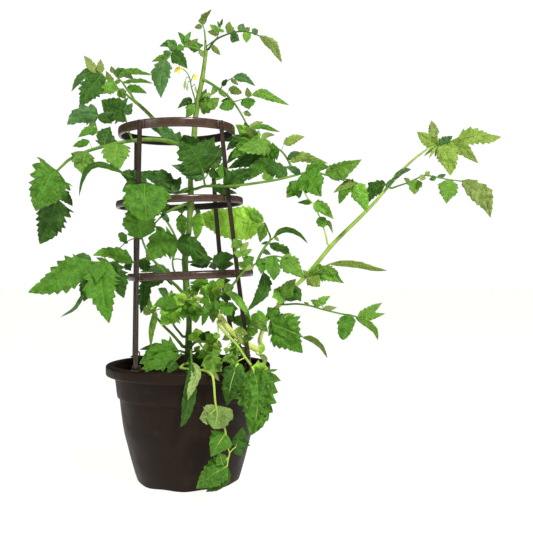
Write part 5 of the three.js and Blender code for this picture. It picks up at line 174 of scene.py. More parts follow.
        [[-103.4, 12, 710.2, 2.6], [-109.5, 18, 721.8, 2.3], [-119.6, 24, 735.4, 2], [-130.2, 30, 750.1, 1.7], [-140.9, 36, 761, 1.5], [-148.3, 40, 769.6, 1.2]],
    ], "blades": [
        ("ov", "b", 8.7, 8.7, 12, [[-147.3, 39.5, 768.5], [-129.3, 46.5, 771.1], [-111.1, 53.5, 760.1]], [0.39, -0.9, -0.18], [0.2, -0.95, -0.24], None),
        ("lan", "f", 7.4, 7.4, 12, [[-138.7, 34.5, 758.7], [-117.8, 24.5, 767.9], [-91.5, 14.5, 765.6], [-67.4, 4.5, 756.6]], [0.19, -0.49, -0.85], [-0.5, -0.59, -0.63], None),
        ("lan", "f", 6.7, 6.7, 12, [[-130.2, 30, 749.1], [-112.5, 38.7, 754.9], [-92.7, 47.3, 756.8], [-74.6, 56, 752.9]], [0.47, -0.37, -0.8], [0, -0.45, -0.89], None),
        ("ov", "m", 7.6, 7.6, 12, [[-119.6, 24, 736.4], [-99, 14, 733.3], [-78.6, 4, 722.7]], [-0.44, -0.88, -0.19], [-0.4, -0.91, 0.08], None),
        ("ov", "o", 4.8, 4.8, 12, [[-148.3, 40, 769.6], [-151.1, 42, 776.8], [-153.9, 44, 784]], [0.01, -0.96, 0.27], [0.01, -0.96, 0.27], None),
        ("sm", "b", 3.8, 3.8, 12, [[-145.1, 38, 765.3], [-140.2, 35, 770.3], [-135.3, 32, 775.4]], [-0.04, -0.88, -0.48], [-0.04, -0.88, -0.48], None),
        ("sm", "o", 3.8, 3.8, 12, [[-134.4, 32.2, 754.4], [-139.8, 30.4, 750.1], [-145.2, 28.5, 745.9]], [0.38, -0.92, -0.07], [0.38, -0.92, -0.07], None),
    ]},
    "leaf_ring_left": {"axes": [
        [[-94.9, -62.7, 624.2, 2], [-98, -60, 632.4, 1.8], [-102.6, -54, 642, 1.6], [-108, -46, 658.7, 1.5], [-113.5, -38, 677.4, 1.3]],
    ], "blades": [
        ("lob", "d", 25, 25, 12, [[-112.6, -38, 676.5], [-136, -20.7, 689.8], [-162, -6.4, 708.4]], [-0.54, -0.82, 0.17], [-0.35, -0.92, 0.19], [-113.5, -38, 677.4]),
        ("ov", "b", 8.2, 8.2, 12, [[-112.6, -38, 676.5], [-104.9, -43, 685.6], [-97.3, -48, 694.7]], [-0.04, -0.89, -0.45], [-0.04, -0.89, -0.45], [-113.5, -38, 677.4]),
        ("ov", "d", 7.3, 7.3, 12, [[-111.4, -40, 672.5], [-118.3, -47, 666.2], [-125.2, -54, 660]], [0.62, -0.77, 0.16], [0.63, -0.76, 0.17], [-111.9, -40.4, 671.7]),
    ]},
    "leaf_left_long": {"axes": [
        [[7.7, 0, 613, 4.6], [-1.3, -8, 613, 4.3], [-14, -20, 622.4, 4.1], [-39.3, -40, 627.8, 3.9], [-64.9, -52, 628.2, 3.7], [-85.4, -60, 625.7, 3.4], [-116.4, -68, 620, 3.2], [-149.2, -74, 611.1, 3], [-176.8, -78, 601.6, 2.8], [-203, -80, 588.9, 2.6], [-217.2, -80, 576.5, 2.3], [-226.1, -80, 567.6, 2.1]],
        [[-226.1, -80, 567.6, 1.8], [-228.8, -66, 549.5, 1.6], [-229.5, -60, 532.1, 1.4], [-231.3, -60, 514, 1.2]],
    ], "blades": [
        ("ov", "b", 11.2, 11.2, 12, [[-19, -25, 625.4], [-42.8, -12, 647.8], [-70.7, 1, 657.4]], [-0.27, -0.93, 0.24], [-0.42, -0.91, -0.03], [-19.8, -24.5, 623.7]),
        ("ov", "d", 8.4, 8.4, 12, [[-20.9, -25, 625.4], [-18.8, -10, 638.3], [-16.7, 5, 651.4]], [0.34, -0.64, 0.69], [0.34, -0.65, 0.68], None),
        ("lob", "d", 17, 17, 12, [[-144, -73.2, 613], [-141.5, -67.7, 629.9], [-137.5, -51.5, 651.4]], [0.26, -0.94, 0.21], [0.4, -0.75, 0.52], [-143.7, -72.5, 611.7]),
        ("ov", "l", 25.7, 21.2, 12, [[-121.6, -68.8, 618.6], [-118.6, -84.9, 593.6], [-111.9, -93, 570]], [0.17, -0.81, 0.57], [0.06, -0.95, 0.31], None),
        ("ov", "l", 19.4, 18.6, 12, [[-175, -78, 602], [-178.3, -87, 582.8], [-176.3, -96, 558.8]], [0.35, -0.87, 0.34], [0.19, -0.91, 0.36], None),
        ("ov", "m", 6.7, 6.7, 12, [[-170.1, -76, 621.5], [-186.2, -70, 617.5], [-202.4, -64, 613.4]], [-0.27, -0.92, -0.29], [-0.27, -0.92, -0.29], [-163.4, -76.2, 606.6]),
        ("lob", "m", 32.2, 39.4, 12, [[-227, -80, 567.6], [-234.5, -95.2, 555.4], [-244.9, -105.2, 526.4], [-254.9, -110, 494.7]], [0.57, -0.62, 0.53], [0.11, -0.99, 0.1], [-226.1, -79.9, 567.5]),
        ("lob", "d", 27.6, 31.2, 12, [[-231.3, -60, 517.6], [-245.7, -53, 482], [-265.8, -46, 438.7]], [0.02, -0.98, -0.2], [0.02, -0.99, -0.17], None),
        ("lob", "d", 9.9, 9.9, 12, [[-229.3, -60.8, 533.8], [-216.6, -53.8, 523.5], [-206.5, -46.8, 507.8]], [0.37, -0.91, -0.17], [0.32, -0.93, -0.21], None),
        ("sm", "m", 3.1, 3.1, 12, [[-192.5, -79.2, 594.4], [-195.8, -84.3, 596.4], [-199.3, -88.1, 598.5]], [0.69, -0.59, -0.41], [0.57, -0.75, -0.34], None),
    ]},
    "leaf_left_up": {"axes": [
        [[-149.2, -74, 611.1, 2], [-151.4, -70, 618.5, 1.8], [-155.7, -64, 628.7, 1.7], [-160.4, -56, 644.3, 1.6], [-164.9, -50, 661.6, 1.4], [-159.9, -48, 671.1, 1.3]],
    ], "blades": [
        ("lob", "b", 18.6, 18.6, 12, [[-159.9, -48, 671.1], [-184.2, -61, 671.4], [-209.8, -74, 651.2]], [0.48, -0.88, 0.05], [0.29, -0.93, 0.21], None),
        ("lan", "b", 4.1, 4.1, 12, [[-159.9, -48, 672], [-147.2, -39, 675.9], [-134.2, -30, 679.8]], [0.59, -0.8, -0.08], [0.59, -0.81, -0.08], [-159.9, -48, 671.1]),
        ("ov", "d", 6.4, 6.4, 12, [[-159.9, -48.2, 670.1], [-148, -41.5, 664.9], [-136.3, -33.9, 659.9]], [0.39, -0.89, -0.26], [0.44, -0.85, -0.28], None),
        ("sm", "o", 3.3, 3.3, 12, [[-163.9, -52.2, 655.8], [-169.6, -54.2, 653.7], [-175.4, -56.2, 651.5]], [0.36, -0.93, -0.11], [0.36, -0.93, -0.11], None),
        ("ov", "m", 8.1, 8.1, 12, [[-159.9, -57, 642.4], [-176.1, -65, 641.1], [-190.4, -73, 628.2]], [0.43, -0.89, -0.16], [0.45, -0.89, 0.06], None),
    ]},
    "leaf_center_front": {"axes": [
        [[35.5, -44.1, 543.9, 2.2], [33.4, -47, 549.2, 1.9], [32.1, -54, 561.5, 1.7], [30.4, -60, 578.9, 1.4]],
        [[32.8, -51, 555.5, 1.3], [39.8, -48, 565.8, 1.1], [46.8, -44, 577.1, 0.9]],
    ], "blades": [
        ("lob", "d", 38.1, 34.4, 12, [[31.3, -55.5, 566.8], [23.3, -68, 590.5], [9.7, -75.4, 610.9], [-1.7, -77.5, 632]], [0.34, -0.87, -0.36], [0.2, -0.98, 0.03], None),
        ("ov", "b", 12.6, 12.6, 5, [[32.9, -52.2, 558.1], [8.5, -63.2, 569.5], [-23.4, -74.2, 579]], [0.32, -0.92, -0.23], [0.27, -0.95, -0.16], None),
        ("ov", "d", 11.9, 11.9, 12, [[46.8, -44, 576.2], [53.3, -32, 598.7], [64.6, -20, 619.7]], [0.22, -0.88, 0.41], [0.34, -0.89, 0.32], [46.1, -44.4, 576]),
        ("ov", "o", 5.5, 5.5, 12, [[39.8, -48, 565.8], [35.8, -37, 578.4], [31.8, -26, 591.2]], [-0.14, -0.77, 0.62], [-0.14, -0.77, 0.62], None),
        ("ov", "d", 7.2, 7.2, 12, [[42.4, -46.5, 569.6], [52.4, -53.5, 563.8], [62.3, -60.5, 558.1]], [-0.49, -0.85, 0.19], [-0.49, -0.85, 0.19], [42.6, -46.5, 570.2]),
        ("ov", "h", 6.4, 6.4, 12, [[46.8, -44, 577.1], [49.3, -48, 583.9], [51.8, -52, 590.7]], [-0.06, -0.87, -0.49], [-0.06, -0.87, -0.49], None),
    ]},
    "leaf_right_long": {"axes": [
        [[3.8, 0, 542.3, 2.9], [14.5, -12, 541.8, 2.8], [23.4, -25, 543.4, 2.7], [33.9, -42, 544, 2.6], [59.4, -72, 541.7, 2.5], [85.5, -98, 539.3, 2.4], [117.3, -108, 541.9, 2.3], [152.1, -108, 547.1, 2.2], [178.3, -104, 552.7, 2.1], [204.8, -98, 560.4, 2], [227.7, -96, 565, 1.8], [250.7, -94, 559, 1.7], [284.5, -90, 552.4, 1.6], [306.1, -86, 545.7, 1.5]],
        [[41.8, -50, 543.8, 1.4], [50.2, -40, 552, 1.2], [53.6, -36, 556.1, 0.9]],
    ], "blades": [
        ("ov", "d", 10, 10, 12, [[49.7, -60.8, 542.8], [69.1, -53.1, 536.3], [92.7, -54.3, 529.8]], [0.17, -0.8, -0.57], [-0.2, -0.87, -0.45], [48.4, -59.7, 542.8]),
        ("ov", "d", 15.8, 15.8, 12, [[72.5, -85, 540.5], [96.1, -100.5, 554.8], [130.3, -104.8, 571.8]], [-0.16, -0.75, -0.64], [0.14, -0.89, -0.43], None),
        ("ov", "d", 7.9, 7.9, 12, [[96.1, -101.8, 539], [83.3, -88.7, 556.9], [70.7, -83, 574.4]], [-0.33, -0.85, 0.41], [-0.15, -0.98, 0.16], [94.5, -102.5, 539.6]),
        ("ov", "m", 9.3, 9.3, 12, [[53.6, -36, 556.1], [61.3, -11, 575.4], [65.6, 14, 597.1]], [0.45, -0.63, 0.63], [0.25, -0.66, 0.71], None),
        ("lob", "l", 10.6, 10.6, 12, [[152.1, -108, 547.1], [148.6, -92.7, 559.2], [141.6, -81.7, 572.8]], [-0.24, -0.61, 0.75], [-0.32, -0.83, 0.45], None),
        ("lob", "d", 12.7, 12.7, 12, [[180.1, -104, 552.7], [159.2, -95.2, 573], [132.7, -82.2, 590.4]], [-0.07, -0.95, 0.31], [-0.25, -0.91, 0.33], [179.5, -102.8, 554]),
        ("ov", "b", 6, 6, 12, [[204.8, -98, 560.4], [191.6, -125.2, 566], [177.8, -127.9, 570]], [0.69, -0.41, -0.59], [-0.06, -0.99, -0.11], None),
        ("ov", "m", 23.5, 23.5, 18, [[211.8, -97.5, 562.2], [225.1, -110.5, 543.4], [240.7, -123.5, 518.8]], [-0.39, -0.86, 0.34], [-0.31, -0.91, 0.28], None),
        ("ov", "m", 10.6, 10.6, 12, [[215.3, -97, 563.1], [235.2, -88, 573.8], [258.9, -79, 574.8]], [0.35, -0.93, 0.13], [0.35, -0.93, -0.13], None),
        ("ov", "l", 21.6, 10.8, 20, [[250.7, -94, 562.5], [277.4, -109, 572.2], [309.6, -124, 582.5]], [-0.3, -0.83, -0.47], [-0.25, -0.86, -0.44], [250.7, -94, 559]),
        ("lan", "o", 8.1, 8.1, 12, [[304.2, -86.5, 545.7], [285.4, -98.1, 541.1], [262.8, -106.4, 526.3]], [0.41, -0.77, 0.5], [-0.08, -0.85, 0.53], None),
        ("lan", "f", 9.8, 9.8, 12, [[297.1, -87.5, 543.8], [283.4, -82.5, 530.1], [275, -77.5, 509.2]], [-0.45, -0.88, 0.16], [-0.51, -0.86, -0.02], [298, -87.6, 548.4]),
        ("ov", "f", 14.1, 14.1, 12, [[304.2, -86.5, 544.8], [312.3, -93.5, 522.1], [322.8, -100.5, 492.7]], [-0.23, -0.95, 0.22], [-0.2, -0.97, 0.15], [304, -86.4, 546.4]),
        ("sm", "m", 2.6, 2.6, 12, [[297.1, -87.5, 547.4], [297, -92.4, 549.9], [297, -96.3, 552.6]], [-0.17, -0.44, -0.88], [-0.17, -0.58, -0.8], [298, -87.6, 548.4]),
    ]},
    "leaf_right_upper": {"axes": [
        [[200.5, -98.8, 559.2, 2.2], [198, -92, 564, 2.1], [189.5, -80, 576.5, 2], [184.6, -66, 588.9, 1.9], [177.7, -52, 601.5, 1.8], [170.6, -40, 610.4, 1.7], [156.1, -24, 620.9, 1.6], [137.6, -8, 632.6, 1.5], [122.5, 4, 642.8, 1.4]],
    ], "blades": [
        ("lob", "m", 17.9, 17.9, 5, [[137.6, -8, 631.6], [109.7, -12.3, 623.6], [79.8, -6.9, 600.1]], [0.18, -0.98, 0.07], [-0.16, -0.99, -0.07], [137.8, -8.7, 632.9]),
        ("lob", "l", 16.1, 16.1, 12, [[156.1, -24, 620], [128.6, -37, 616.3], [94.3, -50, 610]], [0.42, -0.9, 0.16], [0.31, -0.93, 0.17], [156.4, -24.3, 620.8]),
        ("lob", "m", 16.2, 16.2, 12, [[168.8, -38, 610.7], [152.5, -25, 605.1], [130.2, -12, 590.1]], [-0.63, -0.78, -0.07], [-0.42, -0.9, -0.12], [169.5, -38.6, 611.4]),
        ("lob", "d", 9.7, 9.7, 12, [[126.3, 1, 638.6], [98.4, -6.3, 637.5], [65.7, -5.4, 632]], [0.29, -0.95, 0.11], [-0.08, -0.99, 0.09], [126.9, 0.5, 639.8]),
        ("ov", "h", 9.5, 9.5, 12, [[118.7, 4, 640.9], [101.5, 15, 655.9], [86.9, 26, 668.1]], [-0.4, -0.9, 0.19], [-0.47, -0.85, 0.22], [122.5, 4, 642.8]),
        ("ov", "o", 8.3, 8.3, 12, [[128.2, -0.5, 638.4], [117.3, -20, 646], [106.2, -19.1, 656.8]], [0.59, -0.5, -0.64], [-0.23, -0.97, 0.08], [128.3, -0.8, 639]),
        ("lan", "p", 5.6, 5.6, 12, [[137.6, -8, 633.5], [145.1, 7, 645.2], [162.2, 22, 647.5]], [0.42, -0.68, 0.6], [0.63, -0.76, -0.16], None),
        ("lan", "f", 4.7, 4.7, 12, [[130.1, -2, 637.2], [130.5, 5, 646.3], [130.9, 12, 655.4]], [0.05, -0.79, 0.61], [0.05, -0.79, 0.61], [130.2, -2.4, 637.8]),
        ("lob", "d", 13.4, 13.4, 12, [[145.1, -14, 598.2], [109.8, -16.1, 595.2], [73.4, -10.7, 580]], [0.08, -0.99, 0.14], [-0.2, -0.98, 0.06], [154.4, -22.4, 622.1]),
        ("ov", "m", 12.9, 12.9, 12, [[148.8, -22, 592.6], [126.6, -20.9, 577.9], [111.6, -12.8, 557.5]], [0.05, -0.99, -0.09], [-0.12, -0.94, -0.32], [159.4, -27.3, 618.7]),
        ("ov", "d", 9.3, 9.3, 12, [[107.3, 10, 641.9], [87.1, -5.1, 630.2], [69.5, 29.9, 619.1]], [0.67, -0.73, 0.15], [-0.57, -0.43, -0.7], [122.5, 4, 642.8]),
        ("ov", "d", 9.5, 9.5, 12, [[111.2, 6, 620.5], [88.2, 16, 611.5], [69.7, 26, 592.8]], [-0.3, -0.92, -0.26], [-0.14, -0.93, -0.34], [124, 2.8, 641.8]),
        ("ov", "y", 8.3, 8.3, 12, [[177.9, -43, 621.9], [196.5, -32, 631.7], [216.3, -21, 638]], [0.47, -0.88, 0.1], [0.49, -0.87, -0.02], [172.5, -42.6, 608.6]),
        ("sm", "b", 5.4, 5.4, 12, [[186.3, -67.8, 588.7], [193.3, -72.8, 597.9], [205.6, -77.8, 600.8]], [-0.17, -0.92, -0.35], [-0.33, -0.93, -0.19], [185.1, -67.4, 587.7]),
        ("ov", "y", 8.7, 8.7, 12, [[189.8, -71.2, 585.6], [209.9, -60.6, 595.9], [233.9, -49.9, 590], [258.3, -39.2, 585.9]], [0.55, -0.82, -0.18], [0.27, -0.81, -0.52], [186.5, -71.7, 583.9]),
    ]},
    "leaf_mid_left": {"axes": [
        [[4, 0, 537.9, 3], [-1.9, -8, 537.5, 2.9], [-9.9, -24, 535.2, 2.7], [-20.3, -46, 531.4, 2.5], [-32.7, -64, 535.3, 2.3], [-48.5, -80, 540.1, 2.1], [-65.1, -88, 545.5, 1.9], [-84.2, -90, 553.3, 1.7], [-103.6, -90, 560.3, 1.5]],
        [[-29.6, -60, 534.2, 1.9], [-40.9, -84, 538, 1.7], [-53.4, -108, 540.1, 1.6], [-63.1, -119, 540.8, 1.4]],
    ], "blades": [
        ("ov", "d", 20, 15, 12, [[-20.3, -46, 532.3], [-47.4, -48, 555.8], [-85.2, -50, 569.2]], [0.34, -0.9, 0.28], [0.15, -0.93, 0.34], None),
        ("ov", "b", 8.2, 8.2, 12, [[-23.5, -50.5, 532.9], [-17.4, -39.5, 547.5], [-11.3, -28.5, 562.4]], [0.37, -0.81, 0.45], [0.37, -0.81, 0.45], None),
        ("rnd", "m", 33.8, 38.9, 8, [[-64, -119, 540.8], [-60.2, -150, 517.5], [-54.9, -157, 474.1]], [0.15, -0.5, 0.85], [0.13, -0.99, 0.1], [-63.1, -119, 540.8]),
        ("ov", "d", 13.2, 15.1, 12, [[-66.8, -88.2, 547.3], [-92.3, -83.4, 558.4], [-113.9, -81.7, 565.7]], [-0.03, -0.93, 0.36], [0.04, -0.95, 0.3], [-67.2, -88.1, 546.3]),
        ("nar", "d", 7.9, 7.9, 12, [[-101.8, -90, 559.8], [-125.7, -94.4, 570.4], [-147.6, -98.7, 576.1], [-164.2, -103.1, 568.5], [-174.6, -107.5, 547.1], [-179.7, -111.9, 519.8]], [0.42, -0.52, 0.75], [-0.68, -0.68, 0.26], None),
        ("ov", "b", 6.2, 6.2, 12, [[-80.7, -89.8, 555.1], [-95.4, -75.9, 548.5], [-108.4, -72.4, 540.8]], [-0.52, -0.71, -0.48], [-0.03, -0.97, -0.22], [-82.2, -89.9, 552.5]),
        ("sm", "f", 3.2, 3.2, 12, [[-13, -29.5, 534.1], [-4, -36.5, 537.9], [4.9, -43.5, 541.7]], [-0.47, -0.8, -0.37], [-0.47, -0.8, -0.37], [-11.9, -30, 533.7]),
    ]},
    "leaf_mid_pair": {"axes": [
        [[4, 0, 514.4, 3], [-4, -9, 514.1, 2.9], [-15, -28, 508.1, 2.7], [-29.4, -46, 499.6, 2.5], [-41.5, -58, 489.8, 2.3], [-35.5, -56, 481.8, 2.2], [-27.4, -48, 467.7, 2], [-20.8, -42, 453.4, 1.8], [-15.8, -38, 439.8, 1.6]],
        [[-41.5, -58, 489.8, 1.8], [-50.1, -68, 479.4, 1.6], [-60.9, -80, 464.6, 1.4], [-69.5, -90, 452.7, 1.3]],
        [[-41.5, -58, 489.8, 1.5], [-46, -72, 495.3, 1.3], [-48.2, -82, 505.3, 1.2]],
    ], "blades": [
        ("lob", "m", 28.1, 28.1, 6, [[-17.5, -39, 442.5], [-46.1, -50.9, 436.8], [-68.8, -62.8, 407.8]], [0.34, -0.9, 0.26], [0.05, -0.95, 0.32], None),
        ("ov", "d", 18.5, 18.5, 12, [[-18.4, -38.5, 439.8], [10.1, -41.5, 433.4], [43.2, -44.5, 406.9]], [-0.13, -0.98, -0.16], [-0.13, -0.99, -0.05], [-16.3, -38.4, 441.2]),
        ("sm", "b", 5.4, 5.4, 12, [[-41.8, -63.2, 494], [-34.6, -70.2, 485.6], [-27.5, -77.2, 477.2]], [-0.29, -0.84, 0.46], [-0.29, -0.84, 0.46], [-43.4, -63.8, 491.8]),
        ("ov", "d", 9.6, 9.6, 12, [[-47.5, -80.8, 503.6], [-51.5, -99.8, 493.6], [-55.4, -118.8, 483.8]], [0.58, -0.47, 0.66], [0.59, -0.46, 0.67], [-47.8, -80.1, 503.2]),
        ("ov", "d", 8, 8, 12, [[-44, -73.2, 497], [-35.5, -77.2, 503], [-27, -81.2, 508.9]], [-0.21, -0.92, -0.32], [-0.21, -0.92, -0.32], [-46.3, -73.2, 496.1]),
    ]},
    "leaf_left_low": {"axes": [
        [[-3, 0, 350.2, 3.4], [-10.7, -7, 350, 3.2], [-18.9, -26, 360.9, 3], [-29.2, -48, 373.3, 2.7], [-39.1, -70, 389.9, 2.5], [-50, -82, 404.2, 2.3], [-59.5, -90, 415.7, 2.1], [-68.1, -97, 434.1, 1.9], [-72.6, -99, 448.1, 1.6]],
        [[-60.1, -86, 414.8, 2.1], [-76, -74, 410.5, 1.9], [-94.5, -70, 405.1, 1.8], [-114.6, -78, 406, 1.6], [-133.2, -92, 405.1, 1.5], [-144.8, -104, 406, 1.3], [-159.7, -108, 406, 1.2]],
        [[-72.5, -97, 445.5, 1.2], [-83.4, -84, 448.5, 1.1], [-100, -80, 443.3, 0.9], [-116, -80, 430, 0.8]],
    ], "blades": [
        ("rnd", "m", 24.9, 24.9, 8, [[-72.6, -99, 448.9], [-72.1, -128, 474.7], [-72.8, -129, 507.2]], [0.22, -0.59, -0.78], [0.15, -0.99, 0.08], [-72.6, -99, 448.1]),
        ("sm", "m", 7.1, 7.1, 12, [[-103.5, -80, 441.5], [-112.3, -76, 452.3], [-119.2, -72, 452.4]], [-0.04, -0.96, 0.28], [-0.48, -0.86, -0.17], [-103, -80, 440.8]),
        ("sm", "m", 2.7, 2.7, 12, [[-100, -80, 442.4], [-103.5, -83.1, 440.6], [-106.9, -86, 438.7]], [0.59, -0.78, 0.18], [0.59, -0.79, 0.18], [-100, -80, 443.3]),
        ("ov", "f", 13.7, 11.8, 12, [[-94.5, -70, 406], [-118.5, -76, 417.6], [-142.2, -82, 422], [-160.5, -88, 417.5]], [0.39, -0.85, 0.35], [0.17, -0.89, 0.43], [-94.3, -70, 405.2]),
        ("lob", "m", 26.3, 26.3, 15, [[-160.5, -108, 406], [-187.2, -116.7, 388.7], [-223, -125.3, 369.9], [-260.9, -134, 353.9]], [0.19, -0.96, 0.2], [0.15, -0.97, 0.17], [-159.7, -108, 406]),
        ("ov", "b", 6.1, 6.1, 12, [[-159.7, -108, 406.9], [-175, -102, 416.5], [-195.6, -96, 413.9]], [-0.16, -0.94, 0.3], [-0.25, -0.96, -0.11], [-159.7, -108, 406]),
        ("lob", "d", 20.2, 20.2, 12, [[-156.4, -107, 406], [-165.1, -99, 374.5], [-175.7, -91, 336.4]], [0.14, -0.95, -0.29], [0.15, -0.96, -0.24], None),
        ("lob", "m", 27.7, 27.7, 18, [[-134.6, -93.5, 406], [-141.6, -111.1, 374.7], [-135.3, -120.8, 340.4], [-125.5, -122.6, 300.8]], [0.33, -0.85, 0.42], [0.19, -0.98, 0.07], [-134.7, -93.5, 405.2]),
        ("lob", "d", 20.2, 20.2, 12, [[-125.4, -86.8, 406], [-119.4, -80.8, 375.8], [-108, -74.8, 341.8]], [-0.04, -0.98, -0.2], [-0.02, -0.98, -0.18], [-126.3, -86.3, 405.4]),
        ("ov", "d", 7.2, 7.2, 12, [[-104.6, -74, 404.2], [-101.7, -65, 397], [-98.7, -56, 389.7]], [0.49, -0.64, -0.6], [0.48, -0.64, -0.59], [-104.5, -72.9, 405.3]),
        ("ov", "m", 4.4, 4.4, 12, [[-133.2, -92, 405.1], [-143.2, -94.8, 409.5], [-152, -102.9, 413.9]], [0.2, -0.98, 0], [0.64, -0.74, -0.21], None),
        ("ov", "m", 13.9, 13.9, 5, [[-148.1, -105, 406], [-146.9, -114.8, 388.7], [-146.1, -123.2, 371.5]], [0.2, -0.84, 0.5], [0.2, -0.88, 0.43], None),
        ("ov", "d", 10.8, 10.8, 12, [[-74, -75.5, 410.5], [-73, -58.6, 398.8], [-66.4, -41.5, 391.4]], [0.27, -0.57, -0.78], [0.74, -0.5, -0.45], None),
        ("nar", "b", 4, 4, 12, [[-161.4, -108, 365.9], [-177.5, -106, 341.5], [-190.2, -104, 323.9], [-214.3, -102, 309.8]], [-0.33, -0.93, 0.14], [-0.27, -0.89, 0.36], [-159.7, -108, 406]),
    ]},
    "leaf_behind_stem": {"axes": [
        [[3.7, 0, 507.4, 2], [9.6, 6, 507.6, 1.8], [15.7, 22, 497.3, 1.6], [16.6, 34, 486.5, 1.4]],
    ], "blades": [
        ("ov", "h", 11.5, 11.5, 12, [[15.9, 20, 499.1], [14.1, 30, 474.8], [10.4, 40, 448.3]], [0.07, -0.92, -0.39], [0.04, -0.93, -0.36], [15, 20, 498.6]),
        ("lan", "g", 5.8, 5.8, 12, [[16.8, 32.5, 488.3], [21.3, 47.5, 482.4], [26, 62.5, 476.3]], [0.59, -0.45, -0.67], [0.59, -0.46, -0.67], None),
        ("ov", "d", 5.7, 5.7, 12, [[12.6, 14, 503.4], [15.9, 31.6, 502.1], [19.8, 42.2, 500.4]], [0.88, -0.18, -0.44], [0.81, -0.41, -0.41], [12.5, 13.6, 502.7]),
    ]},
    "leaf_behind_left": {"axes": [
        [[3.6, 0, 505.6, 2], [-5.4, 5, 505.7, 1.8], [-14.1, 16, 498.8, 1.6], [-18, 26, 488, 1.4]],
    ], "blades": [
        ("ov", "h", 10.5, 10.5, 12, [[-16.2, 18.5, 496.1], [-15.6, 30.5, 474.8], [-13, 42.5, 452.2]], [0.12, -0.86, -0.49], [0.16, -0.88, -0.44], [-15.1, 18.7, 495.9]),
        ("ov", "m", 6.6, 6.6, 12, [[-9.7, 10.5, 502.3], [-18.3, 20.5, 507.2], [-27, 30.5, 512.1]], [-0.62, -0.7, 0.35], [-0.62, -0.71, 0.34], None),
    ]},
    "leaf_behind_low": {"axes": [
        [[-6.7, 0, 405.2, 2.2], [3, 6, 406, 2.1], [11.8, 24, 404.1, 1.9], [25.8, 40, 405, 1.7], [40.2, 54, 404.1, 1.6], [51.4, 62, 400.1, 1.4]],
    ], "blades": [
        ("ov", "d", 6.2, 6.2, 12, [[25.8, 40, 406], [11.3, 51.6, 406.4], [-3.4, 64.1, 406.8]], [-0.62, -0.78, 0.02], [-0.65, -0.76, 0.02], [25.8, 40, 405]),
        ("ov", "d", 11.4, 11.4, 12, [[29.4, 43.5, 405], [25.4, 19.9, 411.7], [46.8, 11.6, 411.7]], [0.73, -0.37, -0.58], [-0.25, -0.97, 0.01], None),
        ("ov", "d", 12.7, 12.7, 12, [[42.1, 55, 404.1], [63, 64, 413.8], [84.1, 73, 417.8]], [0.33, -0.93, 0.13], [0.39, -0.92, 0.04], None),
        ("ov", "d", 8.8, 8.8, 12, [[36.6, 50.5, 406], [16.6, 57.9, 402.5], [-4.4, 64.4, 400.1]], [-0.34, -0.94, -0.08], [-0.29, -0.96, -0.04], [36.1, 50.3, 404.6]),
        ("ov", "m", 6.7, 6.7, 12, [[20.5, 34, 405], [9.2, 43, 412.3], [-2.3, 52, 419.6]], [-0.44, -0.83, 0.35], [-0.43, -0.83, 0.34], None),
        ("ov", "m", 10.8, 10.8, 12, [[47.7, 59, 401.1], [64.3, 77, 401.6], [81.3, 95, 402]], [0.74, -0.68, 0.02], [0.73, -0.69, 0.02], None),
        ("ov", "d", 8.8, 8.8, 12, [[40.2, 54, 404.1], [42.3, 67.2, 397.2], [44.4, 80.2, 390.2]], [0.37, -0.47, -0.8], [0.37, -0.49, -0.79], None),
    ]},
    "leaf_mid_right_back": {"axes": [
        [[130.6, -123.8, 404.9, 2.6], [129.6, -120, 406, 2.4], [133.8, -102, 416.5, 2.3], [142.4, -66, 432, 2.1], [152.4, -32, 445.5, 2], [152.6, 0, 454.7, 1.8], [148.9, 44, 465.8, 1.7], [145, 92, 478.6, 1.6], [141.9, 130, 485.3, 1.4]],
        [[152.4, -30, 445.5, 1.4], [157, -33, 448.5, 1.2], [160.6, -38, 453.5, 0.9]],
    ], "blades": [
        ("rnd", "g", 30, 31.1, 4, [[136.8, 130, 482.3], [106.1, 138.7, 485.8], [58.6, 147.3, 489.3], [3.4, 156, 498]], [-0.27, -0.95, 0.12], [-0.13, -0.98, 0.12], [141.9, 130, 485.3]),
        ("ov", "l", 10.1, 10.1, 12, [[141, 111, 480.4], [136.9, 116, 463], [132.8, 121, 445.5]], [-0.05, -0.96, -0.27], [-0.05, -0.96, -0.26], [143.4, 111.6, 482.3]),
        ("ov", "f", 9.2, 9.2, 12, [[138.9, 130, 489.4], [122.6, 133, 501.3], [106.2, 136, 513.2]], [-0.14, -0.99, 0.06], [-0.14, -0.99, 0.05], [141.9, 130, 485.3]),
        ("nar", "m", 7, 7, 12, [[160.6, -37.4, 452.6], [172.3, -46.9, 462.7], [188.4, -56.4, 464.1], [206.1, -65.9, 455.3], [219.9, -75.4, 439]], [0.26, -0.53, -0.81], [-0.77, -0.55, -0.33], [160.1, -37.5, 453.1]),
        ("ov", "y", 3.1, 3.1, 12, [[160.3, -37.4, 452.6], [165, -41.4, 447.9], [169.6, -45.4, 443.3]], [-0.39, -0.86, 0.34], [-0.39, -0.85, 0.34], None),
        ("ov", "m", 10.1, 10.1, 12, [[152.4, -40.5, 438.8], [171.7, -32.5, 431.7], [182.9, -24.5, 424.4], [187.7, -16.5, 411.6]], [0.07, -0.75, -0.65], [-0.45, -0.7, -0.56], [150.1, -42, 441.8]),
        ("nar", "d", 2.7, 2.7, 12, [[149.6, -40.5, 442.5], [142.8, -44, 440.6], [136, -51.9, 438.6]], [0.37, -0.92, 0.08], [0.75, -0.64, 0.18], [150.1, -42, 441.8]),
        ("nar", "d", 2.7, 2.7, 12, [[154.2, -36.2, 440.8], [154.7, -42.2, 435.2], [155.1, -48.2, 429.6]], [-0.07, -0.68, 0.73], [-0.07, -0.68, 0.73], [151.8, -35.3, 444.3]),
        ("ov", "b", 4.5, 4.5, 12, [[138, -79.5, 427.3], [146, -71.5, 423.4], [154.1, -63.5, 419.5]], [0.59, -0.74, -0.31], [0.59, -0.75, -0.3], [138.6, -81.1, 425.7]),
    ]},
    "leaf_mid_right_light": {"axes": [
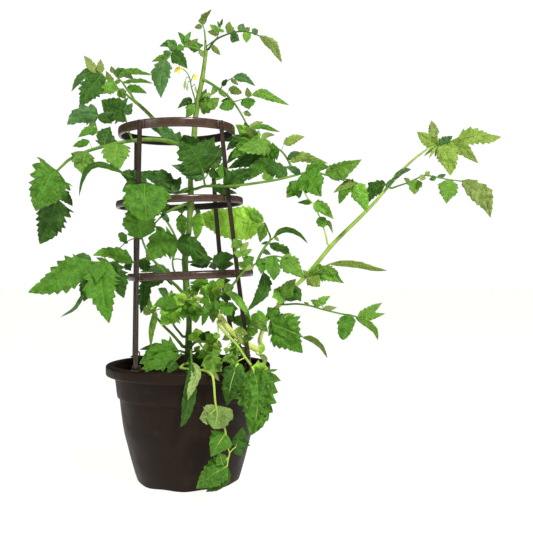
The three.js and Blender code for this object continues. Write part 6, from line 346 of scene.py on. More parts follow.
        [[72.4, -100, 358.7, 2.3], [77, -104, 355.3, 2.2], [88.2, -122, 367.2, 2.1], [100.7, -133, 382.9, 2], [112.6, -132, 394.9, 1.9], [121.1, -128, 399.1, 1.8], [129.6, -124, 404.3, 1.6], [143.4, -122, 412.9, 1.5], [158.9, -122, 416.3, 1.4], [176.3, -118, 413.8, 1.3]],
        [[112.6, -132, 394.9, 1.4], [107.6, -136, 409.4, 1.2], [102.5, -138, 423, 1.1], [100.9, -140, 433.2, 0.9]],
        [[143.4, -122, 412.9, 1.4], [141.7, -120, 399.1, 1.2], [140.8, -116, 385.2, 0.9]],
    ], "blades": [
        ("ov", "m", 11.1, 11.1, 12, [[141.7, -122.2, 412], [139.1, -131.4, 398.7], [136.6, -137.2, 385.5]], [0.11, -0.82, 0.57], [0.07, -0.93, 0.36], None),
        ("lob", "m", 13.7, 13.7, 12, [[155.5, -122, 415.5], [157.1, -136.7, 394.9], [158.7, -142.8, 374.6]], [-0.06, -0.79, 0.61], [-0.03, -0.97, 0.23], None),
        ("ov", "l", 15.7, 15.7, 12, [[172.8, -119, 413.8], [190.4, -109, 399], [211.7, -99, 378]], [0.31, -0.91, -0.27], [0.2, -0.95, -0.23], None),
        ("ov", "d", 5.2, 5.2, 12, [[179.7, -118, 412.9], [180.8, -110, 408.6], [181.9, -102, 404.3]], [0.16, -0.48, -0.86], [0.16, -0.49, -0.86], [176.3, -118, 413.8]),
        ("ov", "m", 9.4, 9.4, 12, [[108.4, -134.5, 404.3], [116.4, -128.9, 409.4], [124.4, -121.6, 414.6]], [0.42, -0.87, 0.25], [0.53, -0.79, 0.32], [109.1, -134.9, 405.1]),
        ("ov", "f", 6, 6, 12, [[105.9, -137, 416.2], [109, -140.8, 421.7], [112, -143.6, 427.2]], [-0.23, -0.85, -0.47], [-0.16, -0.92, -0.36], [104.8, -137.1, 416.5]),
        ("ov", "l", 9.3, 9.3, 12, [[100.9, -139.8, 431.5], [94.3, -144.8, 436.5], [86, -149.8, 430.5]], [0.35, -0.88, -0.33], [0.34, -0.91, 0.23], [101.4, -139.7, 431.7]),
        ("ov", "l", 6, 6, 12, [[104.2, -137.2, 417.9], [96.7, -141.4, 420.5], [89.2, -145.3, 423]], [0.44, -0.89, -0.14], [0.43, -0.89, -0.14], [105.4, -136.9, 418.4]),
        ("sm", "y", 5.1, 5.1, 12, [[102.6, -138.8, 426.4], [108.8, -134.8, 433.3], [115.2, -130.8, 440.3]], [0.29, -0.92, 0.27], [0.29, -0.92, 0.27], [101.8, -138.6, 426.4]),
        ("sm", "f", 3.9, 3.9, 12, [[107.6, -137.2, 419.6], [114.3, -132.2, 424], [121.1, -127.2, 428.3]], [0.46, -0.85, 0.27], [0.46, -0.85, 0.26], [104.3, -137.3, 417.9]),
        ("sm", "m", 4.3, 4.3, 12, [[100.9, -139.8, 432.4], [99.9, -135.8, 438.4], [98.9, -131.8, 444.5]], [-0.05, -0.84, 0.54], [-0.05, -0.84, 0.54], None),
        ("lan", "d", 12.9, 12.9, 12, [[140.8, -116.5, 387], [142.6, -123.2, 366.4], [134, -129.8, 344.3], [113.6, -136.5, 322.4]], [-0.53, -0.83, 0.2], [-0.25, -0.83, 0.5], None),
        ("nar", "g", 3.9, 3.9, 12, [[139.9, -117, 388.7], [144.3, -111, 371.7], [148.6, -105, 354.5]], [0.09, -0.95, -0.31], [0.09, -0.95, -0.31], [141, -116.8, 388]),
        ("sm", "p", 4.3, 4.3, 12, [[123.7, -127, 400], [116.5, -136, 395.8], [109.4, -138.8, 391.5]], [0.66, -0.65, 0.38], [0.21, -0.97, 0.12], [123.2, -127, 400.7]),
        ("ov", "f", 6.9, 6.9, 12, [[112.6, -132.5, 396.6], [104.7, -126.5, 401.3], [96.8, -120.5, 406]], [-0.46, -0.84, 0.3], [-0.46, -0.84, 0.3], None),
    ]},
    "leaf_branch_mid_a": {"axes": [
        [[215, -49.2, 377.9, 2], [216.5, -53.5, 378, 1.9], [224.2, -62, 382.6, 1.8], [234.5, -70, 388.1, 1.6], [248.6, -74, 397.1, 1.5], [259.1, -76, 402.4, 1.4]],
    ], "blades": [
        ("ov", "f", 16.9, 16.9, 20, [[220.8, -58.8, 380.8], [253.2, -59.8, 387.1], [285.1, -64.3, 368.3]], [0.1, -0.92, -0.38], [-0.35, -0.88, -0.31], [221.5, -58, 380.8]),
        ("ov", "y", 12.5, 12.5, 12, [[222.5, -59.9, 381.7], [231.9, -68.9, 372], [241.2, -77.9, 362.4]], [-0.41, -0.83, 0.38], [-0.41, -0.83, 0.38], None),
        ("nar", "y", 7.1, 7.1, 12, [[259.1, -76, 402.4], [283.5, -82, 403.9], [311.1, -88, 401.1], [335.1, -94, 394.6], [357.1, -100, 391.1]], [-0.16, -0.8, -0.58], [-0.3, -0.78, -0.54], None),
        ("sm", "d", 3.6, 3.6, 12, [[241.5, -72, 391.7], [240.5, -61.2, 393.4], [238.9, -57.1, 395.2]], [-0.7, -0.16, 0.69], [-0.58, -0.6, 0.55], None),
        ("ov", "p", 6.3, 6.3, 12, [[236.3, -70.5, 389.9], [252, -51.6, 394.2], [266.8, -46.7, 398.7]], [0.74, -0.62, 0.25], [0.18, -0.98, 0.09], [237.2, -71.1, 389.7]),
        ("ov", "y", 4.5, 4.5, 12, [[220.8, -58.8, 380.8], [216.5, -53.8, 386.1], [212.3, -46.3, 391.5]], [-0.38, -0.82, 0.42], [-0.5, -0.66, 0.57], [221.5, -58, 380.8]),
    ]},
    "leaf_branch_mid_b": {"axes": [
        [[172.4, -50, 330.9, 1.9], [174.6, -54, 329.2, 1.8], [181.1, -60, 329.5, 1.7], [201.6, -66, 330.7, 1.7], [221.9, -72, 328.3, 1.6], [246.5, -78, 321.5, 1.5], [279.7, -84, 313.9, 1.4], [293.7, -86, 312.3, 1.4], [311.1, -88, 307.1, 1.3]],
        [[176.7, -56, 329.3, 1.2], [177.4, -66, 337.9, 1], [178.1, -74, 343.6, 0.8]],
    ], "blades": [
        ("ov", "f", 14.2, 14.2, 5, [[181, -66, 337], [168.3, -76.1, 347.2], [155.7, -87.2, 343.3]], [0.37, -0.87, -0.32], [0.55, -0.77, 0.31], [177.4, -66, 337.9]),
        ("ov", "l", 13.3, 13.3, 5, [[178.2, -71, 341.7], [182.3, -82.8, 358.1], [197.9, -93.5, 376.1]], [-0.13, -0.81, -0.57], [-0.3, -0.92, -0.26], None),
        ("ov", "d", 13.4, 13.4, 5, [[180.9, -68, 338.8], [195.1, -73, 352.5], [207.4, -78, 335.7]], [-0.18, -0.98, -0.13], [-0.11, -0.98, 0.17], [177.5, -67.7, 339.2]),
        ("ov", "f", 8, 8, 12, [[244.7, -78, 328.6], [245.2, -71.1, 336.3], [260.8, -65.4, 345]], [-0.2, -0.74, 0.65], [0.21, -0.96, 0.19], [249.6, -78.6, 320.8]),
        ("ov", "l", 6.2, 6.2, 12, [[242.9, -78, 329.5], [233.7, -76.8, 333.9], [224.6, -72.1, 338.1]], [-0.06, -1, 0.05], [-0.4, -0.89, 0.21], [249.6, -78.6, 320.8]),
        ("ov", "p", 4.9, 4.9, 12, [[246.5, -78, 322.4], [259.4, -72, 323.4], [272.4, -66, 324.4]], [0.41, -0.9, 0.1], [0.41, -0.91, 0.1], [246.3, -77.9, 321.6]),
        ("rnd", "m", 16.2, 10.6, 12, [[294.6, -86, 312.3], [287.7, -93, 291.6], [279.1, -100, 269.4]], [-0.02, -0.94, 0.33], [-0.01, -0.95, 0.3], [294.4, -85.4, 310.8]),
        ("ov", "l", 8.9, 8.9, 12, [[307.7, -87.5, 307.9], [329.8, -80.5, 319], [352.1, -73.5, 333.7]], [0.2, -0.95, 0.22], [0.13, -0.96, 0.25], None),
        ("ov", "l", 7, 7, 12, [[311.1, -88, 307.1], [331.3, -96, 311.2], [353, -104, 316]], [-0.38, -0.93, 0.02], [-0.35, -0.94, 0.02], None),
        ("nar", "l", 7, 7, 12, [[304.2, -87.2, 307], [321, -93.9, 299.6], [336, -100.6, 286.9], [340.3, -107.2, 270.1]], [-0.47, -0.78, -0.41], [-0.7, -0.7, 0.13], [304, -87.2, 309.3]),
        ("sm", "o", 2.7, 2.7, 12, [[221.9, -72, 328.3], [217.3, -75, 331.6], [212.7, -78, 334.9]], [0.39, -0.88, -0.26], [0.39, -0.88, -0.26], None),
    ]},
    "leaf_branch_low": {"axes": [
        [[148.6, -50.1, 308.3, 2], [153.8, -54, 304.7, 1.9], [155.9, -66, 298.4, 1.8], [159.3, -78, 293.1, 1.6], [176.9, -90, 287.8, 1.5], [197.7, -98, 279.7, 1.4], [209.9, -100, 274.6, 1.3]],
        [[154.7, -57, 303.1, 1.5], [138, -70, 300.5, 1.4], [123.7, -76, 299.1, 1.2], [116.7, -78, 300.2, 1.1]],
        [[154.7, -57, 303.1, 1.4], [165, -50, 306.3, 1.2], [177.8, -46, 306.9, 0.9]],
    ], "blades": [
        ("lob", "m", 23.5, 34.3, 10, [[153.2, -64.5, 298.3], [178.9, -79.5, 274.5], [209.3, -94.5, 246]], [-0.37, -0.91, 0.18], [-0.32, -0.94, 0.14], [155.6, -64.8, 299]),
        ("nar", "o", 5.9, 5.9, 12, [[209.9, -100, 273.8], [225.4, -104.7, 271.6], [241.7, -109.3, 259], [251.8, -114, 239.5]], [-0.29, -0.83, -0.48], [-0.6, -0.79, -0.1], [209.9, -100, 274.6]),
        ("ov", "f", 15.2, 15.2, 12, [[145.1, -63.5, 304.5], [129, -67.8, 301.2], [114.8, -74, 288.3]], [0.23, -0.97, 0.1], [0.18, -0.95, 0.25], [146.2, -63.9, 301.7]),
        ("ov", "l", 8, 8, 12, [[130.8, -73, 299.8], [139.8, -79, 290.9], [148.7, -85, 282.1]], [-0.26, -0.9, 0.35], [-0.26, -0.9, 0.35], [131.7, -73.1, 299.7]),
        ("ov", "l", 9.9, 9.9, 12, [[125.5, -75.2, 299.4], [118.2, -66.9, 282.3], [103.7, -60.3, 266.5]], [-0.16, -0.91, -0.39], [-0.23, -0.96, -0.16], [125.3, -74.7, 300.3]),
        ("ov", "m", 10.8, 10.8, 12, [[116.7, -78, 300.2], [98.5, -66.3, 301.6], [80.1, -57, 303.1]], [-0.54, -0.83, 0.13], [-0.43, -0.9, 0.12], None),
        ("ov", "d", 9.1, 9.1, 12, [[165, -50, 306.3], [177, -41, 302], [189.1, -32, 297.7]], [0.57, -0.81, -0.12], [0.56, -0.82, -0.12], None),
        ("ov", "g", 6.4, 6.4, 12, [[177.8, -46, 306.9], [190.7, -42, 306.2], [203.6, -38, 305.5]], [0.3, -0.95, 0.05], [0.3, -0.95, 0.05], None),
        ("ov", "m", 10.8, 10.8, 12, [[161.4, -52.6, 305.6], [155, -59.9, 315.5], [148.7, -66.8, 325.3]], [0.31, -0.85, -0.42], [0.3, -0.86, -0.41], None),
        ("ov", "m", 5.4, 5.4, 12, [[163.2, -50.9, 306.3], [165.9, -55.3, 314.8], [168.6, -56.8, 323]], [-0.18, -0.88, -0.44], [-0.07, -0.99, -0.11], [163.5, -51, 305.8]),
    ]},
    "leaf_hanging_chain": {"axes": [
        [[263.9, -35.2, 434.5, 1.9], [257.5, -38, 439.8, 1.7], [254.5, -42, 453.4, 1.6], [249.6, -46, 468.7, 1.5], [241.2, -50, 490.3, 1.3], [230.1, -54, 511.8, 1.2], [219, -58, 523.2, 1.1], [209.8, -62, 540.9, 0.9]],
    ], "blades": [
        ("ov", "m", 15.2, 15.2, 12, [[210.8, -61.5, 538.2], [195.2, -69.5, 534.8], [181.6, -77.5, 520.8]], [0.46, -0.89, -0.04], [0.27, -0.93, 0.25], [210.7, -61.6, 539.1]),
        ("sm", "d", 4.5, 4.5, 12, [[215.4, -59.5, 530.3], [218.8, -54.5, 535.7], [222.2, -49.5, 541.1]], [0.34, -0.79, 0.52], [0.33, -0.79, 0.52], None),
        ("ov", "m", 4.5, 4.5, 12, [[228.2, -55, 514.4], [215.4, -48, 514.5], [202.5, -41, 514.5]], [-0.48, -0.87, -0.08], [-0.48, -0.88, -0.08], None),
        ("ov", "f", 10.8, 10.8, 12, [[231, -53.5, 510], [247.8, -59.5, 503.3], [266.2, -65.5, 483.1]], [-0.34, -0.94, 0.01], [-0.21, -0.97, 0.09], None),
        ("sm", "m", 9, 9, 12, [[242.1, -49.5, 487.6], [245.8, -55.5, 477.8], [249.4, -61.5, 468.1]], [-0.26, -0.86, 0.43], [-0.26, -0.86, 0.43], None),
        ("lan", "p", 4.1, 4.1, 12, [[248.7, -46.5, 471.4], [259.2, -39.5, 477.2], [268, -32.5, 458.3]], [0.34, -0.89, 0.29], [0.02, -0.95, -0.3], None),
    ]},
    "leaf_branch_upper": {"axes": [
        [[374.7, 0, 547.5, 1.8], [371, 4, 552, 1.6], [365.8, 10, 551.3, 1.4], [359.1, 16, 548.1, 1.3]],
    ], "blades": [
        ("lob", "d", 14.8, 14.8, 12, [[367.5, 8.5, 551.1], [350.3, 21.1, 542.8], [337.7, 34.3, 518.1]], [-0.58, -0.81, 0.02], [-0.47, -0.86, -0.21], [367.1, 7.9, 550.7]),
        ("ov", "b", 6.7, 6.7, 12, [[369.9, 5.5, 551.8], [359.5, 22.5, 554.8], [348.1, 33.1, 557.3]], [-0.86, -0.5, 0.04], [-0.65, -0.76, -0.01], None),
    ]},
    "leaf_branch_side": {"axes": [
        [[385.3, 3, 559.8, 1.6], [382, -1, 561.5, 1.4], [387.8, -6, 567.5, 1.2], [394.8, -9, 573.7, 1.1]],
    ], "blades": [
        ("nar", "b", 8.8, 8.8, 12, [[382.9, -1.6, 561.4], [398.3, 0.9, 574.8], [420.9, 22.9, 582]], [0.52, -0.67, -0.53], [0.6, -0.39, -0.7], [382.5, -1.3, 562]),
        ("nar", "b", 6.1, 6.1, 12, [[382.6, -1, 561.5], [375.2, -8, 551.4], [367.8, -15, 541.5]], [-0.36, -0.62, 0.7], [-0.36, -0.62, 0.7], None),
    ]},
    "leaf_tip_low": {"axes": [
        [[374.7, 0, 547.5, 1.9], [380.3, 0, 544.3, 1.8], [391.2, -8, 547.7, 1.7], [406.3, -18, 552.3, 1.6], [419.6, -26, 558, 1.5], [434.7, -34, 564.5, 1.4], [449.5, -42, 561.9, 1.3], [474.6, -52, 555.4, 1.2], [499.8, -60, 551, 1.1]],
    ], "blades": [
        ("ov", "l", 11.9, 11.9, 12, [[419.6, -26, 558], [418.1, -32, 543.6], [416.5, -38, 529.4]], [-0.15, -0.91, 0.39], [-0.15, -0.91, 0.4], None),
        ("sm", "p", 3.7, 3.7, 12, [[411.3, -21, 553.9], [406.8, -15, 558.2], [402.2, -9, 562.5]], [-0.66, -0.7, 0.29], [-0.65, -0.7, 0.28], None),
        ("sm", "p", 5.5, 5.5, 12, [[434.7, -34, 564.5], [429.6, -41, 559.2], [424.7, -48, 554]], [0.39, -0.72, 0.58], [0.39, -0.71, 0.58], None),
        ("sm", "p", 4.6, 4.6, 12, [[436.3, -35, 564.4], [442.1, -29, 568.7], [447.9, -23, 573.1]], [0.48, -0.77, 0.42], [0.48, -0.77, 0.42], None),
        ("sm", "b", 4.5, 4.5, 12, [[454.5, -44.5, 559.8], [446.9, -50.5, 557.3], [439.3, -56.5, 554.9]], [0.59, -0.8, 0.13], [0.59, -0.8, 0.13], [453.9, -43.9, 560.8]),
        ("sm", "b", 3.7, 3.7, 12, [[456.3, -44.5, 559.8], [466, -37.5, 563.2], [475.7, -30.5, 566.7]], [0.54, -0.83, 0.15], [0.54, -0.83, 0.15], [456.5, -43.8, 559.5]),
        ("ov", "l", 16.2, 16.2, 12, [[476.2, -53, 554.4], [472.4, -60, 532.5], [468.6, -67, 510.8]], [-0.16, -0.93, 0.33], [-0.16, -0.93, 0.33], [477.1, -52.9, 554.8]),
        ("ov", "p", 13.9, 19.4, 12, [[499.8, -60, 551], [524.9, -67.3, 528.7], [538.2, -74.7, 507.6], [543.3, -82, 484.9]], [-0.44, -0.86, -0.24], [-0.56, -0.81, 0.15], None),
        ("ov", "d", 6.3, 6.3, 12, [[499.8, -60, 551], [508.1, -52, 545.9], [516.5, -44, 540.7]], [0.36, -0.74, -0.57], [0.36, -0.74, -0.57], None),
    ]},
    "leaf_tip_high": {"axes": [
        [[464.9, 24, 625.9, 1.8], [470.1, 26, 628.7, 1.6], [479.5, 30, 632.5, 1.4], [497.1, 40, 636.8, 1.2], [518.7, 50, 643.2, 1.1]],
        [[472.2, 27, 629.6, 1.4], [470.2, 22, 636.1, 1.2], [464.6, 18, 643.1, 0.9]],
    ], "blades": [
        ("ov", "y", 13.3, 13.3, 12, [[473.3, 27.5, 630.2], [451.6, 23.8, 640.2], [430.3, 11.7, 651.6]], [0.01, -0.97, -0.24], [0.28, -0.85, -0.45], None),
        ("ov", "p", 9.5, 9.5, 12, [[464.6, 18, 643.1], [463, 24, 659.7], [461.4, 30, 676.5]], [-0.27, -0.91, 0.3], [-0.27, -0.91, 0.3], None),
        ("lob", "b", 8.5, 8.5, 12, [[475.3, 28, 630.3], [486.2, 19, 637.1], [497, 10, 643.7]], [-0.48, -0.82, -0.31], [-0.49, -0.81, -0.32], None),
        ("ov", "y", 16.1, 23.6, 12, [[477.4, 29, 630.4], [487.2, 13, 602.6], [492, 5, 568.7]], [-0.44, -0.83, 0.35], [-0.26, -0.95, 0.16], [477.1, 28.8, 631.7]),
        ("ov", "y", 13.9, 13.9, 12, [[499.3, 41.2, 637], [523.4, 37.2, 623], [551.1, 33.2, 595.6]], [-0.23, -0.96, -0.13], [-0.25, -0.96, -0.11], [499.6, 40.2, 638]),
        ("lob", "y", 14.6, 15.6, 12, [[516.5, 48.8, 642], [545.7, 57.4, 650.1], [577.3, 66.1, 647.5], [607.1, 74.8, 651.8]], [0.28, -0.96, 0], [0.29, -0.95, -0.07], [516.3, 48.8, 642.5]),
        ("bud", "p", 2.9, 2.9, 12, [[472.1, 26.4, 630.1], [463.4, 23.4, 616.8], [454.7, 20.4, 603.6]], [0.02, -0.98, 0.21], [0.02, -0.98, 0.21], None),
        ("bud", "b", 2.9, 2.9, 12, [[473.2, 27, 629.2], [470.9, 30, 618.2], [468.7, 33, 607.1]], [-0.22, -0.95, -0.21], [-0.22, -0.95, -0.21], None),
        ("bud", "p", 2.9, 2.9, 12, [[472.1, 26.4, 630.1], [460, 30.4, 619.7], [447.9, 34.4, 609.2]], [-0.2, -0.97, -0.14], [-0.2, -0.97, -0.14], None),
    ]},
    "leaf_low_left": {"axes": [
        [[-0.7, 0, 327.4, 2.7], [-6.4, -9, 325.9, 2.4], [-13.4, -26, 324.9, 2], [-22.6, -42, 322.1, 1.7], [-37.3, -56, 317.5, 1.4]],
        [[-34, -53, 318.6, 1.2], [-45.8, -60, 321.4, 1], [-54.2, -64, 318, 0.8]],
    ], "blades": [
        ("lob", "h", 24.7, 24.7, 14, [[-13.4, -26, 324.9], [-28.8, -35.7, 312.6], [-44.9, -45.8, 290.5]], [0.38, -0.89, 0.25], [0.24, -0.94, 0.24], [-14, -25.6, 324.2]),
        ("ov", "m", 13.7, 13.7, 12, [[-19.6, -36, 323.6], [-38.9, -43.3, 331.3], [-57.9, -50.3, 328.1]], [0.34, -0.94, -0.05], [0.32, -0.94, 0.1], [-18.4, -35.8, 323.5]),
        ("ov", "g", 12.1, 12.1, 12, [[-12, -21.8, 325.6], [-24.9, -13.8, 336.8], [-37.9, -5.8, 348.1]], [-0.24, -0.9, 0.37], [-0.24, -0.9, 0.37], None),
        ("nar", "l", 7.6, 7.6, 12, [[-54.2, -64, 318], [-54.4, -69.3, 304], [-58.5, -74.7, 281.2], [-59.5, -80, 255]], [-0.53, -0.79, 0.31], [-0.53, -0.83, 0.18], None),
        ("ov", "h", 8.3, 8.3, 12, [[-10.4, -19.6, 325.5], [-9.3, -29.9, 316.4], [-8.1, -41, 307.5]], [0.07, -0.66, 0.75], [0.06, -0.62, 0.78], None),
    ]},
    "leaf_low_center": {"axes": [
        [[-1, 0, 330.1, 2.2], [4, -9, 331.5, 1.9], [8.2, -20, 328.3, 1.7], [10.8, -28, 326.9, 1.4]],
    ], "blades": [
        ("lob", "f", 13.7, 13.7, 12, [[10.8, -28, 326.9], [14.1, -34.8, 310.7], [17.7, -44.4, 295]], [0.03, -0.93, 0.37], [-0.01, -0.85, 0.53], None),
        ("ov", "m", 11.9, 11.9, 12, [[9.5, -24, 327.6], [3.1, -39.8, 316.1], [-3.4, -51.9, 304.6]], [0.44, -0.63, 0.64], [0.38, -0.75, 0.54], None),
        ("ov", "g", 9.2, 9.2, 12, [[9.5, -24, 327.6], [19.4, -27, 319.9], [29.3, -30, 312.3]], [-0.12, -0.97, 0.22], [-0.12, -0.97, 0.22], None),
    ]},
    "leaf_low_bright": {"axes": [
        [[-3.6, 0, 356.6, 2.7], [6.2, -9, 357.5, 2.4], [15.9, -24, 358, 2.2], [30.4, -44, 356.8, 1.9], [48, -62, 359.2, 1.7], [61.4, -76, 361.5, 1.4]],
        [[38.3, -52, 357.8, 1.4], [41.1, -66, 346.8, 1.2], [45.5, -78, 333.1, 0.9]],
        [[15.9, -24, 358, 1.4], [14, -44, 347.7, 1.2], [9.9, -58, 339.3, 1.1], [-1.7, -68, 337.9, 0.9]],
    ], "blades": [
        ("lob", "f", 16.5, 16.5, 5, [[22.1, -31.5, 357.4], [28.1, -60.5, 368.6], [34, -89.5, 379.5]], [-0.11, -0.38, -0.92], [-0.11, -0.37, -0.92], None),
        ("lob", "h", 10.7, 10.7, 12, [[48, -62, 359.2], [37.1, -73, 354.2], [26.4, -84, 349.3]], [0.61, -0.74, 0.28], [0.62, -0.73, 0.29], None),
        ("ov", "g", 8, 8, 12, [[59.5, -74.2, 361.4], [65.2, -80.3, 368.7], [70.8, -86.3, 375.9]], [-0.31, -0.84, -0.45], [-0.31, -0.84, -0.45], None),
        ("ov", "h", 8, 8, 12, [[49.9, -63.8, 359.3], [50.7, -75.8, 367.3], [51.5, -87.8, 375.1]], [0.04, -0.55, -0.83], [0.04, -0.54, -0.84], None),
        ("ov", "m", 8, 8, 12, [[45.5, -78, 333.1], [40.3, -79.9, 323.4], [35.5, -86.6, 314.1]], [0.09, -0.99, 0.09], [0.3, -0.82, 0.49], None),
        ("ov", "m", 9.8, 9.8, 12, [[45.4, -76.5, 334.8], [53.8, -81.9, 328], [62, -86.9, 321.2]], [-0.29, -0.89, 0.35], [-0.26, -0.9, 0.34], None),
        ("ov", "m", 7.1, 7.1, 12, [[43.1, -69, 343.4], [50.9, -79, 343.8], [58.6, -89, 344.2]], [-0.79, -0.62, 0.03], [-0.79, -0.61, 0.03], [42.3, -69.7, 342.9]),
        ("ov", "m", 7.1, 7.1, 12, [[42.3, -70.5, 341.6], [34.7, -81.5, 337.7], [27.1, -92.5, 333.8]], [0.69, -0.62, 0.37], [0.7, -0.61, 0.37], [43.2, -69.7, 341.1]),
        ("ov", "h", 9.1, 9.1, 12, [[36.4, -50.8, 356.2], [42.1, -42.8, 347.2], [48, -34.8, 338.2]], [0.41, -0.79, -0.45], [0.41, -0.8, -0.44], [35.6, -49.7, 357.3]),
        ("ov", "g", 9, 9, 12, [[55.7, -70.8, 360.2], [56.6, -62.8, 349.3], [57.4, -54.8, 338.2]], [0.13, -0.81, -0.58], [0.13, -0.81, -0.57], None),
        ("ov", "h", 8.4, 8.4, 12, [[13.8, -20.2, 357.2], [9.6, -5.2, 347.2], [6.8, -4.7, 337.8]], [-0.2, -0.54, -0.82], [0.11, -0.99, 0.11], None),
        ("ov", "m", 7.3, 7.3, 12, [[24.3, -36.5, 357.3], [16.5, -40.8, 359.4], [7.3, -30.3, 361]], [0.61, -0.79, -0.1], [-0.77, -0.61, 0.21], None),
        ("ov", "l", 11.6, 11.6, 12, [[44.4, -75, 336.5], [50.3, -70.3, 318.4], [50.2, -67.8, 296.7]], [0.17, -0.96, -0.21], [0.06, -0.99, -0.11], [44.6, -75.6, 335.9]),
        ("lan", "m", 7.1, 7.1, 12, [[42.4, -72, 339], [37.4, -77.2, 313.5], [30.5, -68, 291.4]], [0.11, -0.96, 0.24], [-0.08, -0.9, -0.43], [43.2, -72.1, 340.1]),
        ("ov", "m", 8.1, 8.1, 12, [[49.9, -63.8, 359.3], [66.2, -65.8, 370.1], [82.4, -67.8, 373.8]], [-0.07, -0.99, -0.07], [-0.12, -0.99, -0.01], None),
        ("ov", "g", 8, 8, 12, [[1.6, -65.5, 337.8], [-7.8, -70.4, 343.4], [-16.8, -77.7, 349.1]], [0.38, -0.92, -0.11], [0.55, -0.81, -0.22], [1.4, -65.3, 338.3]),
        ("ov", "y", 7.2, 7.2, 12, [[6.5, -60.5, 339.4], [0.5, -64.1, 345.8], [-5.3, -68, 352.3]], [0.33, -0.92, -0.2], [0.36, -0.9, -0.23], [6.9, -61.3, 338.4]),
        ("ov", "h", 6.3, 6.3, 12, [[9.7, -56.2, 340.1], [15.9, -65.2, 333.8], [22.1, -74.2, 327.5]], [-0.39, -0.7, 0.6], [-0.4, -0.69, 0.61], [10.6, -56.8, 339.8]),
        ("lan", "g", 6.2, 6.2, 12, [[-1.7, -68, 337.9], [-6.4, -75.1, 333.8], [-11.2, -79.5, 329.6]], [0.61, -0.63, 0.48], [0.42, -0.85, 0.32], None),
    ]},
    "leaf_low_right": {"axes": [
        [[49.4, -51.4, 321.7, 2.6], [51.3, -58, 333, 2.3], [61.3, -74, 341.8, 2], [69.3, -90, 351.3, 1.7], [72.4, -100, 358.7, 1.4]],
        [[58.4, -70, 338.9, 1.5], [67.2, -84, 333.4, 1.2], [74.8, -94, 325.1, 0.9]],
    ], "blades": [
        ("lan", "f", 6.6, 6.6, 12, [[71.4, -97.5, 356.9], [90.3, -87.4, 345], [107.4, -96.3, 324.3], [121, -124.4, 304.4]], [0.25, -0.84, -0.47], [-0.64, -0.6, 0.48], None),
        ("ov", "y", 8.8, 8.8, 12, [[72, -92, 359.3], [80.2, -87, 360.5], [88.4, -82, 361.7]], [0.51, -0.85, 0.1], [0.51, -0.86, 0.1], [71.2, -95.4, 355.1]),
        ("ov", "d", 8, 8, 12, [[67.3, -86, 349.4], [74.7, -75, 343.6], [82.2, -64, 337.8]], [0.66, -0.65, -0.39], [0.65, -0.65, -0.39], None),
        ("ov", "m", 9.6, 9.6, 12, [[74.8, -94, 325.1], [79.9, -100.2, 318.9], [84.9, -103.7, 312.5]], [-0.33, -0.77, 0.54], [-0.16, -0.93, 0.33], None),
        ("ov", "f", 5.3, 5.3, 12, [[71, -89, 329.2], [68.7, -96, 334], [66.5, -103, 338.7]], [0.45, -0.6, -0.66], [0.45, -0.59, -0.67], None),
        ("ov", "m", 8.8, 8.8, 12, [[65.2, -80.5, 335], [61, -91.6, 328.9], [56.4, -95.7, 322.6]], [0.51, -0.52, 0.68], [0.24, -0.92, 0.3], None),
        ("ov", "m", 8.8, 8.8, 12, [[72.9, -91.5, 327.6], [84.1, -85.2, 325], [95.2, -76.3, 322.3]], [0.47, -0.88, -0.03], [0.62, -0.78, -0.07], None),
        ("ov", "d", 9.8, 9.8, 12, [[70, -87.8, 330.9], [81, -75.3, 316.9], [84.1, -64.7, 298.3]], [0.45, -0.81, -0.37], [0.11, -0.88, -0.46], [69.8, -87.5, 330.5]),
        ("ov", "m", 7.9, 7.9, 12, [[72.9, -91.5, 326.7], [69.6, -96.4, 320.8], [66.2, -98.6, 314.8]], [0.32, -0.79, 0.53], [0.14, -0.97, 0.22], [73.3, -92.1, 326.8]),
    ]},
    "leaf_base_left": {"axes": [
        [[0.1, 0, 248.4, 3.4], [-9.3, -8, 248.4, 3.1], [-14.9, -12, 255.4, 2.9], [-27.7, -22, 272.1, 2.6], [-43.3, -30, 288.8, 2.4], [-54.4, -36, 303.5, 2.1], [-64.8, -40, 316.6, 1.9], [-69.1, -42, 325.8, 1.6]],
    ], "blades": [
        ("lob", "m", 4.6, 4.6, 12, [[-66.5, -40.8, 320.3], [-68.6, -32.8, 329.9], [-70.7, -24.8, 339.6]], [0.05, -0.76, 0.65], [0.06, -0.77, 0.64], None),
        ("ov", "y", 8.2, 8.2, 12, [[-66.5, -41, 321.2], [-73.3, -35, 315.8], [-80.2, -29, 310.4]], [-0.41, -0.82, -0.4], [-0.41, -0.82, -0.4], None),
        ("lan", "g", 4.6, 4.6, 12, [[-63.1, -39.5, 314.7], [-59.5, -32.5, 322.5], [-55.8, -25.5, 330.4]], [0.37, -0.77, 0.52], [0.37, -0.77, 0.51], None),
    ]},
    "leaf_base_mid": {"axes": [
        [[0.3, 0, 267.6, 2.7], [-9.4, -7, 267, 2.5], [-15.7, -4, 273.3, 2.3], [-25.7, 2, 284, 2.1], [-32.1, 8, 294.8, 1.9], [-36.6, 14, 309.5, 1.7], [-39.2, 20, 328.1, 1.5]],
    ], "blades": [
        ("sm", "b", 6.7, 6.7, 12, [[-39.1, 19.2, 326.3], [-49.4, 26.1, 348.8], [-61.8, 33.1, 355.2]], [0.03, -0.96, 0.28], [-0.41, -0.88, 0.24], None),
        ("lan", "f", 5.7, 5.7, 12, [[-39.2, 20, 328.1], [-36.9, 25.2, 340.3], [-34.7, 30.2, 352.5]], [0.18, -0.91, 0.36], [0.18, -0.92, 0.34], None),
        ("sm", "m", 4.8, 4.8, 12, [[-37.8, 16.2, 317], [-32.2, 21.2, 321.4], [-26.6, 26.2, 325.9]], [0.47, -0.82, 0.33], [0.47, -0.82, 0.33], None),
    ]},
    "leaf_ring_low": {"axes": [
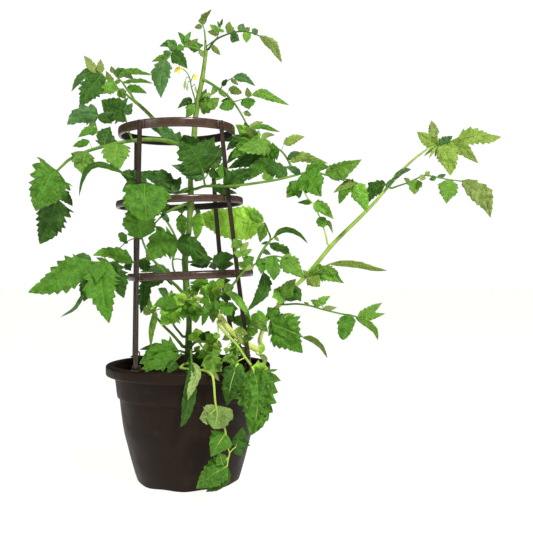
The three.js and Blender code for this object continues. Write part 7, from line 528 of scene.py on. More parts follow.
        [[-5.2, 0, 375.9, 2.2], [-12.8, 4, 374, 2.1], [-21.4, 14, 377.6, 1.9], [-38.2, 28, 379.3, 1.7], [-58.9, 40, 377.1, 1.6], [-87.6, 52, 373, 1.4]],
        [[-21.4, 14, 377.6, 2], [-30.8, 22, 392.7, 1.8], [-32.6, 26, 413.6, 1.6], [-24.9, 28, 429.9, 1.4]],
        [[-32.4, 25.8, 410.8, 1.3], [-22.2, 21, 411.7, 1.2], [-12.5, 12, 409.4, 1.1]],
    ], "blades": [
        ("ov", "b", 9.2, 9.2, 12, [[-34, 24.5, 379.3], [-65.8, 34.3, 393.5], [-98, 44.1, 386.7]], [-0.02, -0.88, 0.48], [-0.34, -0.91, 0.22], None),
        ("ov", "d", 10.2, 10.2, 12, [[-48.5, 34, 378.2], [-74.1, 38.5, 367.6], [-100.1, 45, 368.4]], [-0.26, -0.94, 0.22], [-0.2, -0.9, 0.4], None),
        ("lob", "d", 12.6, 12.6, 12, [[-87.6, 52, 372.1], [-91.1, 56, 341.9], [-98.9, 60, 305.7]], [0.13, -0.98, -0.15], [0.11, -0.98, -0.13], [-87.6, 52, 373]),
        ("ov", "d", 5.7, 5.7, 12, [[-42.4, 31, 379.2], [-38, 26, 370.3], [-33.6, 21, 361.3]], [-0.08, -0.89, 0.46], [-0.08, -0.89, 0.46], None),
    ]},
    "leaf_pot_left": {"axes": [
        [[0, 0, 236, 2.7], [-6, -8, 237.2, 2.3], [-12.2, -20, 241.4, 2], [-21.5, -36, 244, 1.6]],
        [[-10.7, -16, 240, 1.6], [-14.4, -34, 231.9, 1.4], [-21.5, -52, 225.8, 1.2]],
    ], "blades": [
        ("lob", "m", 25.1, 25.1, 14, [[-16.8, -28, 242.2], [-43.8, -47, 239.8], [-81.8, -66, 224]], [0.55, -0.76, 0.34], [0.25, -0.88, 0.39], None),
        ("ov", "d", 7.4, 7.4, 12, [[-27, -36, 244], [-57.2, -29, 249.7], [-88.6, -22, 244.3]], [-0.18, -0.97, 0.18], [-0.22, -0.97, 0.03], [-21.5, -36, 244]),
        ("lob", "m", 13.4, 13.4, 12, [[-21.5, -52, 225.8], [-51.5, -71, 221.9], [-79.8, -90, 212.9]], [0.36, -0.68, 0.64], [0.23, -0.69, 0.68], None),
        ("ov", "d", 9.9, 9.9, 12, [[-19.9, -49.8, 226.5], [-24.7, -62.8, 216.8], [-29.5, -75.8, 207.4]], [0.4, -0.64, 0.66], [0.4, -0.63, 0.67], [-20.8, -50.2, 226.4]),
    ]},
    "leaf_pot_right": {"axes": [
        [[0.1, 0, 248.4, 3.2], [4.4, -9, 248.5, 2.9], [11.9, -20, 256.2, 2.6], [20.1, -30, 259.5, 2.4], [37.5, -42, 260.2, 2.1], [52.8, -52, 258.4, 1.9]],
        [[22, -31, 259.1, 2], [30.7, -48, 249.9, 1.6], [40.9, -64, 239.9, 1.3]],
    ], "blades": [
        ("ov", "g", 15.7, 15.7, 12, [[20.1, -30, 259.5], [17.5, -21.1, 271.3], [15.1, -14.6, 283.5]], [-0.01, -0.79, 0.62], [0.02, -0.89, 0.45], None),
        ("ov", "d", 13.8, 13.8, 12, [[33.7, -39, 259.9], [36.6, -28.9, 269], [39.7, -20.5, 278.4]], [0.28, -0.68, 0.68], [0.24, -0.77, 0.58], None),
        ("ov", "h", 11.9, 11.9, 12, [[37.5, -42, 260.2], [47.1, -35.7, 266], [56.8, -29.1, 271.8]], [0.39, -0.87, 0.3], [0.4, -0.86, 0.3], [37.6, -41.8, 258.9]),
        ("ov", "l", 8.1, 8.1, 12, [[50.9, -50.8, 258.3], [58.5, -56.8, 255.8], [66, -62.8, 253.2]], [-0.51, -0.79, 0.33], [-0.52, -0.79, 0.33], None),
        ("ov", "g", 10.9, 10.9, 12, [[37.5, -42, 260.2], [42.1, -41.4, 251], [46.2, -35.4, 241.2]], [0.1, -0.99, 0.05], [0.32, -0.84, -0.43], [37.6, -41.8, 258.9]),
        ("lob", "l", 17.8, 17.8, 10, [[40.9, -64, 239.9], [52.7, -79, 223.4], [64.2, -94, 207.2]], [-0.22, -0.8, 0.56], [-0.23, -0.79, 0.57], None),
        ("ov", "m", 9, 9, 12, [[38.9, -60, 242.1], [29.5, -55, 237.1], [20, -50, 231.9]], [-0.41, -0.9, -0.14], [-0.4, -0.9, -0.13], None),
    ]},
    "leaf_pot_back": {"axes": [
        [[0, 0, 236, 2.2], [5.9, 5, 236.7, 1.9], [15.7, 22, 236.8, 1.7], [29.6, 40, 232.9, 1.4]],
    ], "blades": [
        ("ov", "f", 15.3, 15.3, 12, [[15.7, 22, 236.8], [19.6, 33, 225], [23.5, 44, 213.1]], [0.36, -0.74, -0.57], [0.36, -0.74, -0.57], None),
        ("ov", "h", 13.5, 13.5, 12, [[29.6, 40, 232.9], [44.5, 48, 233.9], [59.5, 56, 235]], [0.46, -0.88, 0.15], [0.46, -0.88, 0.15], None),
        ("ov", "g", 5.7, 5.7, 12, [[10.8, 13.5, 236.7], [15.2, 17.5, 241.5], [19.3, 25.2, 245.9]], [0.31, -0.88, 0.35], [0.54, -0.59, 0.6], None),
    ]},
    "leaf_over_rim": {"axes": [
        [[67.1, -64.4, 300.6, 2.9], [59.7, -78, 299.3, 2.8], [67.4, -88, 287.7, 2.6], [76.5, -94, 278.5, 2.5], [94.3, -100, 260.6, 2.3], [108.4, -104, 240.1, 2.1], [119, -106, 226.4, 2]],
        [[80.1, -95, 275.1, 1.2], [87.3, -100, 283.4, 1], [90.9, -102, 287.1, 0.8]],
        [[87.2, -98, 267.4, 1.2], [80.5, -104, 261.9, 1], [77.2, -108, 257.1, 0.8]],
        [[94.3, -100, 260.6, 1.2], [101.4, -102, 266.1, 1], [105, -104, 269.8, 0.8]],
        [[109.3, -104, 239.2, 1.3], [100, -112, 235.8, 1.1], [94.9, -116, 232.8, 0.9]],
        [[59.7, -78, 299.3, 1.2], [60.1, -84, 280.2, 1], [58.7, -90, 261.4, 0.8]],
        [[120.4, -107, 223.3, 2.7], [125.2, -112, 215, 2.4], [129.6, -118, 201.9, 2.1]],
        [[97, -117, 229.8, 1.9], [93.4, -122, 226.7, 1.6], [90.1, -126, 220.3, 1.3]],
    ], "blades": [
        ("ov", "y", 7.9, 7.9, 12, [[90.9, -102, 287.1], [102.3, -104, 283.7], [113.7, -106, 280.4]], [-0.13, -0.98, 0.13], [-0.13, -0.98, 0.13], None),
        ("ov", "p", 5.3, 5.3, 12, [[80.1, -95, 275.9], [73.6, -88, 271.8], [67, -81, 267.6]], [-0.6, -0.74, -0.3], [-0.6, -0.74, -0.3], [80.4, -95.4, 275.4]),
        ("ov", "y", 5.2, 5.2, 12, [[77.2, -108, 257.1], [76.5, -111, 251.8], [75.8, -114, 246.4]], [0.1, -0.87, 0.48], [0.1, -0.87, 0.48], None),
        ("ov", "l", 8, 8, 12, [[87.2, -98, 266.6], [95.4, -80.3, 254.6], [103.6, -57.4, 241.8]], [0.55, -0.64, -0.54], [0.59, -0.54, -0.6], [87.2, -98, 267.4]),
        ("ov", "m", 4.8, 4.8, 12, [[105, -104, 269.8], [114.6, -106, 272.1], [124.2, -108, 274.5]], [-0.21, -0.98, 0.04], [-0.21, -0.98, 0.04], None),
        ("ov", "y", 8.1, 8.1, 12, [[99.6, -101.5, 252], [108, -52, 241.2], [117.9, -47.8, 235.3]], [0.87, -0.22, -0.45], [-0.06, -0.99, 0.16], None),
        ("ov", "f", 9.7, 9.7, 12, [[94.3, -100, 258.9], [88.8, -92, 248.4], [83.1, -84, 237.7]], [-0.28, -0.83, -0.48], [-0.28, -0.83, -0.48], [95.9, -100.5, 258.6]),
        ("sm", "y", 3.5, 3.5, 12, [[58.7, -90, 261.4], [55.4, -93, 259.9], [52, -96, 258.5]], [0.55, -0.77, 0.33], [0.55, -0.77, 0.33], None),
        ("ov", "f", 6.2, 6.2, 12, [[60.1, -84.8, 278.5], [56.9, -89.2, 275.4], [53.5, -92, 272.1]], [0.5, -0.69, 0.52], [0.32, -0.88, 0.35], [59.2, -84.6, 278.5]),
        ("lob", "m", 35.9, 33.3, 6, [[122.5, -108.9, 219.8], [130.6, -132.3, 190.3], [129.9, -142.1, 151], [119.6, -138.2, 111.1]], [-0.21, -0.77, 0.6], [-0.16, -0.98, -0.08], None),
        ("lob", "g", 14, 14, 12, [[121.6, -108.2, 221.4], [138.1, -99.2, 215], [152.2, -90.2, 196.1]], [0.48, -0.88, 0.01], [0.26, -0.94, -0.24], None),
        ("ov", "d", 17, 17, 10, [[94.2, -120.8, 227.4], [85.6, -141.3, 198.5], [79.2, -148.3, 163.2]], [0.18, -0.8, 0.58], [0.04, -0.99, 0.14], [92.9, -120.3, 227.5]),
        ("ov", "m", 12, 12, 12, [[96.7, -117, 230.3], [95.4, -130.5, 205.9], [93.4, -122.6, 178.5]], [0.06, -0.83, 0.55], [0, -0.93, -0.35], [94.4, -117.2, 231.4]),
        ("lob", "l", 10.3, 10.3, 12, [[95.8, -117.6, 230.4], [81.4, -122.6, 240.5], [69.6, -127.6, 236]], [0.27, -0.96, -0.06], [0.27, -0.93, 0.24], [96.7, -117.5, 229.5]),
    ]},
    "leaf_trailing": {"axes": [
        [[0, 0, 214.8, 2.6], [-0.9, -6, 216.3, 2.5], [-4.1, -45, 219.4, 2.4], [-5, -80, 220.4, 2.3], [-4.6, -100, 220.3, 2.2], [13.7, -118, 220.1, 2.2], [41.5, -142, 220.7, 2.1], [54.3, -156, 215.9, 2], [58, -162, 201.6, 1.9], [59.3, -163, 183.4, 1.8], [61.5, -163, 164.9, 1.7], [68.1, -162, 144.7, 1.7], [75.5, -160, 129.2, 1.6], [78, -158, 113.6, 1.5], [80.9, -156, 94.7, 1.4], [83.7, -154, 84.1, 1.3], [81.1, -153, 72.1, 1.3], [79.3, -152, 60, 1.2]],
        [[83.7, -154, 84.1, 1.2], [89.5, -152, 90.4, 1.1], [94.5, -150, 93.3, 0.9]],
        [[81.9, -153.5, 76.4, 1.2], [76.1, -154, 71.5, 1.1], [72.8, -155, 64.2, 0.9]],
    ], "blades": [
        ("ov", "p", 15.9, 15.9, 5, [[63.1, -162.9, 162.4], [48.4, -167.3, 149], [34.8, -174.8, 146.3]], [-0.08, 0.98, -0.19], [-0.47, 0.85, -0.25], [61.9, -162.9, 163]),
        ("rnd", "o", 22.5, 15, 5, [[62.3, -163, 164.9], [63.6, -171.4, 148.1], [59, -176.9, 129.3]], [-0.03, 0.88, -0.47], [-0.07, 0.97, -0.24], None),
        ("ov", "m", 18.4, 18.4, 8, [[77.1, -158.5, 118], [66.5, -163.5, 103.1], [53.5, -168.5, 81.7]], [0.1, -0.96, 0.27], [0.04, -0.98, 0.19], None),
        ("ov", "d", 19.5, 7.6, 8, [[94.5, -150, 93.3], [98.6, -147, 107.9], [105.3, -144, 125.1]], [0.03, -0.98, 0.2], [0.01, -0.99, 0.16], None),
        ("ov", "d", 7.6, 7.6, 12, [[95.3, -150, 93.3], [100.4, -151, 86], [105.5, -152, 78.6]], [0.07, -0.98, 0.18], [0.07, -0.98, 0.18], [94.5, -150, 93.3]),
        ("ov", "m", 21.2, 21.2, 8, [[78.5, -152, 60.9], [54.4, -158, 48.1], [28.9, -164, 27.1]], [0.04, -0.92, 0.39], [-0.06, -0.94, 0.33], [79.5, -152.1, 61.3]),
        ("ov", "m", 10.1, 10.1, 12, [[72.8, -155, 64.2], [69.6, -159, 75.2], [66.5, -163, 86.3]], [0.22, -0.94, -0.28], [0.22, -0.94, -0.28], None),
        ("ov", "d", 11.9, 11.9, 12, [[79, -152, 60], [67.2, -147, 33.4], [43.2, -142, 15]], [-0.1, -0.99, -0.14], [-0.24, -0.97, 0.08], None),
        ("lan", "p", 5.1, 5.1, 12, [[43.3, -143.8, 220.6], [56.4, -149.1, 216.6], [65.1, -139, 203.3]], [-0.42, -0.87, 0.26], [0.43, -0.8, -0.43], None),
    ]},
    "leaf_narrow_front": {"axes": [
        [[0, 0, 232.7, 2], [1.2, -5, 234.1, 1.9], [5.9, -35, 239.3, 1.9], [10.1, -65, 245.4, 1.8], [12.3, -84, 249.2, 1.7], [15.4, -112, 242.7, 1.7], [18.1, -136, 238.7, 1.6], [20.3, -156, 234.4, 1.5]],
    ], "blades": [
        ("ov", "p", 8.9, 8.9, 12, [[20.2, -151, 235.4], [27.6, -158.3, 217.9], [20.4, -162.7, 195], [13.9, -164.3, 175.2]], [0.35, 0.91, -0.23], [0.27, 0.95, -0.15], [19.7, -150.1, 235.7]),
        ("lan", "d", 10.5, 10.5, 12, [[20.2, -153.5, 234.9], [18.8, -154.8, 198.8], [13.8, -154.7, 165.1], [7.7, -153.1, 141.3], [0.7, -150.1, 127.2]], [-0.17, -0.98, 0.04], [-0.31, -0.95, -0.05], None),
    ]},
    "leaf_rim_right": {"axes": [
        [[128.5, -73, 250.2, 1.8], [128.2, -76, 243, 1.6], [133.6, -84, 241.3, 1.4], [138.1, -88, 243.5, 1.3]],
    ], "blades": [
        ("nar", "p", 4.7, 4.7, 12, [[133.6, -83, 242], [143.4, -89, 234.8], [139, -95, 221.4]], [-0.47, -0.88, -0.01], [-0.22, -0.86, 0.46], [133.1, -83.3, 241.3]),
        ("nar", "g", 4.1, 4.1, 12, [[132.7, -82, 242.8], [139.8, -79, 253.1], [138, -76, 261.7]], [0.47, -0.87, -0.12], [0.41, -0.8, 0.43], [132.5, -82.6, 241.3]),
    ]},
}
FLOWERS = {
    "flower_left": ((-15.8, -39, 758.6), (-0.3, -0.82, 0.48), 9.4),
    "flower_right": ((15.4, -29.4, 746.2), (-0.25, -0.88, 0.4), 6.8),
}

# half width of a blade along its midrib, as a fraction of its widest half width
OUTLINE = {
    "rnd": [(0, .22), (.06, .6), (.17, .9), (.34, 1.03), (.55, 1.02), (.72, .88), (.86, .6), (.95, .3), (1, .04)],
    "ov": [(0, .2), (.06, .62), (.17, .94), (.32, 1.05), (.5, .97), (.68, .7), (.84, .38), (.95, .13), (1, .03)],
    "lob": [(0, .2), (.06, .66), (.17, .97), (.33, 1.06), (.52, .97), (.7, .7), (.85, .4), (.95, .15), (1, .03)],
    "lan": [(0, .18), (.09, .56), (.24, .93), (.4, 1.03), (.58, .9), (.75, .62), (.9, .3), (1, .03)],
    "nar": [(0, .2), (.12, .7), (.3, 1), (.5, 1), (.7, .78), (.88, .42), (1, .04)],
    "sm": [(0, .2), (.1, .7), (.28, 1.02), (.48, 1.04), (.68, .84), (.86, .5), (1, .04)],
    "bud": [(0, .3), (.2, .7), (.5, 1), (.8, .6), (1, .1)],
}
WIDER = 1.10      # the tables hold the width between notches and tooth tips
# number of teeth on a side per 100 mm, fewest, most, depth near the base, depth near the tip
TEETH = {
    "rnd": (10, 5, 12, .15, .10), "ov": (12, 4, 7, .22, .11), "lob": (9, 5, 8, .37, .15), "lan": (9, 4, 7, .18, .09),
    "nar": (6, 3, 6, .12, .06), "sm": (14, 3, 4, .20, .10), "bud": (1, 2, 2, .0, .0),
}


# ---------------------------------------------------------------- small tools
def srgb(r, g, b):
    return tuple(((c / 255) / 12.92 if c / 255 <= 0.04045 else ((c / 255 + 0.055) / 1.055) ** 2.4) for c in (r, g, b)) + (1.0,)


def curve(rows, s):
    rows = np.asarray(rows, float)
    s = np.asarray(s, float)
    m = len(rows)
    ext = np.vstack([2 * rows[0] - rows[1], rows, 2 * rows[-1] - rows[-2]])
    x = np.clip(s, 0, 1) * (m - 1)
    i = np.minimum(np.floor(x).astype(int), m - 2)
    f = (x - i)[..., None]
    a, b, c, d = ext[i], ext[i + 1], ext[i + 2], ext[i + 3]
    q = .5 * (2 * b + (c - a) * f + (2 * a - 5 * b + 4 * c - d) * f * f + (3 * b - a - 3 * c + d) * f ** 3)
    # straight on beyond the ends
    over = (s - np.clip(s, 0, 1))[..., None]
    t0, t1 = (ext[2] - ext[0]) / 2 * (m - 1), (ext[-1] - ext[-3]) / 2 * (m - 1)
    return q + np.where(over < 0, over * t0, over * t1)


def unit(v):
    return v / np.maximum(np.linalg.norm(v, axis=-1, keepdims=True), 1e-9)


class Noise:
    """Smooth seeded noise of points in millimetres: a sum of plane waves in many directions."""

    def __init__(self, seed, scale, waves=18):
        g = np.random.default_rng(seed)
        d = g.normal(size=(waves, 3))
        d /= np.linalg.norm(d, axis=1, keepdims=True)
        self.k = d * (2 * math.pi / scale) * g.uniform(.6, 1.6, (waves, 1))
        self.f = g.uniform(0, 2 * math.pi, waves)
        self.n = waves

    def __call__(self, p):
        return np.sin(np.asarray(p) @ self.k.T + self.f).sum(-1) / math.sqrt(self.n / 2)


class Build:
    """Collects closed shells and writes them as one mesh."""

    def __init__(self):
        self.v, self.q, self.t, self.qm, self.tm, self.qs, self.ts = [], [], [], [], [], [], []
        self.attr = {}
        self.n = 0

    def add(self, verts, quads, tris, mat, smooth=True, attrs=None):
        verts = np.asarray(verts, float).reshape(-1, 3)
        self.v.append(verts)
        for faces, store, ms, ss in ((quads, self.q, self.qm, self.qs), (tris, self.t, self.tm, self.ts)):
            if faces is None or len(faces) == 0:
                continue
            faces = np.asarray(faces, int)
            store.append(faces + self.n)
            ms.append(np.broadcast_to(mat[0] if isinstance(mat, tuple) and faces.shape[1] == 4 else (mat[1] if isinstance(mat, tuple) else mat), len(faces)).astype(int))
            ss.append(np.broadcast_to(smooth if not isinstance(smooth, tuple) else (smooth[0] if faces.shape[1] == 4 else smooth[1]), len(faces)).astype(bool))
        for k in ("vein", "tint"):
            a = (attrs or {}).get(k)
            a = np.zeros((len(verts), 3)) if a is None else np.broadcast_to(np.asarray(a, float), (len(verts), 3))
            self.attr.setdefault(k, []).append(a)
        self.n += len(verts)

    def mesh(self, name, mats):
        me = bpy.data.meshes.new(name)
        v = np.vstack(self.v) * MM
        q = np.vstack(self.q) if self.q else np.zeros((0, 4), int)
        t = np.vstack(self.t) if self.t else np.zeros((0, 3), int)
        me.vertices.add(len(v))
        me.vertices.foreach_set("co", v.astype(np.float32).ravel())
        me.loops.add(q.size + t.size)
        me.loops.foreach_set("vertex_index", np.concatenate([q.ravel(), t.ravel()]).astype(np.int32))
        me.polygons.add(len(q) + len(t))
        starts = np.concatenate([np.arange(len(q)) * 4, q.size + np.arange(len(t)) * 3])
        me.polygons.foreach_set("loop_start", starts.astype(np.int32))
        m = np.concatenate(self.qm + self.tm).astype(np.int32)
        me.polygons.foreach_set("material_index", m)
        me.polygons.foreach_set("use_smooth", np.concatenate(self.qs + self.ts))
        me.update(calc_edges=True)
        for k, parts in self.attr.items():
            a = me.attributes.new(k, "FLOAT_VECTOR", "POINT")
            a.data.foreach_set("vector", np.vstack(parts).astype(np.float32).ravel())
        for mat in mats:
            me.materials.append(mat)
        if me.validate(verbose=False):
            print("mesh repaired:", name)
        return me


def piece(name, build, mats, slot, *nodes):
    ob = bpy.data.objects.new(name, build.mesh(name, mats))
    bpy.context.scene.collection.objects.link(ob)
    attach(ob, "root")
    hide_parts(*nodes)
    return ob


def grid_faces(rows, cols, wrap=False):
    i, j = np.meshgrid(np.arange(rows - 1), np.arange(cols if wrap else cols - 1), indexing="ij")
    a = i * cols + j
    b = i * cols + (j + 1) % cols
    return np.stack([a, b, b + cols, a + cols], -1).reshape(-1, 4)


def sweep_frames(c, first=None):
    t = unit(np.gradient(c, axis=0))
    s = np.zeros_like(c)
    n = np.array(first if first is not None else ([0, 1, 0] if abs(t[0][1]) < .9 else [1, 0, 0]), float)
    for i in range(len(c)):
        n = n - t[i] * (n @ t[i])
        n /= np.linalg.norm(n)
        s[i] = n
    return t, s, np.cross(t, s)


def tube(build, rows, mat, sides=10, per=6, section=None, cap=True, attrs=None, first=None, resample=True, tint=(0, 0, 0)):
    """A closed round bar along rows [x, y, z, radius]."""
    rows = np.asarray(rows, float)
    n = (len(rows) - 1) * per + 1
    d = curve(rows, np.linspace(0, 1, n)) if resample else rows
    n = len(d)
    c, r = d[:, :3], np.maximum(d[:, 3], .12)
    t, s, b = sweep_frames(c, first)
    ang = np.arange(sides) * 2 * math.pi / sides
    rad = np.ones((n, sides)) if section is None else section(np.linspace(0, 1, n)[:, None], ang[None, :])
    p = c[:, None] + r[:, None, None] * rad[..., None] * (np.cos(ang)[None, :, None] * s[:, None] + np.sin(ang)[None, :, None] * b[:, None])
    length = np.concatenate([[0], np.cumsum(np.linalg.norm(np.diff(c, axis=0), axis=1))])
    v = p.reshape(-1, 3)
    vein = np.stack([np.repeat(length, sides), np.tile(ang, n), np.repeat(r, sides)], -1)
    # rounded caps
    caps = np.array([c[0] - t[0] * r[0] * .45, c[-1] + t[-1] * r[-1] * .6])
    v = np.vstack([v, caps])
    vein = np.vstack([vein, [[0, 0, r[0]], [length[-1], 0, r[-1]]]])
    q = grid_faces(n, sides, True)
    k = np.arange(sides)
    tr = np.vstack([np.stack([(k + 1) % sides, k, np.full(sides, n * sides)], -1),
                    np.stack([(n - 1) * sides + k, (n - 1) * sides + (k + 1) % sides, np.full(sides, n * sides + 1)], -1)])
    build.add(v, q, tr, mat, True, {"vein": vein, "tint": tint})


# ---------------------------------------------------------------- materials
def nodes_of(name):
    mat = bpy.data.materials.new(name)
    mat.use_nodes = True
    nt = mat.node_tree
    nt.nodes.clear()
    out = nt.nodes.new("ShaderNodeOutputMaterial")
    bsdf = nt.nodes.new("ShaderNodeBsdfPrincipled")
    nt.links.new(bsdf.outputs[0], out.inputs[0])
    return mat, nt, bsdf


def attribute(nt, name):
    n = nt.nodes.new("ShaderNodeAttribute")
    n.attribute_name = name
    return n.outputs["Vector"]


def split(nt, vec):
    n = nt.nodes.new("ShaderNodeSeparateXYZ")
    nt.links.new(vec, n.inputs[0])
    return n.outputs


def math_node(nt, op, a, b=None, clamp=False):
    n = nt.nodes.new("ShaderNodeMath")
    n.operation = op
    n.use_clamp = clamp
    for i, x in enumerate((a, b)):
        if x is None:
            continue
        if isinstance(x, (int, float)):
            n.inputs[i].default_value = x
        else:
            nt.links.new(x, n.inputs[i])
    return n.outputs[0]


def ramp(nt, value, lo, hi, a=0.0, b=1.0, smooth=True):
    n = nt.nodes.new("ShaderNodeMapRange")
    n.interpolation_type = "SMOOTHSTEP" if smooth else "LINEAR"
    n.inputs[1].default_value, n.inputs[2].default_value = lo, hi
    n.inputs[3].default_value, n.inputs[4].default_value = a, b
    nt.links.new(value, n.inputs[0])
    return n.outputs[0]


def mix(nt, fac, a, b, mode="MIX"):
    n = nt.nodes.new("ShaderNodeMix")
    n.data_type = "RGBA"
    n.blend_type = mode
    for i, x in ((0, fac), (6, a), (7, b)):
        if isinstance(x, (int, float)):
            n.inputs[i].default_value = x
        elif isinstance(x, tuple):
            n.inputs[i].default_value = x
        else:
            nt.links.new(x, n.inputs[i])
    return n.outputs[2]


def coords(nt, scale=(1, 1, 1)):
    c = nt.nodes.new("ShaderNodeTexCoord")
    if scale == (1, 1, 1):
        return c.outputs["Object"]
    m = nt.nodes.new("ShaderNodeMapping")
    m.inputs["Scale"].default_value = scale
    nt.links.new(c.outputs["Object"], m.inputs[0])
    return m.outputs[0]


def noise(nt, vec, scale, detail=4, rough=.55, out="Fac"):
    n = nt.nodes.new("ShaderNodeTexNoise")
    n.inputs["Scale"].default_value = scale
    n.inputs["Detail"].default_value = detail
    n.inputs["Roughness"].default_value = rough
    nt.links.new(vec, n.inputs["Vector"])
    return n.outputs[out]


def voronoi(nt, vec, scale, feature="F1"):
    n = nt.nodes.new("ShaderNodeTexVoronoi")
    n.feature = feature
    n.inputs["Scale"].default_value = scale
    nt.links.new(vec, n.inputs["Vector"])
    return n.outputs["Distance"]


def bump(nt, height, strength, distance, normal=None):
    n = nt.nodes.new("ShaderNodeBump")
    n.inputs["Strength"].default_value = strength
    n.inputs["Distance"].default_value = distance
    nt.links.new(height, n.inputs["Height"])
    if normal is not None:
        nt.links.new(normal, n.inputs["Normal"])
    return n.outputs[0]


# the tones were matched to each leaflet's look: the darker ones are partly the leaflets' own colour and partly painted
# shade on leaflets that lie in shade
TONES = {   # blade colour, vein colour, roughness
    "d": ((44, 84, 13), (84, 134, 38), .50),
    "m": ((66, 114, 21), (112, 168, 48), .50),
    "l": ((88, 130, 38), (140, 188, 72), .52),
    "f": ((98, 150, 42), (154, 208, 78), .52),
    "y": ((116, 142, 54), (158, 184, 82), .55),
    "b": ((62, 102, 46), (106, 150, 80), .46),
    "o": ((90, 113, 40), (136, 164, 72), .55),
    "p": ((121, 141, 68), (164, 188, 106), .62),
    "u": ((130, 148, 93), (184, 206, 136), .55),
    # g: a bright lime that stands in for light through backlit leaflets and lifts leaflets that lie in shade, painted
    # light
    "g": ((146, 196, 60), (178, 224, 96), .52),
    "h": ((118, 174, 48), (160, 214, 84), .52),
}
LEAF_MATS = {}


def leaf_material(tone, under=False):
    key = tone + ("_under" if under else "")
    if key in LEAF_MATS:
        return LEAF_MATS[key]
    (base, vein, rough) = TONES[tone]
    if under:
        base = tuple(int(c * .62 + o * .38) for c, o in zip(base, (150, 182, 118)))
        vein = tuple(int(c * .6 + o * .4) for c, o in zip(vein, (190, 212, 150)))
        rough = .68
    mat, nt, b = nodes_of("leaf_" + key)
    mid, side, edge = split(nt, attribute(nt, "vein"))
    tone_v, along, young = split(nt, attribute(nt, "tint"))
    xyz = coords(nt)
    broad = noise(nt, xyz, 30, 3, .5)
    spot = noise(nt, xyz, 230, 2, .5)
    fine = noise(nt, xyz, 420, 4, .6)
    net = voronoi(nt, xyz, 330, "DISTANCE_TO_EDGE")
    patch = noise(nt, xyz, 92, 3, .55)
    # the young, pale leaves are the more even ones
    low, high = (.64, 1.40) if tone in "ygpou" else (.50, 1.56)
    dark = tuple(c * low for c in srgb(*base)[:3]) + (1.0,)
    light = tuple(min(1, c * high + .004) for c in srgb(*base)[:3]) + (1.0,)
    col = mix(nt, ramp(nt, broad, .42, .58), dark, light)
    col = mix(nt, .5, col, mix(nt, ramp(nt, patch, .44, .58), dark, light))
    col = mix(nt, .38, col, mix(nt, ramp(nt, spot, .44, .58), tuple(c * .7 for c in dark[:3]) + (1.0,), light))
    col = mix(nt, ramp(nt, fine, .3, .75, 0, .22), col, srgb(*base))
    # darker and lighter leaflets
    col = mix(nt, ramp(nt, tone_v, 0, 1, 0, 1, False), col, mix(nt, .5, col, srgb(*tuple(min(255, int(c * 1.22 + 8)) for c in base))))
    # blade darkened along the sunk side veins as painted shade in their grooves, with the fine net and the pale veins
    # on top
    hollow_shade = ramp(nt, side, .0, 1.6, .22, 0)
    col = mix(nt, hollow_shade, col, tuple(c * .55 for c in srgb(*base)[:3]) + (1.0,))
    col = mix(nt, ramp(nt, net, .0, .10, .15, 0), col, srgb(*vein))
    line = math_node(nt, "MULTIPLY", ramp(nt, side, .10, .40, 1, 0), ramp(nt, patch, .35, .65, .12, .62 if not under else .9))
    col = mix(nt, line, col, srgb(*vein))
    col = mix(nt, ramp(nt, mid, .34, .72, .92, 0), col, srgb(*vein))
    # a thin yellower margin
    col = mix(nt, ramp(nt, edge, .0, .9, .35, 0), col, srgb(*tuple(int(c * .6 + o * .4) for c, o in zip(base, (150, 170, 60)))))
    nt.links.new(col, b.inputs["Base Color"])
    r = ramp(nt, fine, .3, .7, rough - .06, rough + .12)
    nt.links.new(r, b.inputs["Roughness"])
    b.inputs["Specular IOR Level"].default_value = .24 if not under else .18
    b.inputs["Subsurface Weight"].default_value = .2
    b.inputs["Subsurface Radius"].default_value = (.7, 1.0, .3)
    b.inputs["Subsurface Scale"].default_value = .0012
    sign = -1.0 if not under else 1.0
    h = math_node(nt, "MULTIPLY", ramp(nt, side, .0, .9, 1, 0), .55 * sign)
    h2 = math_node(nt, "MULTIPLY", ramp(nt, mid, .2, 1.0, 1, 0), .9 * (.6 if not under else 1.4))
    h3 = math_node(nt, "MULTIPLY", ramp(nt, net, .0, .16, 1, 0), .22 * sign)
    h4 = math_node(nt, "ADD", math_node(nt, "MULTIPLY", fine, .18), math_node(nt, "MULTIPLY", spot, 1.5))
    hh = math_node(nt, "ADD", math_node(nt, "ADD", h, h2), math_node(nt, "ADD", h3, h4))
    nt.links.new(bump(nt, hh, .75, .0009), b.inputs["Normal"])
    LEAF_MATS[key] = mat
    return mat


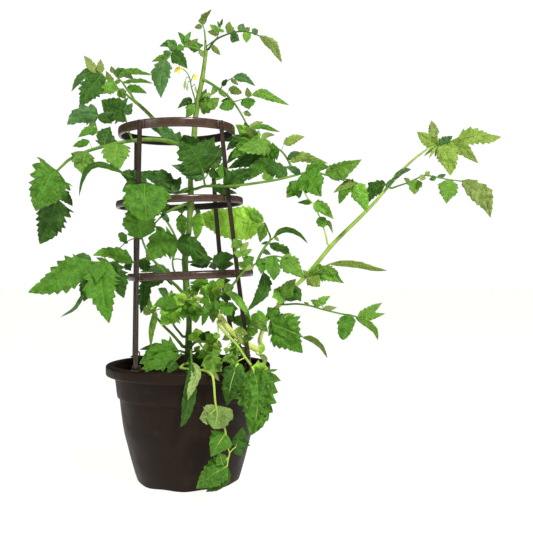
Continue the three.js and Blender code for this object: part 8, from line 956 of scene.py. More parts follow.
def stem_material(name, base, dark, rough=.55, sss=.15, foot=None, glow=0):
    mat, nt, b = nodes_of(name)
    length, ang, rad = split(nt, attribute(nt, "vein"))
    xyz = coords(nt)
    # long streaks: noise stretched along the bar, from its own length and angle
    n = nt.nodes.new("ShaderNodeCombineXYZ")
    nt.links.new(math_node(nt, "MULTIPLY", length, .02), n.inputs[0])
    nt.links.new(math_node(nt, "MULTIPLY", math_node(nt, "SINE", ang), 1.6), n.inputs[1])
    nt.links.new(math_node(nt, "MULTIPLY", math_node(nt, "COSINE", ang), 1.6), n.inputs[2])
    streak = noise(nt, n.outputs[0], 3.2, 4, .6)
    fine = noise(nt, xyz, 900, 3, .6)
    blot = noise(nt, xyz, 45, 3, .5)
    col = mix(nt, ramp(nt, streak, .35, .68), srgb(*dark), srgb(*base))
    col = mix(nt, ramp(nt, blot, .4, .7, 0, .35), col, srgb(*tuple(min(255, int(c * 1.12 + 8)) for c in base)))
    col = mix(nt, ramp(nt, fine, .55, .75, 0, .3), col, srgb(*tuple(min(255, int(c * 1.25 + 22)) for c in base)))
    if foot:
        # another colour near the start of the bar: on the main stem greener and darker near the soil; on the branch
        # paler, partly its own colour and partly painted light where the leaves above shade it
        low = mix(nt, ramp(nt, streak, .35, .68), srgb(*foot[1]), srgb(*foot[0]))
        col = mix(nt, ramp(nt, length, foot[2], foot[3], .9, 0), col, low)
    nt.links.new(col, b.inputs["Base Color"])
    nt.links.new(ramp(nt, fine, .3, .7, rough - .06, rough + .14), b.inputs["Roughness"])
    b.inputs["Subsurface Weight"].default_value = sss
    b.inputs["Subsurface Radius"].default_value = (.8, 1.0, .3)
    b.inputs["Subsurface Scale"].default_value = .0015
    b.inputs["Specular IOR Level"].default_value = .35
    if glow:
        # painted light: the stem's own colour as a glow, standing in for light through the thin, juicy skin and lifting
        # the stem where leaves shade it
        nt.links.new(col, b.inputs["Emission Color"])
        b.inputs["Emission Strength"].default_value = glow
    h = math_node(nt, "ADD", math_node(nt, "MULTIPLY", streak, .8), math_node(nt, "MULTIPLY", fine, .5))
    nt.links.new(bump(nt, h, .6, .0006), b.inputs["Normal"])
    return mat


def plastic(name, base, dust, rough, speck, bump_mm, scale=1.0, gloss=.5):
    mat, nt, b = nodes_of(name)
    xyz = coords(nt)
    broad = noise(nt, xyz, 9 * scale, 4, .55)
    cloud = noise(nt, xyz, 30 * scale, 4, .6)
    fine = noise(nt, xyz, 900, 3, .7)
    grain = voronoi(nt, xyz, 620, "F1")
    col = mix(nt, ramp(nt, broad, .35, .68), tuple(c * .82 for c in srgb(*base)[:3]) + (1.0,), srgb(*base))
    col = mix(nt, ramp(nt, cloud, .50, .80, 0, .22), col, srgb(*dust))
    col = mix(nt, ramp(nt, fine, .60, .74, 0, speck), col, srgb(*dust))
    col = mix(nt, ramp(nt, grain, .0, .16, speck * .8, 0), col, tuple(c * .5 for c in srgb(*base)[:3]) + (1.0,))
    nt.links.new(col, b.inputs["Base Color"])
    nt.links.new(ramp(nt, cloud, .3, .75, rough - .08, rough + .12), b.inputs["Roughness"])
    b.inputs["Specular IOR Level"].default_value = gloss
    h = math_node(nt, "ADD", math_node(nt, "MULTIPLY", fine, .6), math_node(nt, "MULTIPLY", grain, .5))
    nt.links.new(bump(nt, h, .7, bump_mm * MM), b.inputs["Normal"])
    return mat


MAT_POT = plastic("pot_plastic", (33, 21, 12), (80, 65, 50), .5, .42, .35, 1.0, .14)
# a darker copy of the pot plastic for the inside of the rim and wall: painted shade
MAT_POT_PAINTED_SHADE = plastic("pot_inside_painted_shade", (18, 13, 10), (48, 37, 28), .6, .5, .4, 1.0, .12)
MAT_CAGE = plastic("cage_plastic", (70, 50, 39), (130, 102, 84), .26, .16, .12, 2.0, .5)
MAT_LEG = plastic("cage_leg_plastic", (48, 36, 26), (92, 74, 56), .34, .16, .12, 2.0, .4)
# a darker, duller copy of the cage plastic for the rings' inner faces: painted shade
MAT_CAGE_PAINTED_SHADE = plastic("cage_inside_painted_shade", (34, 27, 24), (60, 50, 45), .5, .2, .12, 2.0, .12)
MAT_STEM = stem_material("stem_main", (132, 160, 62), (78, 116, 34), foot=((98, 142, 58), (44, 88, 26), 180, 460))
MAT_SHOOT = stem_material("stem_shoot", (132, 160, 62), (78, 116, 34))
# the branch's pale foot colours and its glow are partly painted light, lifting its low part out of the leaves' shade
MAT_BRANCH = stem_material("stem_branch", (158, 182, 78), (106, 142, 44), foot=((226, 232, 134), (178, 198, 92), 170, 300), glow=.14)
MAT_STALK = stem_material("stalk_green", (112, 150, 48), (62, 104, 26))
MAT_STALK_PALE = stem_material("stalk_pale", (192, 216, 98), (142, 178, 60))
MAT_STALK_DARK = stem_material("stalk_dark", (72, 114, 38), (38, 78, 20))

# ---------------------------------------------------------------- leaves
CRINKLE = {"leaf_over_rim": 1.7, "leaf_low_bright": .45, "leaf_hanging_chain": .2, "leaf_base_left": .35}
PALE_STALK = {"leaf_over_rim", "leaf_hanging_chain", "leaf_low_bright", "leaf_rim_right", "leaf_trailing", "leaf_low_center"}
DARK_STALK = {"leaf_top_right", "leaf_apex_right", "leaf_behind_stem", "leaf_behind_left", "leaf_behind_low", "leaf_ring_stem", "leaf_ring_stem_left", "leaf_pot_back", "leaf_mid_left"}
rolling = Noise(67, 38, 22)
pucker = Noise(69, 13, 26)
blister = Noise(71, 10.5, 26)
blister2 = Noise(73, 5.2, 26)


def outline_at(kind, t):
    xs, ys = zip(*OUTLINE[kind])
    return np.interp(t, xs, ys)


def leaflet(build, leaf, row, rng, mats):
    kind, tone, wl, wr, fold, pts, n0, n1, stalk, number = row
    pts = np.array(pts, float)
    length = float(np.linalg.norm(np.diff(pts, axis=0), axis=1).sum())
    per, least, most, deep, shallow = TEETH[kind]
    crinkle = CRINKLE.get(leaf, 0)
    teeth = int(np.clip(round(per * length / 100 + rng.uniform(-.3, .6)), least, most))
    fr = np.array([0, .2, .4, .58, .72, .86]) if length > 22 else np.array([0, .4, .72])
    q0, q1 = .05, .9
    q = [0, .018] + [q0 + (q1 - q0) * (k + f) / teeth for k in range(teeth) for f in fr] + [q1, .93, .96, .985, 1]
    if kind == "bud":
        q = list(np.linspace(0, 1, 10))
    q = np.array(q)
    R = len(q)
    K = int(np.clip(round(max(wl, wr) / (2.2 if not crinkle else 1.6)), 3, 9 if not crinkle else 16))
    s = np.linspace(0, 1, K + 1)
    s = s + .12 * np.sin(math.pi * s) * s      # closer columns near the margin
    s = s / s[-1]
    # tooth and vein phase per row
    ph = (q - q0) / (q1 - q0) * teeth
    inside = (q > q0) & (q < q1 + 1e-6)
    f = np.clip(np.where(inside, ph - np.floor(ph + 1e-9), 0), 0, 1)
    idx = np.clip(np.floor(ph + 1e-9).astype(int), 0, teeth - 1)
    vph = ph - .72
    dv = np.abs(vph - np.round(vph))           # 0 on a side vein, .5 between two
    spacing = length * (q1 - q0) / teeth
    shift = (.15 if kind in ("lob", "ov", "rnd") else .12) * (.8 + .4 * rng.random())
    sides = []
    for sgn, w in ((1, wl * WIDER), (-1, wr * WIDER)):
        vary = 1 + rng.uniform(-.35, .35, teeth)
        if kind == "lob" and teeth > 3:
            vary[rng.integers(0, 2)] += .25
        depth = (deep + (shallow - deep) * np.clip(q * 1.25, 0, 1)) * vary[idx]
        peak = np.where(f < .72, (f / .72) ** 1.1, ((1 - f) / .28) ** 1.0)
        tooth = np.where(inside, 1 - depth * (1 - peak), 1 - depth * .6)
        tooth = np.where(q >= q1, 1 - depth * .35, tooth)
        tooth = tooth + .05 * (1 - np.clip(q, 0, 1))
        # small secondary teeth on the larger blades
        te = q + shift * np.clip(np.sin(math.pi * q), 0, 1) ** .8 * (1 + .25 * sgn * (rng.random() - .5)) + (sgn * .22 / teeth) * np.sin(math.pi * q)
        te = te - (.035 if kind in ("ov", "lob", "rnd") else .01) * (1 - q) ** 6
        te = te + np.where(inside, .10 / teeth * (peak - .5) * (depth / .25), 0)
        te = np.minimum(te, 1)
        te[-1] = 1
        uneven = 1 + ((.06 if kind != "lob" else .11) * np.sin(8.2 * te + rng.uniform(0, 6.28)) + .04 * np.sin(15 * te + rng.uniform(0, 6.28)) if kind not in ("nar", "bud") else 0)
        wid = np.maximum(outline_at(kind, np.clip(te, 0, 1)) * w * tooth * uneven, .22)
        wid[-1] = .16
        sides.append((sgn, te, wid))
    cols = []
    for sgn, te, wid in (sides[0], sides[1]):
        ss = s if sgn < 0 else s[::-1]
        if sgn < 0:
            ss = ss[1:]
        for x in ss:
            cols.append((sgn, x, te, wid))
    C = len(cols)
    T = np.stack([q + (te - q) * x ** 1.3 for sgn, x, te, wid in cols], 1)      # R x C, place along the midrib
    X = np.stack([sgn * x * wid for sgn, x, te, wid in cols], 1)
    S = np.array([x for sgn, x, te, wid in cols])[None, :]
    W = np.stack([wid for sgn, x, te, wid in cols], 1)
    cen = curve(pts, T)
    e = .004
    tang = unit(curve(pts, np.clip(T + e, 0, 1)) - curve(pts, np.clip(T - e, 0, 1)))
    nn = np.array(n0) + (np.array(n1) - np.array(n0)) * np.clip(T, 0, 1)[..., None]
    nn = unit(nn - tang * (nn * tang).sum(-1, keepdims=True))
    ss = np.cross(tang, nn)
    fa = math.radians(fold)
    a = np.abs(X)
    wide = max(wl, wr)
    z = a * math.sin(fa) * (1 - .45 * S)
    x = X * math.cos(fa)
    droop = rng.uniform(.02, .16) if kind not in ("nar", "bud") else .03
    z = z - droop * a * S ** 1.5
    # slow waves of the margin and a slight twist
    k1, p1, p2 = rng.uniform(1.4, 2.6), rng.uniform(0, 6.28), rng.uniform(0, 6.28)
    wave = np.where(X > 0, np.sin(k1 * 6.28 * T + p1), np.sin(k1 * 6.28 * T + p2))
    z = z + (.075 if kind not in ("nar", "bud") else .02) * wide * wave * S ** 2 * np.clip(W / wide, 0, 1)
    # blade raised between the side veins, sunk along them
    quilt = np.clip(np.sin(math.pi * dv[:, None]), 0, 1) ** .9
    g = np.clip((S - .04) / .3, 0, 1) * (1 - .55 * np.clip((S - .7) / .3, 0, 1))
    amp = min(1.4, .05 * spacing + .018 * wide) * (1 + .9 * crinkle)
    if kind != "bud":
        z = z + amp * quilt * g * np.clip(W / wide * 1.3, 0, 1)
        z = z + .10 * np.minimum(a, 3) * (1 - S)
    base = cen + ss * x[..., None] + nn * z[..., None]
    if kind not in ("nar", "bud"):
        lift = rolling(base) * min(2.6, .095 * wide) + pucker(base) * min(1.15, .056 * wide)
        base = base + nn * (lift * np.clip(S * 3, .35, 1) * np.clip(W / wide * 2, 0, 1) * np.clip(np.minimum(T, 1 - T * .6) * 4, 0, 1))[..., None]
    if crinkle:
        nz = blister(base) * .75 + blister2(base) * .45
        z2 = (nz * 1.15 * crinkle) * np.clip(S * 4, 0, 1) * np.clip(W / wide * 2, 0, 1)
        base = base + nn * z2[..., None]
    du = np.gradient(base, axis=0)
    dw = np.gradient(base, axis=1)
    nrm = unit(np.cross(dw, du))
    flip = np.sign((nrm * nn).sum(-1, keepdims=True))
    nrm = nrm * np.where(flip == 0, 1, flip)
    half = (.24 - .12 * S ** 2)[..., None]
    half = np.minimum(half, .5 * W[..., None] + .05)
    top, bot = base + nrm * half, base - nrm * half
    # attributes: distance from the midrib (scaled so that the rib tapers), from a side vein, from the margin; all mm
    taper = (.30 + .8 * (1 - np.clip(T, 0, 1))) * np.clip(length / 60, .55, 1.25)
    mid = a / np.maximum(taper, .1)
    side = dv[:, None] * spacing * .8 * np.ones((1, C)) + np.clip((S - .8) * 4, 0, 1) * .25
    if kind == "bud":
        side = side * 0 + 3
    edge = W - a
    vein = np.stack([mid, side, edge], -1).reshape(-1, 3)
    tint = np.array([rng.random(), 0, 0])
    # winding: the top faces look along +normal
    fq = grid_faces(R, C)
    m = R * C
    v0, v1, v2 = top.reshape(-1, 3)[fq[:, 0]], top.reshape(-1, 3)[fq[:, 1]], top.reshape(-1, 3)[fq[:, 3]]
    mid_f = len(fq) // 2
    if (np.cross(v1 - v0, v2 - v0) * nrm.reshape(-1, 3)[fq[:, 0]]).sum() < 0:
        fq = fq[:, ::-1]
    rim = np.concatenate([np.arange(C), np.arange(1, R) * C + C - 1, (R - 1) * C + np.arange(C - 2, -1, -1), np.arange(R - 2, 0, -1) * C])
    nxt = np.roll(rim, -1)
    rq = np.stack([rim, nxt, nxt + m, rim + m], -1)
    vv = np.vstack([top.reshape(-1, 3), bot.reshape(-1, 3)])
    # the wall's faces must look outward: compare with the top faces' direction along a shared edge
    edge_set = {(int(f4[k]), int(f4[(k + 1) % 4])) for f4 in fq for k in range(4)}
    if (int(rim[0]), int(nxt[0])) in edge_set:
        rq = rq[:, ::-1]
    ti, ui = mats(tone, False), mats(tone, True)
    at = {"vein": np.vstack([vein, vein]), "tint": tint}
    start = build.n
    build.add(vv, np.vstack([fq, fq[:, ::-1] + m]), None, 0, True, at)
    build.qm[-1] = np.concatenate([np.full(len(fq), ti), np.full(len(fq), ui)])
    # wall: same vertices, flat shading keeps its edges crisp
    build.q.append(rq + start)
    build.qm.append(np.full(len(rq), ui))
    build.qs.append(np.zeros(len(rq), bool))
    return length


def build_leaf(name, data):
    seed = sum(ord(c) * (i + 3) for i, c in enumerate(name))
    rng = np.random.default_rng(seed)
    build = Build()
    mats, index = [], {}

    def mats_of(tone, under):
        mat = leaf_material(tone, under)
        if mat.name not in index:
            index[mat.name] = len(mats)
            mats.append(mat)
        return index[mat.name]

    stalk_mat = MAT_STALK_PALE if name in PALE_STALK else MAT_STALK_DARK if name in DARK_STALK else MAT_STALK
    index[stalk_mat.name] = 0
    mats.append(stalk_mat)
    for rows in data["axes"]:
        r0 = rows[0][3]
        groove = (lambda u, a: 1 + .06 * np.cos(3 * a + 1) + .03 * np.cos(5 * a)) if r0 > 1.2 else None
        tube(build, rows, 0, 12 if r0 > 1.2 else 8, 6 if len(rows) < 8 else 4, groove)
    for number, row in enumerate(data["blades"]):
        kind, tone, wl, wr, fold, pts, n0, n1, stalk = row
        leaflet(build, name, (kind, tone, wl, wr, fold, pts, n0, n1, stalk, number), rng, mats_of)
        # the stalk and the raised midrib under the blade
        p = np.array(pts, float)
        length = float(np.linalg.norm(np.diff(p, axis=0), axis=1).sum())
        r = max(.42, min(1.15, (wl + wr) * .028))
        if kind == "bud":
            r = .4
        ts = np.linspace(0, .86 if kind != "bud" else .15, 9)
        c = curve(p, ts)
        nn = np.array(n0)[None] + (np.array(n1) - np.array(n0))[None] * ts[:, None]
        tg = unit(np.gradient(c, axis=0))
        nn = unit(nn - tg * (nn * tg).sum(-1, keepdims=True))
        rr = r * (1 - .8 * ts / ts[-1])
        rib = np.concatenate([c - nn * (rr * .55 + .1)[:, None], rr[:, None]], 1)
        if stalk is not None:
            a = np.array(stalk, float)
            b = rib[0, :3]
            if np.linalg.norm(b - a) > .8:
                bend = (a + b) / 2 + nn[0] * min(1.2, .06 * np.linalg.norm(b - a))
                rib = np.vstack([[*a, r * 1.15], [*bend, r * 1.02], rib])
        tube(build, rib, 0, 8, 2)
    return build, mats


for name, data in LEAVES.items():
    b, mats = build_leaf(name, data)
    slot = "leaf" if name.startswith("leaf_") else "stem"
    piece("plant_" + name, b, mats, slot, name)

# ---------------------------------------------------------------- stems
def stem_section(seed, ribs, depth):
    g = np.random.default_rng(seed)
    ph = g.uniform(0, 6.28, 4)

    def f(u, a):
        return 1 + depth * np.cos(ribs * a + ph[0] + 1.2 * u) + .025 * np.cos(7 * a + ph[1]) + .035 * np.sin(u * 46 + ph[2]) + .02 * np.sin(u * 97 + a + ph[3])
    return f


def swell(rows, centres, gain=.13, width=6.0):
    """Thicker at the joints where leaves and branches leave the stem."""
    rows = np.asarray(rows, float)
    d = curve(rows, np.linspace(0, 1, (len(rows) - 1) * 5 + 1))
    most = np.zeros(len(d))
    for c in centres:
        k = np.linalg.norm(d[:, :3] - np.asarray(c[:3]), axis=1)
        if k.min() < 14:
            most = np.maximum(most, gain * np.exp(-(k / width) ** 2))
    d[:, 3] *= 1 + most
    return d


joints_on = [data["axes"][0][0][:3] for data in LEAVES.values()] + [STEMS["branch_right"][0][:3], STEMS["shoot_left"][0][:3]]


def stem_piece(name, mat_names, sides, ribs, depth, seed, split_z=None):
    b = Build()
    rows = swell(STEMS[name], joints_on)
    tube(b, rows, 0, sides, 1, stem_section(seed, ribs, depth), resample=False)
    # fine bristles, each a closed needle
    g = np.random.default_rng(seed + 5)
    c = rows[:, :3]
    t = unit(np.gradient(c, axis=0))
    seg = np.linalg.norm(np.diff(c, axis=0), axis=1)
    total = seg.sum()
    count = int(total * 2.2)
    u = g.uniform(.03, .99, count)
    d = curve(rows, u)
    tt = curve(t, u)
    tt = unit(tt)
    o = g.normal(size=(count, 3))
    o = unit(o - tt * (o * tt).sum(-1, keepdims=True))
    s2 = np.cross(tt, o)
    ln = g.uniform(.5, 1.15, count) * (.6 + .12 * d[:, 3])
    root = d[:, :3] + o * (d[:, 3] * .94)[:, None]
    wdt = .07
    tip = root + o * (ln + d[:, 3] * .06)[:, None] + tt * (g.uniform(-.25, .25, count) * ln)[:, None]
    v = np.stack([root + tt * wdt, root - tt * wdt * .5 + s2 * wdt, root - tt * wdt * .5 - s2 * wdt, tip], 1).reshape(-1, 3)
    k = np.arange(count)[:, None] * 4
    tri = np.vstack([k + np.array([[0, 1, 3]]), k + np.array([[1, 2, 3]]), k + np.array([[2, 0, 3]]), k + np.array([[0, 2, 1]])])
    b.add(v, None, tri[:, ::-1], 1, True, {"vein": (0, 0, .1)})
    piece("plant_" + name, b, mat_names, "stem", name)


mat_hair, nt, bs = nodes_of("stem_bristles")
nz = noise(nt, coords(nt), 60, 2, .5)
nt.links.new(mix(nt, nz, srgb(196, 214, 168), srgb(222, 232, 200)), bs.inputs["Base Color"])
bs.inputs["Roughness"].default_value = .5
stem_piece("main_stem", [MAT_STEM, mat_hair], 22, 4, .05, 3)
stem_piece("branch_right", [MAT_BRANCH, mat_hair], 20, 3, .07, 11)
stem_piece("shoot_left", [MAT_SHOOT, mat_hair], 16, 3, .05, 17)

# ---------------------------------------------------------------- flowers
mat_petal, nt, bs = nodes_of("petal_yellow")
mid, side, edge = split(nt, attribute(nt, "vein"))
col = mix(nt, ramp(nt, noise(nt, coords(nt), 300, 3, .5), .35, .7), srgb(248, 224, 44), srgb(255, 246, 120))
col = mix(nt, ramp(nt, mid, .2, 1.2, .3, 0), col, srgb(240, 206, 40))
nt.links.new(col, bs.inputs["Base Color"])
bs.inputs["Roughness"].default_value = .5
bs.inputs["Subsurface Weight"].default_value = .2
bs.inputs["Subsurface Radius"].default_value = (1, .8, .2)
bs.inputs["Subsurface Scale"].default_value = .001
# a yellow glow: painted light that keeps the petals bright where the leaf above shades them
bs.inputs["Emission Color"].default_value = (1, .86, .12, 1)
bs.inputs["Emission Strength"].default_value = .38
mat_cone, nt, bs = nodes_of("anther_cone")
col = mix(nt, noise(nt, coords(nt), 500, 3, .6), srgb(232, 180, 26), srgb(248, 216, 70))
nt.links.new(col, bs.inputs["Base Color"])
bs.inputs["Roughness"].default_value = .55


def flower(name, centre, face, radius):
    rng = np.random.default_rng(int(radius * 10))
    b = Build()
    axis = unit(np.array(face, float))
    c = np.array(centre, float)
    up = np.array([0, 0, 1.0])
    u = unit(up - axis * (axis @ up))
    w = np.cross(u, axis)
    mats = [mat_petal, mat_cone, leaf_material("m"), leaf_material("m", True)]
    for i in range(5):
        a = i * 2 * math.pi / 5 + .3 + rng.uniform(-.06, .06)
        d = u * math.cos(a) + w * math.sin(a)
        r = radius * rng.uniform(.9, 1.04)
        back = rng.uniform(.15, .5)
        pts = [c + d * .1 * r, c + d * .45 * r + axis * .4, c + d * .8 * r - axis * back * .35 * r, c + d * r - axis * back * r]
        leaflet(b, name, ("lan", "P", r * .27, r * .27, 8, pts, axis, axis, None, i), rng, lambda tone, under: 0)
    # the joined anthers: a ribbed, pointed cone
    cone = np.array([[*(c - axis * .3), .7], [*(c + axis * .8), 1.5], [*(c + axis * 2.4), 1.25], [*(c + axis * 3.8), .45]])
    tube(b, cone, 1, 12, 5, lambda uu, a: 1 + .1 * np.cos(6 * a))
    for i in range(5):
        a = i * 2 * math.pi / 5 + .1
        d = u * math.cos(a) + w * math.sin(a)
        r = radius * .72
        pts = [c - axis * 1.0 + d * .3, c + d * .5 * r - axis * 1.6, c + d * r - axis * 2.6]
        leaflet(b, name, ("nar", "G", .7, .7, 5, pts, axis, axis, None, i), rng, lambda tone, under: 2 if not under else 3)
    piece("plant_" + name, b, mats, "petal", name)


for name, (centre, face, radius) in FLOWERS.items():
    flower(name, centre, face, radius)

# ---------------------------------------------------------------- pot
def lathe(build, profile, segments, mat, tune=None, closed=True):
    prof = np.asarray(profile, float)
    n = len(prof)
    ang = np.arange(segments) * 2 * math.pi / segments
    r = prof[:, 0][:, None] * np.ones((1, segments))
    z = prof[:, 1][:, None] * np.ones((1, segments))
    if tune:
        r, z = tune(r, z, ang[None, :] * np.ones((n, 1)))
    v = np.stack([r * np.cos(ang), r * np.sin(ang), z], -1).reshape(-1, 3)
    i, j = np.meshgrid(np.arange(n), np.arange(segments), indexing="ij")
    a = i * segments + j
    b2 = i * segments + (j + 1) % segments
    i2 = (i + 1) % n
    q = np.stack([a, b2, i2 * segments + (j + 1) % segments, i2 * segments + j], -1).reshape(-1, 4)
    if not closed:
        q = q[: (n - 1) * segments]
    build.add(v, q, None, mat, True)
    return n


def arc(cx, cz, r, a0, a1, n):
    t = np.radians(np.linspace(a0, a1, n))
    return [(cx + r * math.cos(x), cz + r * math.sin(x)) for x in t]


def pot_profile():
    # from the middle of the underside, out, up the outside, over the rim and down the inside
    out = [(.6, 0), (30, 0), (60, 0), (82, 0), (90, .2)]
    out += arc(91.5, 3.6, 3.4, -80, -6, 6)
    for r, z in [(98.2, 14), (101.6, 26), (105.2, 38.6), (109.0, 53), (112.6, 68), (116.2, 81), (118.6, 91), (121.0, 105), (123.2, 120), (125.2, 136), (126.6, 149), (127.1, 154.5)]:
        out.append((r, z))
    out += [(127.4, 156.2), (128.4, 157.0), (130.0, 157.4), (131.1, 158.0), (131.7, 159.3)]
    out += [(132.6, 165), (133.6, 174), (134.8, 184), (135.9, 193), (136.3, 196.4), (137.2, 197.6), (139.5, 198.0), (144, 198.0), (147.5, 198.1)]
    out += arc(149.2, 201.2, 3.1, -90, -4, 6)
    out += [(152.5, 206), (152.5, 210.5)]
    out += arc(148.3, 212.6, 4.2, 4, 90, 7)
    out += [(144.5, 217.0), (141.5, 217.0)]
    out += arc(139.6, 213.4, 3.6, 92, 176, 6)
    out += [(135.9, 209), (135.2, 202), (133.8, 192), (132.4, 184), (130.6, 170), (129.4, 162.5), (127.0, 158.6), (124.4, 156.0), (122.4, 140), (119.0, 115), (115.9, 91), (109.5, 64), (102.5, 38.6), (96, 20), (91.6, 8), (88, 4.3), (60, 4), (30, 4), (.6, 4)]
    return out


def pot_tune(r, z, a):
    low = np.clip(1 - (z / 14), 0, 1) * (r > 86)
    arch = 2.4 * (.5 - .5 * np.cos(8 * a))
    z = z + arch * low * np.where(z < 30, 1, 0)
    r = r + np.where(r > 90, .35 * np.sin(2 * a + .7) + .22 * np.sin(3 * a + 2), 0)
    return r, z


b = Build()
lathe(b, pot_profile(), 240, 0, pot_tune)
nprof = len(pot_profile())
inner_from = [i for i, (r, z) in enumerate(pot_profile()) if r < 135.5 and i > 45][0]
# the inside of the rim and the wall below it take the darker pot material, painted shade
m = b.qm[-1].copy()
row_of = np.arange(len(m)) // 240
m[(row_of >= inner_from) & (row_of < nprof - 1)] = 1
b.qm[-1] = m
g = np.random.default_rng(5)


def pebble(build, c, size, mat, rng, squash=(1, 1, 1)):
    """A small irregular closed lump."""
    k = np.array([[0, 0, 1], [0, 0, -1], [1, 0, 0], [-1, 0, 0], [0, 1, 0], [0, -1, 0]], float)
    f = [(0, 2, 4), (0, 4, 3), (0, 3, 5), (0, 5, 2), (1, 4, 2), (1, 3, 4), (1, 5, 3), (1, 2, 5)]
    # one split of each face for a rounder lump
    v, cache, tri = list(map(tuple, k)), {}, []

    def m2(i, j):
        key = (min(i, j), max(i, j))
        if key not in cache:
            p = (np.array(v[i]) + np.array(v[j])) / 2
            v.append(tuple(p / np.linalg.norm(p)))
            cache[key] = len(v) - 1
        return cache[key]
    for a, b2, c2 in f:
        x, y, z = m2(a, b2), m2(b2, c2), m2(c2, a)
        tri += [(a, x, z), (x, b2, y), (z, y, c2), (x, y, z)]
    p = np.array(v) * (1 + rng.uniform(-.22, .22, (len(v), 1)))
    p = p * np.array(squash) * size
    q = rng.normal(size=(3, 3))
    q, _ = np.linalg.qr(q)
    if np.linalg.det(q) < 0:
        q[:, 0] *= -1
    build.add(p @ q.T + np.array(c), None, tri, mat, False)


mat_perlite, nt, bs = nodes_of("perlite")
nt.links.new(mix(nt, noise(nt, coords(nt), 700, 3, .6), srgb(206, 200, 188), srgb(240, 238, 230)), bs.inputs["Base Color"])
bs.inputs["Roughness"].default_value = .85
piece("pot_body", b, [MAT_POT, MAT_POT_PAINTED_SHADE], "pot", "pot")

# ---------------------------------------------------------------- soil
mat_soil, nt, bs = nodes_of("soil_mix")
xyz = coords(nt)
n1, n2, n3 = noise(nt, xyz, 160, 6, .7), noise(nt, xyz, 38, 4, .6), voronoi(nt, xyz, 260)
col = mix(nt, ramp(nt, n1, .35, .7), srgb(26, 19, 14), srgb(66, 48, 34))
col = mix(nt, ramp(nt, n2, .5, .75, 0, .5), col, srgb(88, 66, 46))
col = mix(nt, ramp(nt, n3, .0, .3, .5, 0), col, srgb(16, 11, 8))
nt.links.new(col, bs.inputs["Base Color"])
bs.inputs["Roughness"].default_value = .92
nt.links.new(bump(nt, n1, 1.0, .0016), bs.inputs["Normal"])
mat_bark, nt, bs = nodes_of("bark_chips")
xyz = coords(nt)
col = mix(nt, ramp(nt, noise(nt, xyz, 220, 4, .6), .3, .7), srgb(58, 38, 24), srgb(112, 80, 54))
nt.links.new(col, bs.inputs["Base Color"])
bs.inputs["Roughness"].default_value = .85
nt.links.new(bump(nt, noise(nt, xyz, 500, 4, .6), .8, .0006), bs.inputs["Normal"])
b = Build()
rough1, rough2, rough3 = Noise(21, 34), Noise(22, 11), Noise(23, 4.2, 26)


def soil_height(x, y):
    p = np.stack([x, y, np.zeros_like(x)], -1)
    return 188.7 + 1.1 * rough1(p) + .75 * rough2(p) + .42 * rough3(p)


rings, seg = 62, 168
rad = np.concatenate([[0.01], np.linspace(2.1, 131.2, rings)])
ang = np.arange(seg) * 2 * math.pi / seg
x, y = rad[:, None] * np.cos(ang), rad[:, None] * np.sin(ang)
z = soil_height(x, y)
z = np.minimum(z, 188.7 + 2.4)
side = [(131.0, 183.5), (129.0, 164), (127.2, 160.6), (123.6, 156.6), (121.6, 140), (118.2, 115), (115.0, 91), (101.6, 38.6), (90.4, 8), (87, 4.7), (1, 4.7)]
sx = np.array([r for r, _ in side])[:, None] * np.cos(ang)
sy = np.array([r for r, _ in side])[:, None] * np.sin(ang)
sz = np.array([h for _, h in side])[:, None] * np.ones((1, seg))
V3 = np.stack([np.vstack([x, sx]), np.vstack([y, sy]), np.vstack([z, sz])], -1)
n = len(V3)
v = V3.reshape(-1, 3)
q = grid_faces(n, seg, True)[:, ::-1]
k = np.arange(seg)
v = np.vstack([v, [[0, 0, soil_height(np.array([0.]), np.array([0.]))[0]], [0, 0, 4.7]]])
tri = np.vstack([np.stack([k, (k + 1) % seg, np.full(seg, len(v) - 2)], -1), np.stack([(n - 1) * seg + (k + 1) % seg, (n - 1) * seg + k, np.full(seg, len(v) - 1)], -1)])
b.add(v, q, tri, 0, True)
g = np.random.default_rng(9)
for kind, count, lo, hi, mat, sq in (("crumb", 520, .9, 2.6, 0, (1, .8, .7)), ("chip", 150, 1.6, 4.2, 1, (1.5, .6, .28)), ("perlite", 120, .7, 1.7, 2, (1, .9, .8))):
    for _ in range(count):
        r, a = 127 * math.sqrt(g.random()), g.uniform(0, 6.283)
        px, py = r * math.cos(a), r * math.sin(a)
        size = g.uniform(lo, hi)
        h = float(soil_height(np.array([px]), np.array([py]))[0])
        if math.hypot(px, py) < 9:
            continue
        pebble(b, (px, py, min(h, 191.1) + size * .12), size, mat, g, sq)
piece("soil_surface", b, [mat_soil, mat_bark, mat_perlite], "soil", "soil")

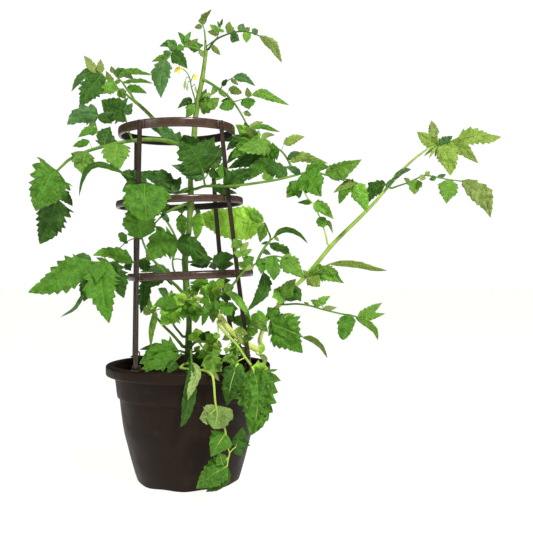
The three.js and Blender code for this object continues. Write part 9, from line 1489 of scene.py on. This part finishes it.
# ---------------------------------------------------------------- cage
def rounded_box(build, size, centre, turn, mat, r=.9, tilt=None):
    """A box with rounded edges, turned about the upright axis."""
    h = np.array(size) / 2
    r = min(r, *(h * .9))
    n = 3
    # cube-sphere lattice, stretched to the box
    g1 = np.array([-1, -.55, 0, .55, 1.0])
    tri_v, quads, base = [], [], 0
    faces = []
    vs, index = [], {}

    def vid(p):
        key = tuple(np.round(p, 5))
        if key not in index:
            index[key] = len(vs)
            vs.append(p)
        return index[key]
    for ax in range(3):
        for sg in (-1, 1):
            for i in range(4):
                for j in range(4):
                    c4 = []
                    for (a, b2) in ((i, j), (i + 1, j), (i + 1, j + 1), (i, j + 1)):
                        p = np.zeros(3)
                        p[ax], p[(ax + 1) % 3], p[(ax + 2) % 3] = sg, g1[a], g1[b2]
                        c4.append(vid(p))
                    quads.append(c4 if sg > 0 else c4[::-1])
    p = np.array(vs)
    d = unit(p)
    core = np.sign(p) * (np.abs(p) > .2) * (h - r)
    out = core + d * r
    # flat faces: points of a face lie in its plane
    for ax in range(3):
        on = np.abs(np.abs(p[:, ax]) - 1) < 1e-6
        inner = on & (np.abs(p[:, (ax + 1) % 3]) < .99) & (np.abs(p[:, (ax + 2) % 3]) < .99)
        out[inner, ax] = np.sign(p[inner, ax]) * h[ax]
    out = out + np.array(centre)
    c, s = math.cos(turn), math.sin(turn)
    out = out @ np.array([[c, s, 0], [-s, c, 0], [0, 0, 1]])
    if tilt is not None:
        out = tilt(out)
    build.add(out, quads, None, mat, True)


def leg_section():
    # half-round channel: bulging front with a shallow flute on each side, flat back
    pts = []
    for a in np.radians(np.linspace(0, 180, 21)):
        x, y = 4.75 * math.cos(a), 3.4 * math.sin(a)
        y -= .28 * math.exp(-((abs(x) - 2.6) / .7) ** 2)
        pts.append((x, max(y, 0)))
    pts += [(-4.75, -.5), (-4.3, -1.2), (-3.6, -1.4), (-1.8, -1.4), (0, -1.4), (1.8, -1.4), (3.6, -1.4), (4.3, -1.2), (4.75, -.5)]
    return np.array(pts)


SEC = leg_section()
RINGS = {"top": (-20.9, -8, 648, 108, 16.5, .027, -.012), "middle": (-16.2, 0, 516, 118, 13, .04, 0), "lower": (3.9, 0, 381.8, 117, 13, .037, 0)}


def leg(build, pts):
    pts = np.array(pts, float)
    pts[0, 2] = 219.0
    cen = [None, RINGS["lower"], RINGS["middle"], RINGS["top"], RINGS["top"]]
    outs = []
    for i, p in enumerate(pts):
        o = p[:2] - (np.array(cen[i][:2]) if cen[i] else 0)
        outs.append([*(o / np.linalg.norm(o)), 0])
    outs = np.array(outs)
    c, o = [], []
    for i in range(len(pts) - 1):
        for k in range(10 if i < 3 else 2):
            f = k / (10 if i < 3 else 2)
            c.append(pts[i] * (1 - f) + pts[i + 1] * f)
            o.append(outs[i] * (1 - f) + outs[i + 1] * f)
    c.append(pts[-1])
    o.append(outs[-1])
    c, o = np.array(c), np.array(o)
    t = unit(np.gradient(c, axis=0))
    o = unit(o - t * (o * t).sum(-1, keepdims=True))
    s = np.cross(t, o)
    n, m = len(c), len(SEC)
    # slightly rounded top end
    sc = np.ones(n)
    v = c[:, None] + SEC[None, :, :1] * s[:, None] * sc[:, None, None] + SEC[None, :, 1:] * o[:, None] * sc[:, None, None]
    v = v.reshape(-1, 3)
    q = grid_faces(n, m, True)
    ends = np.array([c[0] + o[0] * .8, c[-1] + o[-1] * .8 + t[-1] * .5])
    k = np.arange(m)
    tri = np.vstack([np.stack([(k + 1) % m, k, np.full(m, n * m)], -1), np.stack([(n - 1) * m + k, (n - 1) * m + (k + 1) % m, np.full(m, n * m + 1)], -1)])
    vv = np.vstack([v, ends])
    # outward check on the first ring of faces
    a0, a1, a2 = vv[q[5, 0]], vv[q[5, 1]], vv[q[5, 3]]
    if np.cross(a1 - a0, a2 - a0) @ (a0 - c[0]) < 0:
        q, tri = q[:, ::-1], tri[:, ::-1]
    build.add(vv, q, tri, 0, (True, False))


for name, pts in LEGS.items():
    b = Build()
    leg(b, pts)
    turn = math.atan2(pts[0][1], pts[0][0])
    top = 217.35
    mid_r = (136 + 152.5) / 2
    rounded_box(b, (19.4, 19, 2.6), ((131.7 + 151.1) / 2, 0, top + 1.3), turn, 0, 1.0)
    rounded_box(b, (2.4, 19, 10), (132.9, 0, top + 2.6 - 5), turn, 0, .9)
    ct, st2 = math.cos(turn), math.sin(turn)

    def at(r, y, z):
        return [ct * r - st2 * y, st2 * r + ct * y, z]
    # a small arch beside the leg on each side
    for sg in (-1, 1):
        ear = []
        for k in range(9):
            f = math.pi * k / 8
            ear.append([*at(144, sg * (5.9 + 3.4 * math.cos(f)), top + 1.6 + 8.6 * math.sin(f) * (1.0 if k < 5 else .8 + .2 * math.sin(f))), 1.25])
        tube(b, ear, 0, 10, 3)
    piece("cage_leg_" + name + "_bar", b, [MAT_LEG], "cage", "cage_leg_" + name)

for name, (cx, cy, cz, R, h, tx, ty) in RINGS.items():
    b = Build()
    t = 5.5
    H = h / 2
    prof = [(R - t, -H + 1.0), (R - t, -H / 3), (R - t, H / 3), (R - t, H - 1.0), (R - t + .3, H - .3), (R - t + 1, H), (R - t / 2, H), (R - 2.2, H), (R - 1.2, H - .35), (R - .45, H - 1.2), (R - .08, H - 2.6),
            (R + .12, H / 2.4), (R + .2, 0), (R + .12, -H / 2.4), (R - .08, -H + 2.6), (R - .45, -H + 1.2), (R - 1.2, -H + .35), (R - 2.2, -H), (R - t / 2, -H), (R - t + 1, -H), (R - t + .3, -H + .3)]
    lathe(b, prof, 200, 0)

    def tilt(p, c=(cx, cy, cz), tx=tx, ty=ty):
        q = p.copy()
        q[:, 2] = p[:, 2] + tx * p[:, 0] + ty * p[:, 1]
        q[:, 0] = p[:, 0] - tx * p[:, 2]
        q[:, 1] = p[:, 1] - ty * p[:, 2]
        return q + np.array(c)
    # turned so that the faces point outward; the faces towards the plant take the darker cage material, painted shade
    b.v[-1] = tilt(b.v[-1])
    b.q[-1] = b.q[-1][:, ::-1]
    m = b.qm[-1].copy()
    m[np.arange(len(m)) // 200 < 3] = 1
    b.qm[-1] = m
    row = {"lower": 1, "middle": 2, "top": 3}[name]
    for pts in LEGS.values():
        p = pts[row]
        a = math.atan2(p[1] - cy, p[0] - cx)
        for sg in (-1, 1):
            # cheeks of the clip on each side of the leg
            rounded_box(b, (5.2, 2.4, h - 3), (R + 1.3, sg * (4.75 + .5 + 1.2), 0), a, 0, .8, tilt)
    piece("cage_ring_" + name + "_band", b, [MAT_CAGE, MAT_CAGE_PAINTED_SHADE], "cage", "cage_ring_" + name)

# ---------------------------------------------------------------- stage and light
SKY_FRONT, SKY_BACK = .26, .10
me = bpy.data.meshes.new("floor")
me.from_pydata([(-12, -12, 0), (12, -12, 0), (12, 12, 0), (-12, 12, 0)], [], [(0, 1, 2, 3)])
floor = bpy.data.objects.new("floor", me)
bpy.context.scene.collection.objects.link(floor)
mat_floor, nt, bs = nodes_of("floor")
bs.inputs["Base Color"].default_value = (.30, .295, .28, 1)
bs.inputs["Roughness"].default_value = .9
bs.inputs["Emission Color"].default_value = (1, .99, .96, 1)
bs.inputs["Emission Strength"].default_value = .94
bs.inputs["Specular IOR Level"].default_value = .1
me.materials.append(mat_floor)

world = bpy.context.scene.world or bpy.data.worlds.new("world")
bpy.context.scene.world = world
world.use_nodes = True
wt = world.node_tree
wt.nodes.clear()
w_out = wt.nodes.new("ShaderNodeOutputWorld")
w_bg = wt.nodes.new("ShaderNodeBackground")
w_cam = wt.nodes.new("ShaderNodeBackground")
w_cam.inputs[0].default_value = (1, 1, 1, 1)
w_cam.inputs[1].default_value = 1.05
w_mix = wt.nodes.new("ShaderNodeMixShader")
w_path = wt.nodes.new("ShaderNodeLightPath")
w_co = wt.nodes.new("ShaderNodeTexCoord")
w_xyz = wt.nodes.new("ShaderNodeSeparateXYZ")
wt.links.new(w_co.outputs["Generated"], w_xyz.inputs[0])
# brighter above and in front, darker behind and below
front = ramp(wt, w_xyz.outputs[1], -.9, .9, SKY_FRONT, SKY_BACK)
upper = ramp(wt, w_xyz.outputs[2], -.3, 1.0, .75, 1.25)
wt.links.new(math_node(wt, "MULTIPLY", front, upper), w_bg.inputs[1])
w_bg.inputs[0].default_value = (1, 1, 1, 1)
wt.links.new(w_path.outputs["Is Camera Ray"], w_mix.inputs[0])
wt.links.new(w_bg.outputs[0], w_mix.inputs[1])
wt.links.new(w_cam.outputs[0], w_mix.inputs[2])
wt.links.new(w_mix.outputs[0], w_out.inputs[0])


def area(name, loc, target, size, power, colour=(1, 1, 1)):
    data = bpy.data.lights.new(name, "AREA")
    data.size = size
    data.energy = power
    data.color = colour
    ob = bpy.data.objects.new(name, data)
    bpy.context.scene.collection.objects.link(ob)
    ob.location = loc
    d = np.array(target, float) - np.array(loc, float)
    ob.rotation_euler = (math.acos(d[2] / np.linalg.norm(d)) + math.pi, 0, math.atan2(d[1], d[0]) - math.pi / 2 + math.pi)
    from mathutils import Vector
    ob.rotation_euler = Vector(d).to_track_quat("-Z", "Y").to_euler()
    return ob


area("key", (1.0, -1.7, 2.2), (0.1, 0, .4), .3, 66, (1, .985, .95))
area("fill", (-1.6, -1.5, 1.5), (0, 0, .45), .9, 11)
bpy.context.scene.view_settings.view_transform = "Standard"
bpy.context.scene.view_settings.look = "None"
